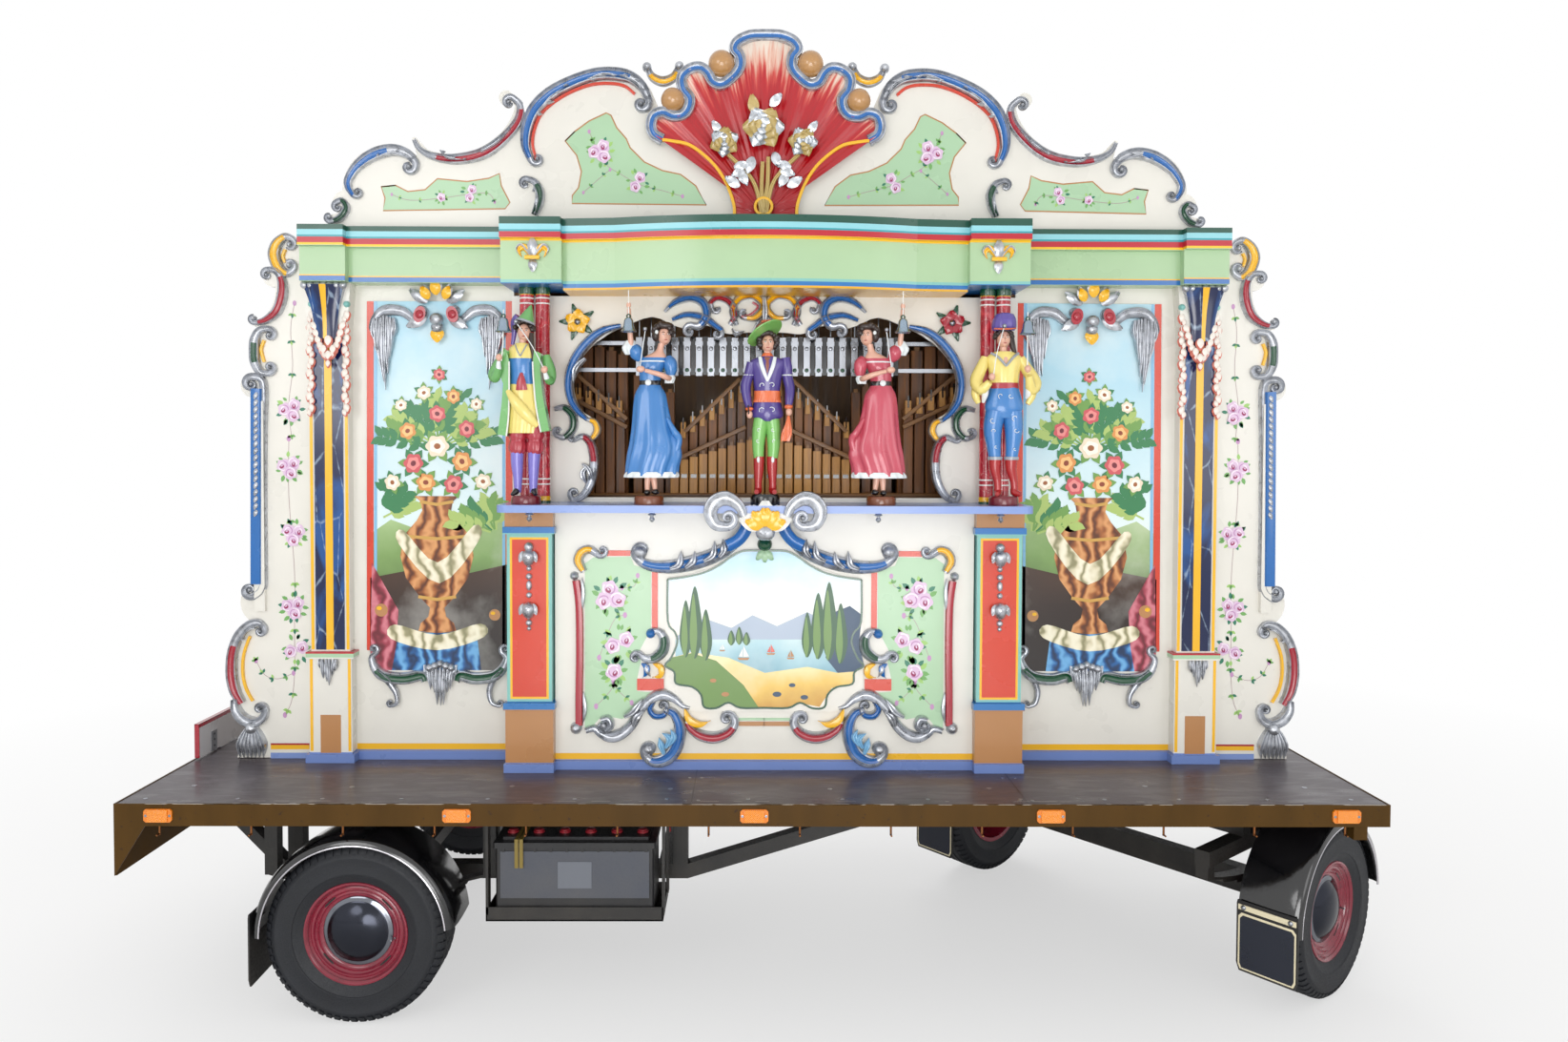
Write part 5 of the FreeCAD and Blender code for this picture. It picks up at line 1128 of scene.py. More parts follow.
# Depth of the wings' faces.
WING = -360.0
WING_SCROLLS = (
    (((307.3, 250.7), (300.4, 248.8), (292.4, 255.6), (288.6, 267), (292.8, 280), (301.6, 287),
      (308, 284)), (26, 36, 46, 48, 46, 36, 26), 26, YELLOW, (0.12, 0.88), (0.6, 1), (0.6, 1)),
    (((281, 283), (289, 284), (296, 292), (297.5, 308), (292, 326), (280, 336), (268, 339)),
     (22, 30, 38, 42, 40, 32, 20), 26, RED, (0.2, 0.95), (0.9, -1), (0.5, -1)),
    (((283, 345), (274, 347), (269, 356), (268, 368), (269, 380), (274, 390), (283, 392)),
     (26, 34, 40, 40, 40, 34, 26), 26, GREEN, (0.36, 0.66), (1.0, 1), (1.0, 1)),
    (((266, 395), (274, 397), (278, 406), (278.2, 440), (278.2, 520), (278.2, 600), (276, 618),
      (268, 625)), (32, 28, 22, 20, 20, 20, 24, 32), 26, SILVER, (0, 1), (1.0, -1), (1.0, -1)),
    (((278, 657), (272, 652.5), (262, 655), (252, 666), (245.5, 684), (244.5, 706), (248, 724),
      (255, 737)), (24, 34, 40, 42, 44, 46, 44, 34), 28, RED, (0.42, 1.0), (0.9, 1), None),
    (((247, 733), (250, 745), (258, 754), (269, 757), (277, 752.5), (280, 745)),
     (26, 40, 46, 44, 36, 26), 32, SILVER, (0, 1), None, (1.0, 1)),
)
WING_ROSES = ((305, 430, 3), (303.5, 490, 3), (308, 560, 3), (308, 637, 3), (311, 681, 2))


def wings():
    """Carved edge and painted garland of each folding wing."""
    for side in ("left", "right"):
        flip = side == "right"
        body = "wing_" + side
        piece = Piece("wing_carving_" + side, body, "carving_silver")
        scrolls(piece, WING_SCROLLS, WING)
        bead(piece, ((270.6, 408), (270.6, 500), (270.6, 612)), 8, 46, WING, 26, BLUE)
        for k in range(18):
            petal(piece, *pin(272.6, 412 + k * 7.2, WING), 30, 17, -1.9, WING - 26, 10, SILVER, 0.2)
        for pixels, wide in ((((263, 667), (256.5, 686), (255.5, 706), (259, 722), (266, 735)), 11),
                             (((278, 357), (274.8, 367), (278, 380)), 12),
                             (((300, 262), (297.5, 269), (300, 276)), 12)):
            bead(piece, pixels, 6, wide, WING, 12, YELLOW)
        for k in range(7):
            off = (k - 3) / 3
            lobe_at(piece, ((265 + off * 4, 762), (265 + off * 9, 770), (265 + off * 13, 782),
                            (265 + off * 12, 794)), 30, WING, 4 * (1 - abs(off)), 26, SILVER, 4)
        dome(piece, *pin(265, 763, WING), 0.03, WING, 34, SILVER)
        frond(piece, ((252, 672), (262, 660), (274, 655)), 3, 34, 12, WING - 14, 14, -1, 0.6)
        piece.build(flip=flip)

        art = Piece("wing_garland_" + side, body, "cream_paint")
        face = WING - PAINT
        trail(art, ((309, 318), (305, 345), (307, 385), (303, 425), (306, 460)), face, 20, 21, 1)
        trail(art, ((303, 460), (303, 520), (309, 600), (309, 660), (309, 706), (306, 735),
                    (299, 750)),
              face, 22, 22, 2)
        trail(art, ((308, 706), (292, 712), (278, 708), (268.6, 693)), face, 20, 23, 2)
        for i, (x, y, count) in enumerate(WING_ROSES):
            spray(art, x, y, 27, face, count, 11, 30 + i)
        for top, foot, finish in ((789.5, 797.0, LILAC), (781.5, 786.0, YELLOW),
                                  (779.6, 781.5, RED)):
            patch(art, corners(284, top, 331, foot), face - PAINT, finish)
        art.build(flip=flip)


# The left pilaster's middle, from the front's middle, and its depths: shaft, foot, head.
PILASTER_U = -1787.0
PILASTER_FACE, FOOT_FACE, HEAD_FACE = -410.0, -416.0, -424.0


def upright(piece, u0, u1, z0, z1, depth, thick, finish):
    """A flat upright strip given about the facade's middle, in mm."""
    ring = corners(FRONT_X + u0 / 1000, z0 / 1000, FRONT_X + u1 / 1000, z1 / 1000)
    piece.slab(ring, depth - thick, thick, finish)


def icicles(piece, x, y, count, wide, long, depth, finish):
    """A row of carved hanging folds, longest in the middle; x, y is the top middle pixel."""
    cx, cz = pin(x, y, depth)
    for k in range(count):
        off = (k - (count - 1) / 2) / count
        drop = long * (1.05 - 1.5 * abs(off)) * (0.86 + 0.14 * (k % 2))
        top = (cx + off * wide / 1000, cz)
        low = (cx + off * wide * 0.8 / 1000, cz - drop / 1000)
        mid = ((top[0] + low[0]) / 2, (top[1] + low[1]) / 2)
        lobe(piece, smooth_line([top, mid, low], 5), wide / count * 1.35 / 1000,
             depth - 6 * (k % 2), 14, finish)


SWAG_WHITE = enamel("swag_white", "eee4da", 0.3, 0.4)
SWAG_CORAL = enamel("swag_coral", "cf6d5a", 0.3, 0.4)


def shell_drop(piece, x, y, size, angle, depth):
    """One carved shell of a garland: white over coral."""
    place = pin(x, y, depth)
    petal(piece, *place, size * 1.25, size * 0.95, angle, depth, 10, SWAG_CORAL)
    petal(piece, *place, size, size * 0.72, angle, depth - 7, 12, SWAG_WHITE, 0.3)


def pilasters():
    """Blue marble shafts, flared capitals, shell garlands and icicles."""
    piece = Piece("pilaster_paint", slot="pilaster_blue")
    mid = PILASTER_U
    upright(piece, mid - 59, mid + 59, 1300, 2600, PILASTER_FACE, 4, BLUE_MARBLE)
    upright(piece, mid - 15, mid + 15, 1300, 2600, PILASTER_FACE - 4, 2, YELLOW)
    for side in (-1, 1):
        a, b = sorted((mid + side * 66, mid + side * 78))
        upright(piece, a, b, 1300, 2560, PILASTER_FACE, 2, YELLOW)
    upright(piece, mid - 84, mid - 72, 880, 1262, FOOT_FACE, 1, YELLOW)
    upright(piece, mid + 72, mid + 84, 880, 1262, FOOT_FACE, 1, YELLOW)
    rows = []
    for k in range(9):
        u = k / 8
        half = 46 + 38 * u ** 2.2
        out = 6 + 26 * u ** 2
        z = (2575 + 216 * u) / 1000
        row = []
        for j in range(13):
            v = j / 6 - 1
            bow = out + 12 * math.sqrt(max(0.0, 1 - v * v))
            row.append(Vector((FRONT_X + (mid + half * v) / 1000, deep(HEAD_FACE - bow), z)))
        rows.append(row)
    piece.rows(rows, lambda r, c: YELLOW if 4 < c < 7 else BLUE_MARBLE)
    piece.add(rows[-1] + [Vector((p.x, deep(-422), p.z)) for p in rows[-1]],
              [tuple(list(range(13)) + list(range(25, 12, -1)))], SILVER)
    sides = [[rows[r][c], Vector((rows[r][c].x, deep(-420), rows[r][c].z))]
             for c in (0, 12) for r in range(9)]
    piece.rows(sides[:9], SILVER)
    piece.rows(sides[9:], SILVER)
    for k in range(7):
        dome(piece, FRONT_X + (mid - 78 + k * 26) / 1000, 2.789, 0.016, -452, 14, SILVER)
    for x in (326.5, 363.5):
        dome(piece, *pin(x, 319, -426), 0.014, -420, 22, AQUA)
        for k in range(9):
            shell_drop(piece, x, 326 + k * 12.2, 34, -1.57 + 0.25 * (-1) ** k, -414)
            shell_drop(piece, x + (2.5 if k % 2 else -2.5), 332 + k * 12.2, 26,
                       -1.2 - 0.7 * (k % 2), -418)
    for k in range(7):
        t = k / 6
        for sx, ex in ((328, 343), (362, 347)):
            x = sx + (ex - sx) * t
            y = 338 + 30 * math.sin(t * 1.5)
            shell_drop(piece, x, y, 34, -1.57 + (0.5 if sx < ex else -0.5) * (1 - t), -426 - 6 * t)
    for x, y, s in ((345, 352, 40), (340, 362, 34), (350, 362, 34), (345, 368, 34), (345, 378, 26)):
        shell_drop(piece, x, y, s, -1.57, -440)
    icicles(piece, 344.5, 691, 6, 88, 118, -418, SILVER)
    upright(piece, mid - 42, mid + 42, 872, 1030, FOOT_FACE, 1, BROWN)
    piece.build(mirror=True)


def mid(points):
    """Places read in the enlarged view of the low middle board, as pixels of the photograph."""
    return [(560 + x / 3.136, 540 + y / 3.136) for x, y in points]


def north(points):
    """The same for places read in the enlarged view of the stage."""
    return [(480 + x / 2.45, 280 + y / 2.45) for x, y in points]


def patch(piece, pixels, depth, finish, soft=0):
    """A flat painted shape through pixels; soft is the number of steps that round its outline."""
    ring = flat(pixels, depth)
    piece.shape(smooth_line(ring, soft, True) if soft else ring, depth, finish)


def crescent(piece, pixels, wide, depth, rise, finish):
    """A raised sickle: pointed at both ends."""
    line = smooth_line(flat(pixels, depth))
    widths = [wide / 1000 * max(0.06, math.sin(math.pi * min(t * 1.1, 1.0)) ** 0.7)
              for t in lengths_along(line)]
    ribbon(piece, line, widths, depth, rise, BAR_CUT, finish)


# Depth of the pedestals' faces, and the pixel column of their middles.
PANEL, PANEL_X = -537.0, 555.3


def pedestals():
    """Painted panels and carved drops of the pedestals, and the frieze's lower lines."""
    piece = Piece("pedestal_paint", slot="pedestal_red")
    for k, (half, low, high, finish) in enumerate(
            ((84, 1120, 1782, AQUA), (77, 1126, 1776, YELLOW), (68, 1135, 1767, ORANGE_RED))):
        upright(piece, -942 - half, -942 + half, low, high, PANEL - k * 0.7, 0.7, finish)
    for y, size, squat in ((573.5, 19, 1), (596, 11, 1), (604.5, 13, 1), (614, 12, 1.7),
                           (624, 12, 1), (653, 13, 1), (659, 9, 1)):
        cx, cz = pin(PANEL_X, y, PANEL)
        rings = [(size * math.sin(a), -size * squat * math.cos(a))
                 for a in (k * math.pi / 8 + 0.02 for k in range(9))]
        lathe(piece, rings, (cx, deep(PANEL - size * 0.5), cz), (0, 0, 1), SILVER, 14)
    for y in (585, 640):
        cx, cz = pin(PANEL_X, y, PANEL)
        lathe(piece, [(4, -34), (16, -26), (27, -6), (30, 12), (22, 26), (8, 33)],
              (cx, deep(PANEL - 14), cz), (0, 0, 1), SILVER, 18)
        for side in (-1, 0, 1):
            petal(piece, cx + side * 0.02, cz + 0.028, 46, 24, -1.57 + side * 0.3,
                  PANEL - 26 + abs(side) * 8, 14, SILVER, 0.3)
    piece.build(mirror=True)
    band = Piece("frieze_lines", slot="frieze_green")
    for u0, u1, face in ((-1689, -1038, -440), (-1872, -1689, -480)):
        upright(band, u0, u1, 2803, 2822, face, 3, BLUE)
        upright(band, u0, u1, 2822, 2827, face, 2, YELLOW)
    band.build(mirror=True)


# Depth of the tall pictures, and their pixels: left, top, right, foot.
SIDE_FACE = -368.0
SIDE_SKY = (388.5, 316, 532, 703)


def sky_paint(name, low, high, codes):
    """Brushed paint that changes colour with height (mm), with soft clouds."""
    f = Finish(name, 0.3, coat=0.3)
    soft = f.noise(5.0, 4.0)
    z = f.math("ADD", f.axis(2), f.spread(soft, 0.3, 0.7, -0.05, 0.05))
    share = f.spread(z, low / 1000, high / 1000)
    n = len(codes) - 1
    base = f.ramp(share, [(k / n, code) for k, code in enumerate(codes)])
    cloud = f.spread(f.noise(3.0, 5.0), 0.5, 0.72)
    f.colour(f.mix(f.math("MULTIPLY", cloud, 0.35), base, rgb("f4f2ea")))
    return f.mat


def cloth_paint(name, dark, mid_code, light):
    """Painted folds of hanging cloth."""
    f = Finish(name, 0.28, coat=0.35)
    wave = f.noise(11.0, 2.0)
    x = f.math("ADD", f.axis(0), f.spread(wave, 0.3, 0.7, -0.03, 0.03))
    fold = f.spread(f.stripes(x, 105.0), -1.0, 1.0)
    f.colour(f.ramp(fold, [(0.0, dark), (0.45, mid_code), (1.0, light)]))
    return f.mat


def side_picture():
    """A generic still life: a tall urn with flowers and draped cloth before hills."""
    face = SIDE_FACE - PAINT
    piece = Piece("side_picture_paint", slot="picture")
    sky = sky_paint("picture_sky", 1500, 2700, ("e6efe4", "d5e8ea", "b4d6e2", "9ccbde"))
    hill = sky_paint("picture_hill", 1480, 1900, ("3f5c2f", "7a9a58", "a9c48a"))
    dark = sky_paint("picture_dark", 1180, 1700, ("160d0a", "2a1a12", "4a3020"))
    brown = cloth_paint("picture_brown", "5a2c14", "a4602f", "d79a62")
    cream = cloth_paint("picture_cream", "8f8a66", "d9cfae", "f1ead2")
    blue = cloth_paint("picture_blue", "0e2c52", "2264a4", "6aa9d8")
    wine = cloth_paint("picture_wine", "6a1f2a", "a23a4c", "cf7a86")
    leaves = [painted(*look) for look in (("palm_leaf", "6d9a4a"), ("fern_leaf", "2f7a4a"),
                                          ("pale_leaf", "a7bf6a"))]
    x0, _, x1, y1 = SIDE_SKY
    patch(piece, corners(*SIDE_SKY), face, sky)
    patch(piece, ((x0, 560), (410, 545), (440, 556), (470, 541), (505, 548), (x1, 538), (x1, 640),
                  (x0, 640)), face - PAINT, hill)
    patch(piece, ((x0, 606), (430, 598), (480, 604), (x1, 592), (x1, y1), (x0, y1)),
          face - PAINT * 2, dark)
    pick = random.Random(8)
    palms(piece, face, leaves, pick)
    urn(piece, face, brown)
    patch(piece, ((418, 664), (500, 664), (505, y1), (411, y1)), face - PAINT * 4, blue)
    patch(piece, ((414, 655), (459, 666), (504, 654), (508, 668), (459, 682), (410, 670)),
          face - PAINT * 5, cream, 4)
    patch(piece, ((423, 556), (459, 590), (497, 551), (503, 566), (461, 612), (418, 570)),
          face - PAINT * 6, cream, 4)
    patch(piece, ((390, 590), (418, 640), (414, y1), (x0, y1)), face - PAINT * 3.4, wine)
    blooms(piece, face, leaves, pick)
    for x, wide, finish in ((388.4, 28, ORANGE_RED), (394, 12, PALE_BLUE)):
        for edge in (x, x0 + x1 + 2 - x):
            stroke(piece, ((edge, 316), (edge, 500), (edge, 682)), wide, face - PAINT * 2, finish)
    for x, y, size in ((400, 640, 27), (519, 645, 24)):
        fruit(piece, x, y, size, face - PAINT * 4)
    piece.build(mirror=True)


def palms(piece, face, leaves, pick):
    """Fans of feathered leaves that stay inside the picture."""
    x0, y0, x1, _ = SIDE_SKY
    left, right = pin(x0 + 12, y0, face)[0], pin(x1 - 12, y0, face)[0]
    top = 2.69
    for x, y, reach, count, start, step in ((461, 470, 330, 15, 0.25, 0.19),
                                            (520, 560, 220, 9, 1.2, 0.2),
                                            (398, 545, 230, 9, 0.5, 0.24)):
        px, pz = pin(x, y, face)
        for k in range(count):
            a = start + k * step
            size = reach * pick.uniform(0.75, 1.0)
            line = [(px + size * u / 1000 * math.cos(a - 0.35 * u * (1 if a > 1.57 else -1)),
                     pz + size * u / 1000 * math.sin(a) * (1 - 0.3 * u))
                    for u in (0.1, 0.3, 0.5, 0.7, 0.85, 1.0)]
            tone = pick.choice(leaves)
            level = face - PAINT * 2.5 - 0.09 * k
            stem = [p for p in line if left < p[0] < right and p[1] < top]
            if len(stem) > 1:
                paint_line(piece, stem, 9, level, tone, True)
            for j, (lx, lz) in enumerate(line):
                if j and left < lx < right and lz <= top:
                    for side in (-1, 1):
                        painted_leaf(piece, lx, lz, 0.058, a + side * 0.75, level - 0.01 * j, tone)


def urn(piece, face, finish):
    """A tall painted urn with three gilt bands."""
    half = ((0, 0), (34, 4), (30, 18), (16, 30), (13, 46), (30, 64), (56, 100), (66, 140),
            (60, 176), (36, 204), (26, 222), (29, 238), (40, 248))
    cx, cz = pin(459, 664, face)
    scale = 2.3
    ring = [(cx + r * scale / 1000, cz + h * scale / 1000) for r, h in half]
    ring += [(2 * cx - x, z) for x, z in reversed(ring)]
    piece.shape(ring, face - PAINT * 4, finish)
    gilt = painted("urn_gilt", "c99c4c")
    for h, wide in ((66, 34), (176, 60), (238, 30)):
        paint_line(piece, [(cx - wide * scale / 1000, cz + h * scale / 1000),
                           (cx, cz + (h - 5) * scale / 1000),
                           (cx + wide * scale / 1000, cz + h * scale / 1000)], 13,
                   face - PAINT * 5, gilt)


# Flowers of the tall pictures: pixel, size in mm, set of tones; and each set from rim to heart.
BLOOMS = (
    (459, 468, 46, 0), (434, 486, 40, 1), (485, 484, 40, 2), (447, 506, 38, 2), (476, 508, 38, 1),
    (412, 506, 32, 0), (507, 505, 32, 0), (428, 452, 34, 2), (490, 450, 34, 1), (459, 434, 34, 1),
    (445, 412, 28, 0), (476, 416, 28, 2), (461, 393, 24, 1), (421, 425, 24, 0), (500, 424, 24, 0),
)
BLOOM_TONES = (("e9d9c0", "fbf3e2", "9a5a2c"), ("c9525a", "e48a86", "6f1a2a"),
               ("d98f4c", "f1bf7c", "8a3a1c"))


def blooms(piece, face, leaves, pick):
    """The bunch in the urn."""
    sets = [[painted("bloom_%d_%d" % (i, j), code) for j, code in enumerate(row)]
            for i, row in enumerate(BLOOM_TONES)]
    for n, (x, y, size, tone) in enumerate(BLOOMS):
        fx, fz = pin(x, y, face)
        level = face - PAINT * (7 + (n % 3))
        rim, inner, heart = sets[tone]
        for k in range(6):
            painted_leaf(piece, fx, fz, size * 0.00165, k * 1.05 + n, level + PAINT,
                         pick.choice(leaves[:2]))
        disc(piece, fx, fz, size / 1000, size * 0.00095, level, rim, n, 6, 0.1, 30)
        disc(piece, fx, fz, size * 0.00068, size * 0.00062, level - PAINT, inner, n, 5, 0.1, 24)
        disc(piece, fx, fz, size * 0.0003, size * 0.00026, level - PAINT * 2, heart, n)


def fruit(piece, x, y, size, depth):
    """A painted fruit with a light spot."""
    cx, cz = pin(x, y, depth)
    disc(piece, cx, cz, size / 1000, size / 1000, depth, BROWN)
    disc(piece, cx - size * 0.0003, cz + size * 0.0003, size * 0.0004, size * 0.0003,
         depth - PAINT, YELLOW)


SIDE_SCROLLS = (
    (((445, 333), (436, 336), (423, 327), (405, 326), (395, 334), (391, 343)),
     (26, 34, 44, 46, 34, 22), 30, SILVER, (0, 1), (0.9, -1), (0.9, 1)),
    (((476, 333), (486, 336), (499, 327), (515, 326), (525, 334), (529, 343)),
     (26, 34, 44, 46, 34, 22), 30, SILVER, (0, 1), (0.9, 1), (0.9, -1)),
    (((396, 684), (391, 690), (396, 702), (406, 709), (425, 711), (443, 708), (447, 714)),
     (20, 32, 44, 48, 50, 48, 30), 28, GREEN, (0.25, 1), (1.1, -1), None),
    (((527, 684), (532, 690), (527, 702), (517, 709), (499, 711), (484, 708), (480, 714)),
     (20, 32, 44, 48, 50, 48, 30), 28, GREEN, (0.25, 1), (1.1, 1), None),
    (((396, 704), (408, 714), (416, 726), (417, 737), (411, 740)),
     (22, 26, 24, 18, 14), 22, SILVER, (0, 1), None, (0.9, -1)),
    (((528, 704), (519, 712), (514, 724), (516, 736), (523, 740)),
     (22, 26, 24, 18, 14), 22, SILVER, (0, 1), None, (0.9, 1)),
)


# Pixel column of the carved flower over each tall picture.
CREST_FLOWER_X = 460.5


def side_carvings():
    """Carved frame over and under each tall picture."""
    piece = Piece("side_picture_carving", slot="carving_silver")
    face = SIDE_FACE
    scrolls(piece, SIDE_SCROLLS, face)
    for x, y, a in ((450, 318, 2.5), (471, 318, 0.6), (449, 334, 3.6), (473, 334, -0.5)):
        petal(piece, *pin(x, y, face), 88, 46, a, face - 18, 26, SILVER, 0.4)
    for x, side in ((443.5, -1), (477.5, 1)):
        place = pin(x, 331, face)
        disc(piece, *place, 0.024, 0.034, face - 46, RED, side * 0.3)
        dome(piece, *place, 0.02, face - 40, 14, RED)
    for k, (dx, y, size) in enumerate(((-8, 315, 62), (8, 315, 62), (0, 311, 70))):
        cx, cz = pin(CREST_FLOWER_X + dx, y, face)
        turn = 1.57 - dx * 0.06
        petal(piece, cx, cz, size * 0.92, size * 0.66, turn, face - 30 - 4 * k, 26, YELLOW, 0.6)
        petal(piece, cx, cz + 0.006, size, size * 0.72, turn, face - 24 - 4 * k, 22, SILVER, 0.4)
    cx, cz = pin(CREST_FLOWER_X, 335, face)
    dome(piece, cx, cz - 0.004, 0.028, face - 34, 30, SILVER)
    place = pin(CREST_FLOWER_X, 344, face)
    petal(piece, *place, 62, 58, -1.57, face - 16, 26, YELLOW, 0.3)
    dome(piece, *place, 0.026, face - 22, 26, SILVER)
    for sx, ex, side in ((404, 406, 1), (517, 514, -1)):
        for k in range(7):
            off = (k - 3) * 4.2
            long = (34, 52, 70, 78, 62, 44, 26)[::side][k]
            lobe_at(piece, ((sx + off * 0.8, 331 + abs(k - 3)), (sx + off * 0.9, 331 + long * 0.5),
                            (ex + off * 0.55, 331 + long)),
                    26, face, 8 + 3 * (k % 2), 20, SILVER, 6)
    icicles(piece, 462.5, 697, 9, 150, 190, face, SILVER)
    for k in range(5):
        dome(piece, *pin(451 + k * 5.8, 700 - 2 * (2 - abs(k - 2)), face),
             0.017, face - 6, 22, SILVER)
    piece.build(mirror=True)


# Depth of the low middle board; then, in its enlarged view, its scrolls and painted edges.
BELLY = -500.0
BELLY_SCROLLS = (
    (((694, 20), (688, 50), (660, 90), (610, 125), (540, 152), (470, 168), (410, 170), (366, 160),
      (338, 138)), (40, 46, 56, 60, 62, 58, 52, 44, 34), 34, BLUE, (0, 0.92), None, (1.1, -1)),
    (((214, 133), (186, 114), (160, 122), (148, 150), (166, 186)), (24, 34, 42, 40, 26), 28, YELLOW,
     (0.2, 0.95), (0.8, -1), None),
    (((388, 378), (414, 384), (430, 410), (424, 446), (396, 470), (366, 470), (350, 456)),
     (18, 32, 44, 48, 44, 32, 24), 30, GREEN, (0.25, 0.75), None, (0.9, 1)),
    (((172, 708), (200, 700), (222, 716), (256, 728), (292, 716), (326, 684), (352, 640),
      (384, 604), (424, 588), (462, 602), (490, 626),
      (514, 634)),
     (24, 28, 40, 46, 44, 40, 36, 38, 44, 38, 26, 12), 32, SILVER, (0, 1), None, None),
    (((396, 612), (384, 636), (400, 656), (428, 654), (440, 632)), (18, 26, 30, 28, 20), 36, BLUE,
     (0, 0.8), None, (0.8, 1)),
    (((436, 640), (462, 652), (480, 690), (478, 736), (458, 780), (424, 804), (390, 806),
      (366, 788)),
     (30, 40, 48, 54, 56, 54, 44, 32), 36, BLUE, (0, 0.9), None, (1.0, -1)),
    (((498, 660), (512, 696), (548, 722), (596, 730), (640, 714), (662, 682), (656, 660)),
     (14, 32, 42, 46, 44, 38, 28), 30, RED, (0.1, 0.8), None, (0.9, 1)),
    (((222, 672), (246, 668), (256, 690), (240, 706)), (22, 28, 28, 22), 36, SILVER, (0, 1), None,
     (0.8, -1)),
)
BELLY_EDGE = ((440, 212), (500, 204), (560, 190), (610, 166), (650, 138), (692, 119), (759, 119))
BELLY_SIDE = ((759, 635), (680, 635), (640, 618), (600, 636), (560, 632), (550, 592), (520, 566),
              (468, 555), (462, 517), (432, 496), (452, 470), (472, 420), (464, 386), (441, 350),
              (440, 212))
PANEL_EDGE = ((168, 160), (196, 140), (318, 137), (330, 165), (386, 184), (386, 376), (346, 450),
              (352, 484), (340, 540), (340, 580), (386, 584), (330, 650), (290, 672), (250, 664),
              (214, 672), (190, 700), (168, 700))


def landscape(piece, face):
    """A generic lake with hills, poplars and sails in the low middle picture."""
    sky = sky_paint("lake_sky", 1430, 1720, ("f1ece0", "d8ebee", "a9d3e6"))
    water = sky_paint("lake_water", 1200, 1440, ("6fa3b5", "a3c9d2", "d7e6e2"))
    sand = sky_paint("lake_sand", 1080, 1260, ("c9953c", "e7bf5a", "f0dca0"))
    far_hill = painted("far_hill", "a9b7c9")
    wall = painted("shade_blue", "2f4a66")
    green = painted("bank_green", "6c8f4a")
    deep_green = painted("poplar", "2f5a3a")
    half = list(BELLY_SIDE[:-1] + BELLY_EDGE)
    patch(piece, mid(half + [(2 * 759 - x, y) for x, y in half[-2:0:-1]]), face, sky)
    patch(piece, mid(((470, 400), (560, 340), (650, 372), (720, 330), (800, 366), (900, 320),
                      (1000, 372), (1046, 350), (1060, 420), (466, 420))), face - PAINT, far_hill)
    patch(piece, mid(corners(466, 410, 1060, 520)), face - PAINT * 2, water)
    patch(piece, mid(((452, 470), (520, 452), (640, 470), (760, 520), (900, 500), (1000, 520),
                      (1066, 470), (1086, 494), (1060, 515), (1050, 555), (980, 570), (966, 592),
                      (940, 632), (880, 620), (840, 635), (680, 635), (640, 618), (600, 636),
                      (560, 632), (550, 592), (520, 566), (468, 555), (462, 517), (432, 496))),
          face - PAINT * 3, sand)
    patch(piece, mid(((452, 470), (520, 455), (600, 480), (690, 560), (740, 634), (680, 635),
                      (640, 618), (600, 636), (560, 632), (550, 592), (520, 566), (468, 555),
                      (462, 517), (432, 496))), face - PAINT * 4, green)
    patch(piece, mid(((990, 320), (1040, 300), (1080, 330), (1070, 420), (1086, 494), (1060, 515),
                      (1000, 520), (960, 470))), face - PAINT * 4, wall)
    for k, (x, foot, tall, wide) in enumerate(((500, 470, 190, 20), (530, 474, 240, 24),
                                               (566, 480, 170, 20), (900, 470, 150, 18),
                                               (936, 476, 220, 24), (972, 480, 260, 26),
                                               (1010, 490, 200, 22), (650, 430, 50, 12),
                                               (676, 428, 60, 12), (700, 430, 44, 12))):
        line = [(x, foot), (x - wide, foot - tall * 0.3), (x - wide * 0.7, foot - tall * 0.7),
                (x, foot - tall), (x + wide * 0.7, foot - tall * 0.7),
                (x + wide, foot - tall * 0.3)]
        light = [((p[0] - x) * 0.5 + x - wide * 0.2, p[1] * 0.9 + foot * 0.1) for p in line]
        patch(piece, mid(line), face - PAINT * 5 - 0.1 * k, deep_green, 4)
        patch(piece, mid(light), face - PAINT * 6 - 0.1 * k, green, 4)
    for x, y, s, code in ((690, 470, 40, WHITE), (780, 455, 30, ORANGE_RED), (620, 445, 20, WHITE),
                          (845, 470, 26, BROWN)):
        patch(piece, mid(((x - s * 0.5, y), (x + s * 0.5, y), (x + s * 0.35, y + s * 0.2),
                          (x - s * 0.35, y + s * 0.2))), face - PAINT * 6, BROWN)
        patch(piece, mid(((x, y - 2), (x, y - s), (x + s * 0.45, y - 4))), face - PAINT * 6, code)
        patch(piece, mid(((x - 2, y - 2), (x - 2, y - s * 0.8), (x - s * 0.4, y - 4))),
              face - PAINT * 6, code)
    for x, y, s in ((800, 590, 16), (850, 560, 12), (890, 600, 14), (630, 590, 14), (590, 545, 12)):
        cx, cz = pin(*mid([(x, y)])[0], face)
        disc(piece, cx, cz, s / 900, s / 1500, face - PAINT * 5, wall if x > 700 else BROWN)


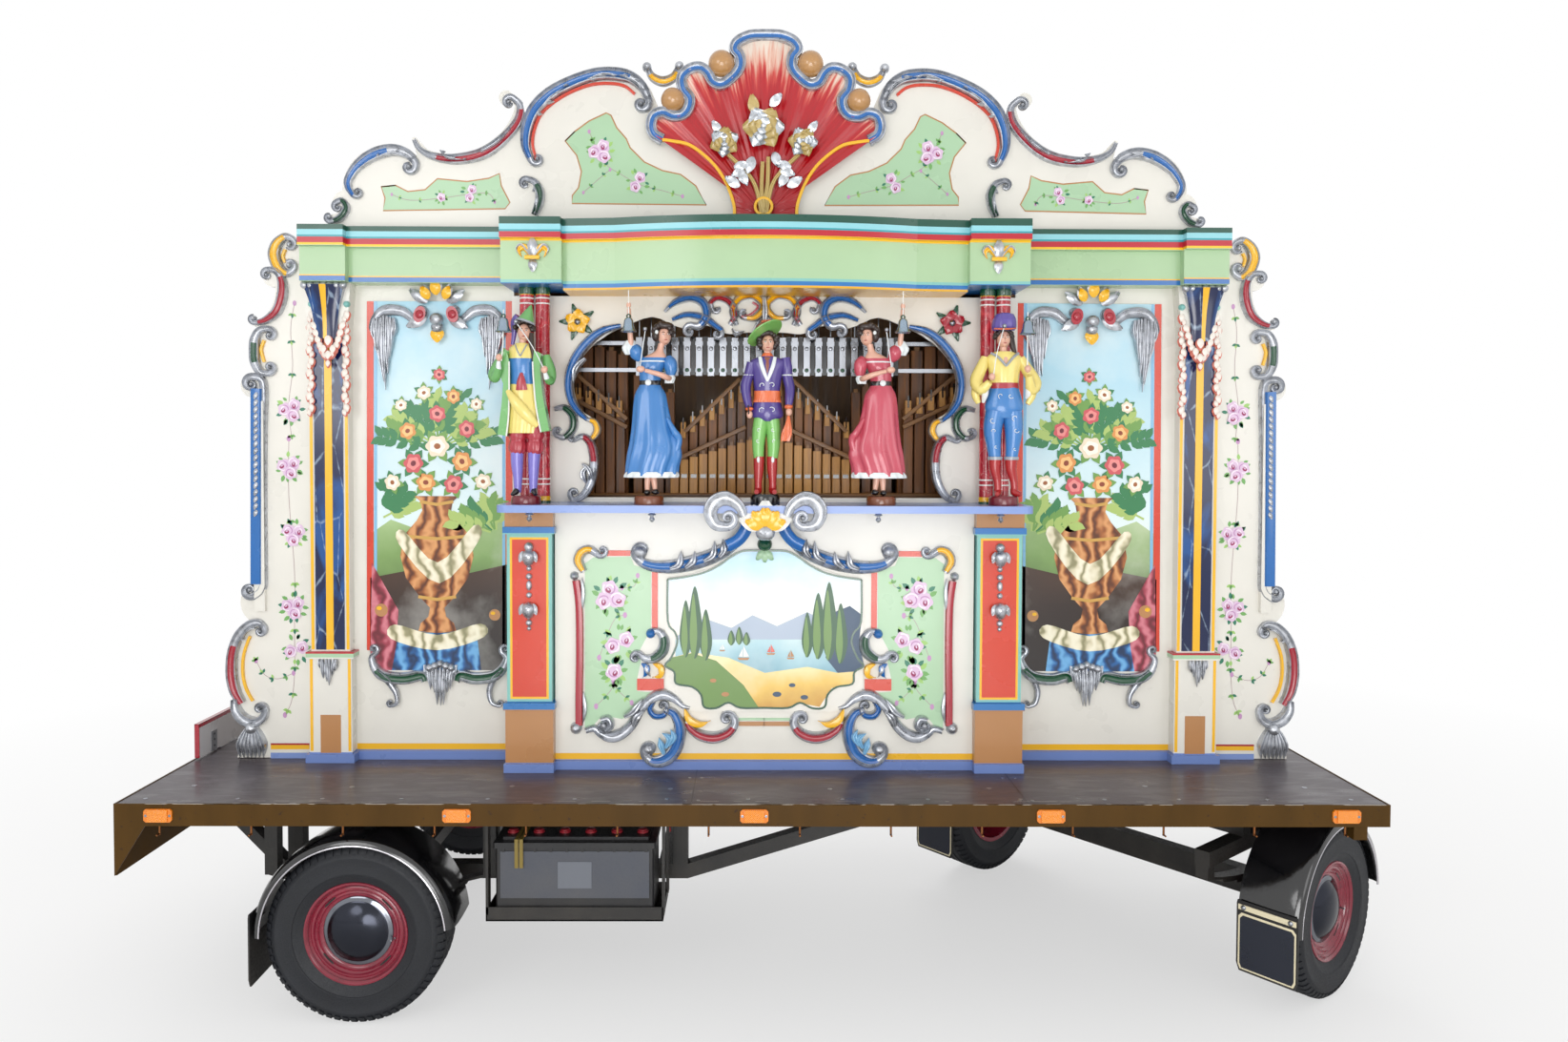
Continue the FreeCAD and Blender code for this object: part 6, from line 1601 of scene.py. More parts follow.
def belly():
    """Picture, rose panels and carvings on the lower middle board."""
    face = BELLY - PAINT
    art = Piece("belly_picture", slot="picture")
    landscape(art, BELLY - 8 - PAINT)
    art.build()
    piece = Piece("belly_paint", slot="cream_paint")
    patch(piece, mid(PANEL_EDGE), face, LEAF_GREEN)
    stroke(piece, mid(BELLY_EDGE), 8, BELLY - 12, GREEN)
    stroke(piece, mid(BELLY_SIDE), 8, BELLY - 12, GREEN, 4)
    for box_px, finish in (((222, 117, 318, 135), ORANGE_RED), ((389, 180, 408, 380), ORANGE_RED),
                           ((340, 539, 428, 577), ORANGE_RED), ((662, 680, 759, 694), BROWN),
                           ((662, 668, 759, 676), LEAF_GREEN)):
        piece.slab(flat(mid(corners(*box_px)), face), BELLY - 4, 4, finish)
    for x, y, count, size, seed in ((252, 268, 3, 34, 51), (282, 420, 2, 32, 52),
                                    (264, 516, 1, 34, 53)):
        spray(piece, *mid([(x, y)])[0], size, face, count, 13, seed)
    for seed, (size, *line) in enumerate(((22, (300, 330), (262, 350), (215, 470)),
                                          (22, (262, 545), (255, 575), (205, 630)),
                                          (20, (262, 560), (290, 590), (322, 618)),
                                          (20, (290, 240), (330, 235), (342, 200))), 54):
        trail(piece, mid(line), face, size, seed)
    piece.build(mirror=True)
    carve = Piece("belly_carving", slot="carving_silver")
    scrolls(carve, BELLY_SCROLLS, BELLY, mid)
    bead(carve, mid(((140, 215), (150, 300), (152, 450), (150, 600), (150, 690))),
         6, 30, BELLY, 18, RED)
    crescent(carve, mid(((160, 205), (164, 260), (158, 330))), 16, BELLY, 20, SILVER)
    crescent(carve, mid(((164, 580), (170, 640), (160, 695))), 16, BELLY, 20, SILVER)
    for x, y, r in ((134, 200, 18), (140, 700, 25), (385, 390, 20), (232, 690, 16), (350, 122, 30),
                    (380, 770, 26)):
        dome(carve, *pin(*mid([(x, y)])[0], BELLY), r / 1000, BELLY, 34,
             BLUE if x == 385 else SILVER)
    for pixels, wide, depth, rise, finish in (
            (((496, 636), (512, 672), (546, 688), (582, 676)), 30, BELLY - 8, 24, YELLOW),
            (((392, 488), (418, 500), (418, 526), (390, 534)), 26, BELLY, 26, YELLOW),
            (((354, 488), (372, 500), (370, 520), (358, 536)), 26, BELLY, 22, BLUE),
            (((378, 484), (372, 505), (386, 534)), 16, BELLY, 24, SILVER)):
        crescent(carve, mid(pixels), wide, depth, rise, finish)
    for pixels in (((560, 150), (590, 130), (596, 84)), ((610, 136), (625, 115), (622, 78)),
                   ((450, 175), (480, 160), (486, 116)), ((500, 172), (525, 150), (530, 118)),
                   ((656, 110), (672, 90), (700, 60)), ((300, 660), (330, 640), (360, 600)),
                   ((330, 690), (340, 660), (366, 640))):
        lobe_at(carve, mid(pixels), 34, BELLY, 18, 24, SILVER)
    for pixels in (((436, 760), (448, 730), (424, 712)), ((446, 752), (462, 726), (452, 700)),
                   ((430, 780), (420, 750), (414, 726))):
        lobe_at(carve, mid(pixels), 30, BELLY, 26, 18, PALE_BLUE)
    carve.build(mirror=True)
    belly_shell()


def belly_shell():
    """Volutes, open shell and drop over the lower middle board, under the stage."""
    top = Piece("belly_shell", slot="carving_silver")
    front = -692.0
    line = ((736, 640), (722, 612), (690, 594), (660, 606), (650, 634), (664, 662), (692, 668))
    scroll(top, north(line), (30, 44, 56, 58, 54, 46, 34), front, 24, SILVER,
           (0, 1), None, (1.1, 1))
    bead(top, north(((738, 640), (742, 670), (722, 700), (694, 716))),
         5, 50, front + 60, 30, BLUE, SCROLL_CUT)
    place = pin(*north([(786, 668)])[0], front)
    for k in range(5):
        a = math.pi / 2 + (k - 2) * 0.62
        for size, finish, lift in ((100, WHITE, 0), (74, YELLOW, 12)):
            petal(top, *place, size, size * 0.66, a, front + 20 - lift - 2 * k, 16, finish, 0.6)
    dome(top, *pin(*north([(786, 684)])[0], front), 0.03, front + 10, 22, SILVER)
    cx, cz = pin(*north([(788, 712)])[0], BELLY)
    dome(top, cx, cz, 0.028, BELLY - 8, 34, GREEN)
    for a in (-2.2, -1.57, -0.95):
        petal(top, cx, cz - 0.02, 54, 26, a, BELLY - 4, 18, LEAF_GREEN, 0.4)
    top.build(mirror=True)


# Depth of the window's frame; in the enlarged view of the stage, its edge and its scrolls.
WINDOW = -400.0
WINDOW_EDGE = ((785, 170), (745, 168), (700, 172), (676, 164), (640, 150), (600, 160), (556, 150),
               (500, 128), (430, 152), (384, 174), (344, 204), (310, 246), (297, 290), (302, 334),
               (320, 370), (346, 388), (360, 402), (362, 430), (346, 448), (356, 482), (353, 530),
               (336, 572), (318, 606))
WINDOW_SCROLLS = (
    (((420, 152), (372, 166), (330, 200), (300, 244), (287, 292), (292, 338), (312, 372),
      (334, 392)),
     (20, 34, 40, 40, 38, 36, 32, 18), 30, BLUE, (0, 1), None, None),
    (((532, 116), (560, 92), (600, 80), (632, 94), (640, 126), (622, 152), (600, 150)),
     (10, 26, 34, 38, 38, 34, 26), 32, BLUE, (0.05, 0.85), None, (0.9, 1)),
    (((552, 136), (590, 124), (634, 132), (664, 152), (676, 160)), (16, 26, 30, 30, 24), 26, BLUE,
     (0, 1), None, (0.9, -1)),
    (((656, 112), (652, 92), (672, 80), (700, 92), (714, 122), (700, 150)),
     (18, 24, 30, 32, 30, 20), 28,
     RED, (0.1, 0.9), (0.6, -1), None),
    (((718, 150), (706, 116), (722, 84), (756, 74), (782, 90), (784, 112), (764, 132), (736, 132)),
     (18, 26, 30, 32, 32, 30, 28, 20), 30, YELLOW, (0.1, 0.95), None, (0.6, -1)),
    (((250, 366), (276, 362), (298, 384), (298, 416), (276, 438), (256, 434)),
     (18, 30, 36, 36, 30, 20),
     30, GREEN, (0.15, 0.85), None, (0.7, -1)),
    (((330, 392), (352, 398), (360, 420), (346, 442), (334, 444)), (14, 28, 34, 28, 14), 26, YELLOW,
     (0.1, 0.9), None, None),
    (((300, 446), (324, 436), (344, 456), (352, 500), (346, 548), (326, 584), (300, 598),
      (290, 586)),
     (18, 32, 38, 38, 36, 34, 28, 20), 30, RED, (0.1, 0.42), (0.8, 1), (0.7, -1)),
)


def window_lobes(piece):
    """The small lobes that only the left half of the frame carries."""
    for pixels, wide in ((((330, 236), (306, 262), (300, 300)), 30),
                         (((336, 512), (324, 530), (334, 560)), 30),
                         (((322, 506), (340, 520), (350, 552)), 26),
                         (((786, 66), (790, 110), (788, 168)), 30),
                         (((760, 168), (772, 150), (786, 128)), 26),
                         (((706, 160), (716, 172), (738, 166)), 22)):
        lobe_at(piece, north(pixels), wide, WINDOW, 12, 24, SILVER)
    bead(piece, north(((730, 128), (752, 124), (772, 104), (758, 92))), 5, 10, WINDOW, 14, RED)


def window_frame():
    """Pierced cream board, carved frame, cresting and flowers round the pipe window."""
    board = Piece("window_board", slot="cream_paint")
    edge = smooth_line(flat(north(WINDOW_EDGE), WINDOW), 3)
    edge[0] = (FRONT_X, edge[0][1])
    edge[-1] = (edge[-1][0], 1.912)
    ring = [(FRONT_X - 0.8, 1.912), (FRONT_X - 0.8, 2.741), (FRONT_X, 2.741)] + edge
    board.slab(ring, WINDOW, 20, CREAM)
    board.build(mirror=True)
    for name, rose in (("window_carving", YELLOW), ("window_carving_right", RED)):
        piece = Piece(name, slot="carving_silver")
        scrolls(piece, WINDOW_SCROLLS, WINDOW, north)
        if rose is YELLOW:
            window_lobes(piece)
        flower(piece, *north([(310, 142)])[0], 52, WINDOW, rose, STEEL)
        piece.build(flip=rose is RED)
    drops = Piece("shelf_drops", slot="carving_silver")
    for x in (555.3, 684.0):
        lathe(drops, [(3, 0), (14, -5), (16, -9), (5, -15), (9, -22), (11, -28), (5, -36),
                      (1, -38)],
              (pin(x, 541, -650)[0], deep(-650), 1.883), (0, 0, 1), SILVER, 16)
    drops.build(mirror=True)


# Depth; first and last place across and the number of pipes between; heights at the first and
# the last or middle one; whether they have toggles; whether they are pale. In the stage's view.
PIPE_GROUPS = (
    (-125.0, 546, 1034, 20, 506, 434, 0, 1), (-62.0, 570, 1012, 18, 430, 292, 1, 0),
    (-125.0, 300, 432, 5, 330, 372, 1, 0), (-125.0, 1144, 1290, 5, 372, 330, 1, 0),
    (-20.0, 290, 440, 5, 182, 230, 0, 0), (-20.0, 1130, 1300, 5, 230, 182, 0, 0),
    (-10.0, 450, 560, 4, 270, 330, 0, 0), (-10.0, 1010, 1120, 4, 330, 270, 0, 0),
)


def pipes():
    """Wooden pipes with mouths, stoppers and slanting rails behind the window."""
    piece = Piece("wood_pipes_detail", slot="pipe_wood")
    for depth, x0, x1, count, y0, y1, toggles, pale in PIPE_GROUPS:
        peaked = count > 10
        step = (x1 - x0) / count
        for k in range(count):
            share = (k + 0.5) / count
            rise = 1 - abs(2 * share - 1) if peaked else share
            cy = y0 + (y1 - y0) * rise
            cx, cz = pin(*north([(x0 + step * (k + 0.5), cy)])[0], depth)
            half = step / 2.45 * 3.97 / 2200
            y = deep(depth)
            body = PALE_WOOD if pale else PIPE_WOOD
            boxy(piece, (cx - half, y, 1.93), (cx + half, y + half * 2.2, cz), body, 0.002)
            if pale:
                boxy(piece, (cx - half, y - 0.012, 1.935), (cx + half, y, 2.0), PALE_WOOD, 0.002)
                # Painted shade: the mouth's opening is a black slab laid on the pipe's face.
                boxy(piece, (cx - half * 0.7, y - 0.004, 2.004), (cx + half * 0.7, y, 2.02), BLACK)
            if toggles:
                boxy(piece, (cx - half * 0.8, y - 0.02, cz - 0.03), (cx + half * 0.5, y, cz + 0.04),
                     PALE_WOOD, 0.002)
                boxy(piece, (cx - half * 0.3, y - 0.024, cz + 0.01), (cx, y - 0.02, cz + 0.06),
                     BLACK)
            else:
                boxy(piece, (cx - half * 0.5, y + 0.004, cz),
                     (cx + half * 0.5, y + half, cz + 0.016),
                     RAIL_WOOD, 0.002)
    piece.build(sharp=20)
    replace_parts(bpy.data.objects["wood_pipes_detail"], "wood_pipes")
    rails = Piece("pipe_rails", slot="case_wood")
    for px, depth in ((((560, 496), (740, 412)), -132), (((840, 412), (1022, 496)), -132),
                      (((584, 424), (726, 288)), -70), (((858, 288), (1000, 424)), -70),
                      (((292, 262), (436, 392)), -132), (((310, 344), (436, 412)), -132),
                      (((1144, 392), (1300, 262)), -132), (((1144, 412), (1290, 344)), -132),
                      (((340, 596), (1240, 596)), -150)):
        line = flat(north(px), depth)
        wide = 0.05 if depth == -150 else 0.02
        ribbon(rails, line, [wide] * 2, depth, 16, BAR_CUT, RAIL_WOOD)
    rails.build()
    bars = Piece("metallophone_detail", slot="bar_metal")
    for k in range(22):
        u = FRONT_X + (k - 10.5) * 0.05
        for z in (2.46, 2.55):
            dome(bars, u, z, 0.009, -326, 5, GREEN if z < 2.5 else STEEL, 2, 10)
        lathe(bars, [(3, 0), (3, 120)], (u, deep(-318), 2.6), (0, 0, 1), STEEL, 8)
        boxy(bars, (u + 0.016, deep(-322), 2.44), (u + 0.034, deep(-318), 2.6), BLACK)
    bars.build()


# Millimetres for each step in the enlarged views of the figures.
DOLL_UNIT = 0.862


class Doll(Piece):
    """A carved figure, or its arm, in the place of a CAD node.

    Places are (x, y) in the enlarged view of the figures; out is mm towards the viewer.
    """

    def __init__(self, node, place, foot):
        body = node if node.startswith("arm_") else "wagon"
        super().__init__(node + "_carved", body, "figure_paint")
        self.place, self.foot = place, foot

    def spot(self, x, y, out=0.0):
        return Vector((FRONT_X + (self.place + (x - self.foot[0]) * DOLL_UNIT) / 1000,
                       deep(-600.0 - out), 1.912 + (self.foot[1] - y) * DOLL_UNIT / 1000))

    def ball(self, x, y, out, rx, rz, ry, finish, rings=8, around=14):
        centre = self.spot(x, y, out)
        rows = []
        for i in range(rings + 1):
            a = math.pi * (0.02 + 0.96 * i / rings) - math.pi / 2
            rows.append([
                centre + Vector((rx * math.cos(a) * math.cos(b), ry * math.cos(a) * math.sin(b),
                                 rz * math.sin(a))) * DOLL_UNIT / 1000
                for b in (k * 2 * math.pi / around for k in range(around))
            ])
        self.rows(rows, finish, ring=True)

    def limb(self, path, finish, around=12, squash=1.0):
        """A soft tube through (x, y, out, radius) places."""
        spots = [self.spot(x, y, out) for x, y, out, _ in path]
        line = smooth_line([tuple(p) for p in spots], 4)
        widths = smooth_line([(r, 0.0) for *_, r in path], 4)
        rows = []
        for i, (here, (wide, _)) in enumerate(zip(line, widths)):
            a, b = line[max(0, i - 1)], line[min(len(line) - 1, i + 1)]
            along = (Vector(b) - Vector(a)).normalized()
            side = along.cross(Vector((0, 1, 0)))
            side = side.normalized() if side.length > 0.01 else Vector((1, 0, 0))
            other = along.cross(side).normalized()
            rows.append([
                Vector(here)
                + (side * math.cos(t) + other * math.sin(t) * squash) * wide * DOLL_UNIT / 1000
                for t in (k * 2 * math.pi / around for k in range(around))
            ])
        self.rows(rows, finish, ring=True)

    def loft(self, rows, finish, folds=0, amp=0.0, twist=0.0, around=40, out=0.0):
        """A body through (x, y, half width, half depth) rings, with carved folds."""
        line = smooth_line(rows, 3)
        high, low = line[0][1], line[-1][1]
        skin = []
        for x, y, rx, ry in line:
            t = (y - low) / (high - low or 1.0)
            ring = []
            for k in range(around):
                a = k * 2 * math.pi / around
                wave = 1.0 + amp * t * math.cos(folds * a + twist * t)
                here = self.spot(x + rx * wave * math.cos(a), y,
                                 out - ry * wave * math.sin(a) * DOLL_UNIT)
                ring.append(here)
            skin.append(ring)
        self.rows(skin, finish, ring=True)

    def face(self, x, y, turn):
        """A plain, calm doll's face."""
        self.ball(x, y, 2, 30, 40, 32, SKIN, 10, 20)
        self.ball(x + turn * 4, y + 16, 10, 20, 20, 24, SKIN)
        nose = x + turn * 6
        self.limb(((nose, y - 8, 28, 3), (nose, y + 6, 36, 4.5), (nose, y + 8, 30, 3)), SKIN)
        self.ball(nose, y + 19, 32, 8, 2.6, 4, LIPS)
        for side in (-1, 1):
            ex = nose + side * 11.5
            self.ball(ex, y - 7, 27, 5.5, 3, 4, WHITE)
            self.ball(ex, y - 7, 30, 2.4, 2.4, 3, BLACK)
            self.limb(((ex - 7, y - 14, 27, 1.0), (ex, y - 17, 29, 1.5), (ex + 7, y - 14, 26, 1.0)),
                      HAIR)

    def curls(self, x, y, rx, rz, size, count, seed, finish, low, out):
        """Hair as many small curls over a round head, open at the face."""
        pick = random.Random(seed)
        for _ in range(count):
            a = pick.uniform(low, math.pi - low)
            up = pick.uniform(-0.35, 1.0)
            self.ball(x + rx * math.cos(a) * pick.uniform(0.85, 1.1), y - rz * math.sin(a),
                      out - 28 * up,
                      size, size, size, finish, 5, 8)

    def bell(self, x, y, top):
        """A bell with its clapper and its rod; top is the rod's upper end."""
        centre = self.spot(x, y, 60)
        cup = [(2, 8), (9, 6), (17, 0), (21, -10), (23, -30), (30, -48), (37, -56), (35, -58),
               (28, -50), (20, -32), (16, -8), (2, -4)]
        lathe(self, [(r * DOLL_UNIT, h * DOLL_UNIT) for r, h in cup],
              centre, (0, 0, 1), DOLL_BELL, 24)
        self.ball(x, y + 52, 60, 6, 8, 6, STEEL)
        for k in range(8):
            a = k * math.pi / 4
            self.ball(x + 8 * math.cos(a), y - 12 + 8 * math.sin(a), 60, 4, 4, 4, GREEN, 4, 8)
        self.limb(((x, y - 2, 60, 2.5), (x, y - 40, 60, 2.5), (x, top, 60, 2)), WHITE, 8)


HAIR = enamel("doll_hair", "2b1c17", 0.35, 0.4)
SKIN = enamel("doll_skin", "dcaa94", 0.3, 0.5)
LIPS = enamel("doll_lips", "a8473f", 0.3, 0.5)
DOLL_BELL = metal("bell_silver", "9fb0c0", 0.2)
# The figures' enamels.
(SKY_BLUE, ROSE_RED, LEMON, VIOLET, DOLL_LILAC, GRASS, COAT_GREEN, WINE, BOOT_RED, BASE_RED,
 BASE_BROWN, ORANGE, LACE, GREY_TRIM, UMBER, HAT_VIOLET) = (
    enamel("doll_" + name, code, 0.22, 0.5)
    for name, code in (("sky_blue", "3d7cbd"), ("rose_red", "bf4a5c"), ("lemon", "ead67c"),
                       ("violet", "4b3b86"), ("lilac", "7d74c4"), ("grass", "7cba62"),
                       ("coat_green", "6cab63"), ("wine", "a8303e"), ("boot_red", "a81f22"),
                       ("base_red", "6e0f22"), ("base_brown", "7a4226"), ("orange", "dd6b3a"),
                       ("lace", "dfe5e6"), ("grey_trim", "9aa0a8"), ("umber", "8a4a34"),
                       ("hat_violet", "5b4a9a"))
)


def plinth_block(doll, finish, tall):
    """The small turned block a figure stands on."""
    x, y = doll.foot
    doll.loft(((x, y, 67, 67), (x, y - tall * 0.3, 68, 68), (x, y - tall * 0.8, 66, 66),
               (x, y - tall, 60, 60)),
              finish)


def embroidery(doll, places, finish, out):
    """Small painted curls on cloth: (x, y, size, turn)."""
    for x, y, size, turn in places:
        path = []
        for k in range(7):
            a = turn + k * 0.7
            r = size * (1 - k * 0.12)
            path.append((x + r * math.cos(a), y + r * math.sin(a), out, 1.6))
        doll.limb(path, finish, 6)


def doll_object(name):
    return bpy.data.objects[name]


def lady(name, flip, dress_finish):
    """The dancing lady with a raised bell; the right-hand one is her mirror image."""
    doll = Doll(name, -457.0, (508, 873))
    plinth_block(doll, BASE_BROWN, 40)
    for x, y, r in ((500, 818, 20), (538, 815, 24)):
        doll.ball(x, y, 8, r * 0.75, 14, r * 1.3, BLACK)
    doll.limb(((500, 815, 0, 10), (500, 780, 0, 13), (503, 735, 0, 16)), SKIN)
    doll.limb(((536, 812, 0, 10), (532, 780, -4, 13), (526, 735, -4, 16)), SKIN)
    doll.loft(((518, 750, 120, 62), (520, 738, 124, 64), (522, 724, 118, 60)),
              LACE, 15, 0.05, 1.0, 90)
    doll.loft(((520, 742, 116, 58), (524, 700, 116, 60), (534, 650, 120, 60), (536, 600, 113, 56),
               (526, 540, 96, 54), (520, 480, 86, 50), (515, 420, 78, 46), (514, 370, 70, 42),
               (512, 335, 50, 36), (512, 320, 46, 34)), dress_finish, 9, 0.085, 4.5, 90)
    doll.limb(((592, 480, 20, 8), (625, 540, 26, 15), (645, 575, 16, 16), (628, 640, 10, 18),
               (600, 700, 6, 10)),
              dress_finish)
    doll.loft(((512, 330, 49, 37), (512, 310, 48, 36)), BLACK)
    doll.ball(508, 320, 34, 14, 14, 5, LACE)
    doll.loft(((512, 312, 46, 34), (514, 280, 49, 36), (520, 250, 55, 40), (525, 225, 59, 38),
               (532, 206, 57, 32)), dress_finish, 6, 0.03)
    doll.loft(((526, 226, 60.5, 39), (527, 220, 60.5, 38.5)), LACE)
    doll.loft(((532, 208, 55, 31), (542, 194, 42, 27), (554, 178, 21, 19), (560, 160, 15, 15),
               (566, 140, 16, 15)), SKIN)
    doll.face(578, 108, 1.6)
    doll.curls(572, 96, 40, 42, 13, 70, 5, HAIR, 0.05, 6)
    doll.ball(540, 108, 8, 18, 26, 26, HAIR)
    doll.ball(580, 62, 0, 42, 20, 34, HAIR)
    doll.ball(545, 92, 26, 8, 10, 6, LACE)
    doll.limb(((470, 214, 0, 16), (452, 190, 4, 30), (446, 165, 6, 28), (440, 150, 8, 14)),
              dress_finish)
    doll.loft(((428, 192, 26, 20), (420, 160, 34, 24), (424, 128, 20, 16)), LACE, 8, 0.16, 2.0)
    doll.limb(((428, 150, 8, 13), (424, 90, 18, 12), (423, 30, 34, 10), (423, -10, 46, 9)), SKIN)
    doll.ball(423, -24, 54, 11, 14, 11, SKIN)
    doll.bell(423, 38, -90)
    doll.build(flip=flip)
    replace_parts(doll_object(name + "_carved"), name)
    arm = Doll("arm_" + name, -457.0, (508, 873))
    arm.limb(((596, 200, 0, 14), (604, 226, 4, 30), (608, 260, 6, 28), (606, 292, 10, 16)),
             dress_finish)
    arm.loft(((600, 322, 18, 16), (604, 300, 24, 20), (606, 286, 18, 16)),
             LACE, 8, 0.12, 1.0, out=12)
    arm.limb(((604, 300, 14, 12), (596, 300, 60, 13), (560, 286, 82, 12), (500, 270, 84, 9)), SKIN)
    arm.ball(480, 264, 84, 20, 15, 13, SKIN)
    arm.limb(((476, 268, 90, 2.2), (488, 180, 86, 2.2), (500, 96, 84, 2)), LACE, 8)
    arm.ball(500, 86, 84, 10, 10, 10, STEEL)
    arm.build(flip=flip)
    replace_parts(doll_object("arm_%s_carved" % name), "arm_" + name)


def conductor():
    """The middle figure in a violet jacket and a wide green hat."""
    doll = Doll("conductor", 0.0, (812, 882))
    plinth_block(doll, BLACK, 50)
    for x, toe in ((780, -8), (846, 8)):
        doll.limb(((x + toe, 822, 34, 11), (x, 820, 8, 17), (x, 806, -4, 18)), BOOT_RED)
        doll.limb(((x, 824, -2, 17), (x, 780, 0, 17), (x - toe * 0.3, 720, 0, 23),
                   (x - toe * 0.4, 662, 0, 25)), BOOT_RED)
        doll.ball(x, 676, 22, 7, 14, 4, LACE)
    doll.limb(((782, 668, 0, 24), (780, 610, 0, 28), (786, 540, 0, 34), (796, 480, 0, 36)), GRASS)
    doll.limb(((846, 668, 0, 24), (850, 610, 0, 29), (848, 540, 0, 34), (838, 480, 0, 36)), GRASS)
    doll.loft(((822, 502, 20, 40), (821, 484, 66, 44), (820, 460, 72, 46), (820, 420, 62, 42),
               (820, 380, 56, 38), (820, 330, 62, 42), (821, 285, 68, 44), (822, 250, 80, 42),
               (822, 226, 78, 38), (822, 208, 40, 28)), VIOLET, 4, 0.02)
    doll.loft(((820, 416, 64, 44), (820, 392, 60, 43), (820, 364, 61, 42)),
              ORANGE, 30, 0.03, 5.0, 90)
    for side in (-1, 1):
        doll.limb(((820 + side * 34, 212, 24, 8), (820 + side * 26, 250, 39, 9),
                   (820 + side * 12, 290, 39, 8),
                   (820, 322, 38, 4)), LACE, 8, 0.5)
    doll.limb(((820, 214, 24, 16), (820, 250, 32, 13), (820, 290, 36, 5)), UMBER, 10, 0.5)
    doll.loft(((820, 216, 30, 24), (820, 204, 26, 24), (820, 192, 20, 20)), ORANGE, 12, 0.12)
    doll.limb(((820, 210, 0, 16), (820, 180, 0, 16)), SKIN)
    doll.face(822, 150, 0)
    doll.curls(822, 138, 40, 38, 12, 100, 9, HAIR, -0.75, 4)
    hat = doll.spot(808, 100, 6)
    lathe(doll, [(2, 6), (60, 5), (76, 2), (78, 0), (76, -3), (40, -4), (2, -4)], hat,
          (-0.5, 0.35, 0.8), GRASS, 40)
    lathe(doll, [(34, 4), (34, 26), (26, 34), (2, 36)], hat, (-0.5, 0.35, 0.8), UMBER, 24)
    doll.curls(818, 54, 24, 8, 7, 16, 3, ORANGE, 0.1, 4)
    doll.limb(((750, 236, 0, 24), (738, 285, 0, 24), (722, 340, 4, 24), (728, 400, 14, 20),
               (738, 440, 22, 15)), VIOLET)
    doll.ball(735, 292, 0, 27, 8, 25, LACE)
    doll.ball(739, 446, 24, 19, 10, 18, ORANGE)
    doll.ball(740, 472, 28, 14, 18, 12, SKIN)
    doll.limb(((736, 470, 38, 3), (734, 430, 44, 3)), BLACK, 8)
    embroidery(doll, ((798, 340, 14, 2.6), (842, 340, 14, -2.6), (798, 452, 16, 2.6),
                      (842, 452, 16, -2.6)), LACE, 37)
    embroidery(doll, ((778, 590, 10, 1), (852, 590, 10, 2), (784, 540, 10, 2), (846, 540, 10, 1)),
               LACE, 30)
    doll.build()
    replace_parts(doll_object("conductor_carved"), "conductor")
    arm = Doll("arm_conductor", 0.0, (812, 882))
    arm.limb(((904, 212, 0, 20), (908, 250, 0, 25), (912, 300, 0, 24), (922, 350, 8, 23),
              (920, 400, 20, 20),
              (916, 430, 26, 15)), VIOLET)
    arm.ball(911, 292, 0, 26, 8, 26, LACE)
    arm.ball(916, 436, 28, 20, 11, 19, ORANGE)
    arm.ball(918, 460, 32, 14, 18, 12, SKIN)
    arm.loft(((902, 592, 16, 8), (908, 560, 20, 12), (914, 520, 14, 10), (916, 478, 6, 6)),
             ORANGE, 7, 0.3, 3.0, 60, 34)
    arm.build()
    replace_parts(doll_object("arm_conductor_carved"), "arm_conductor")


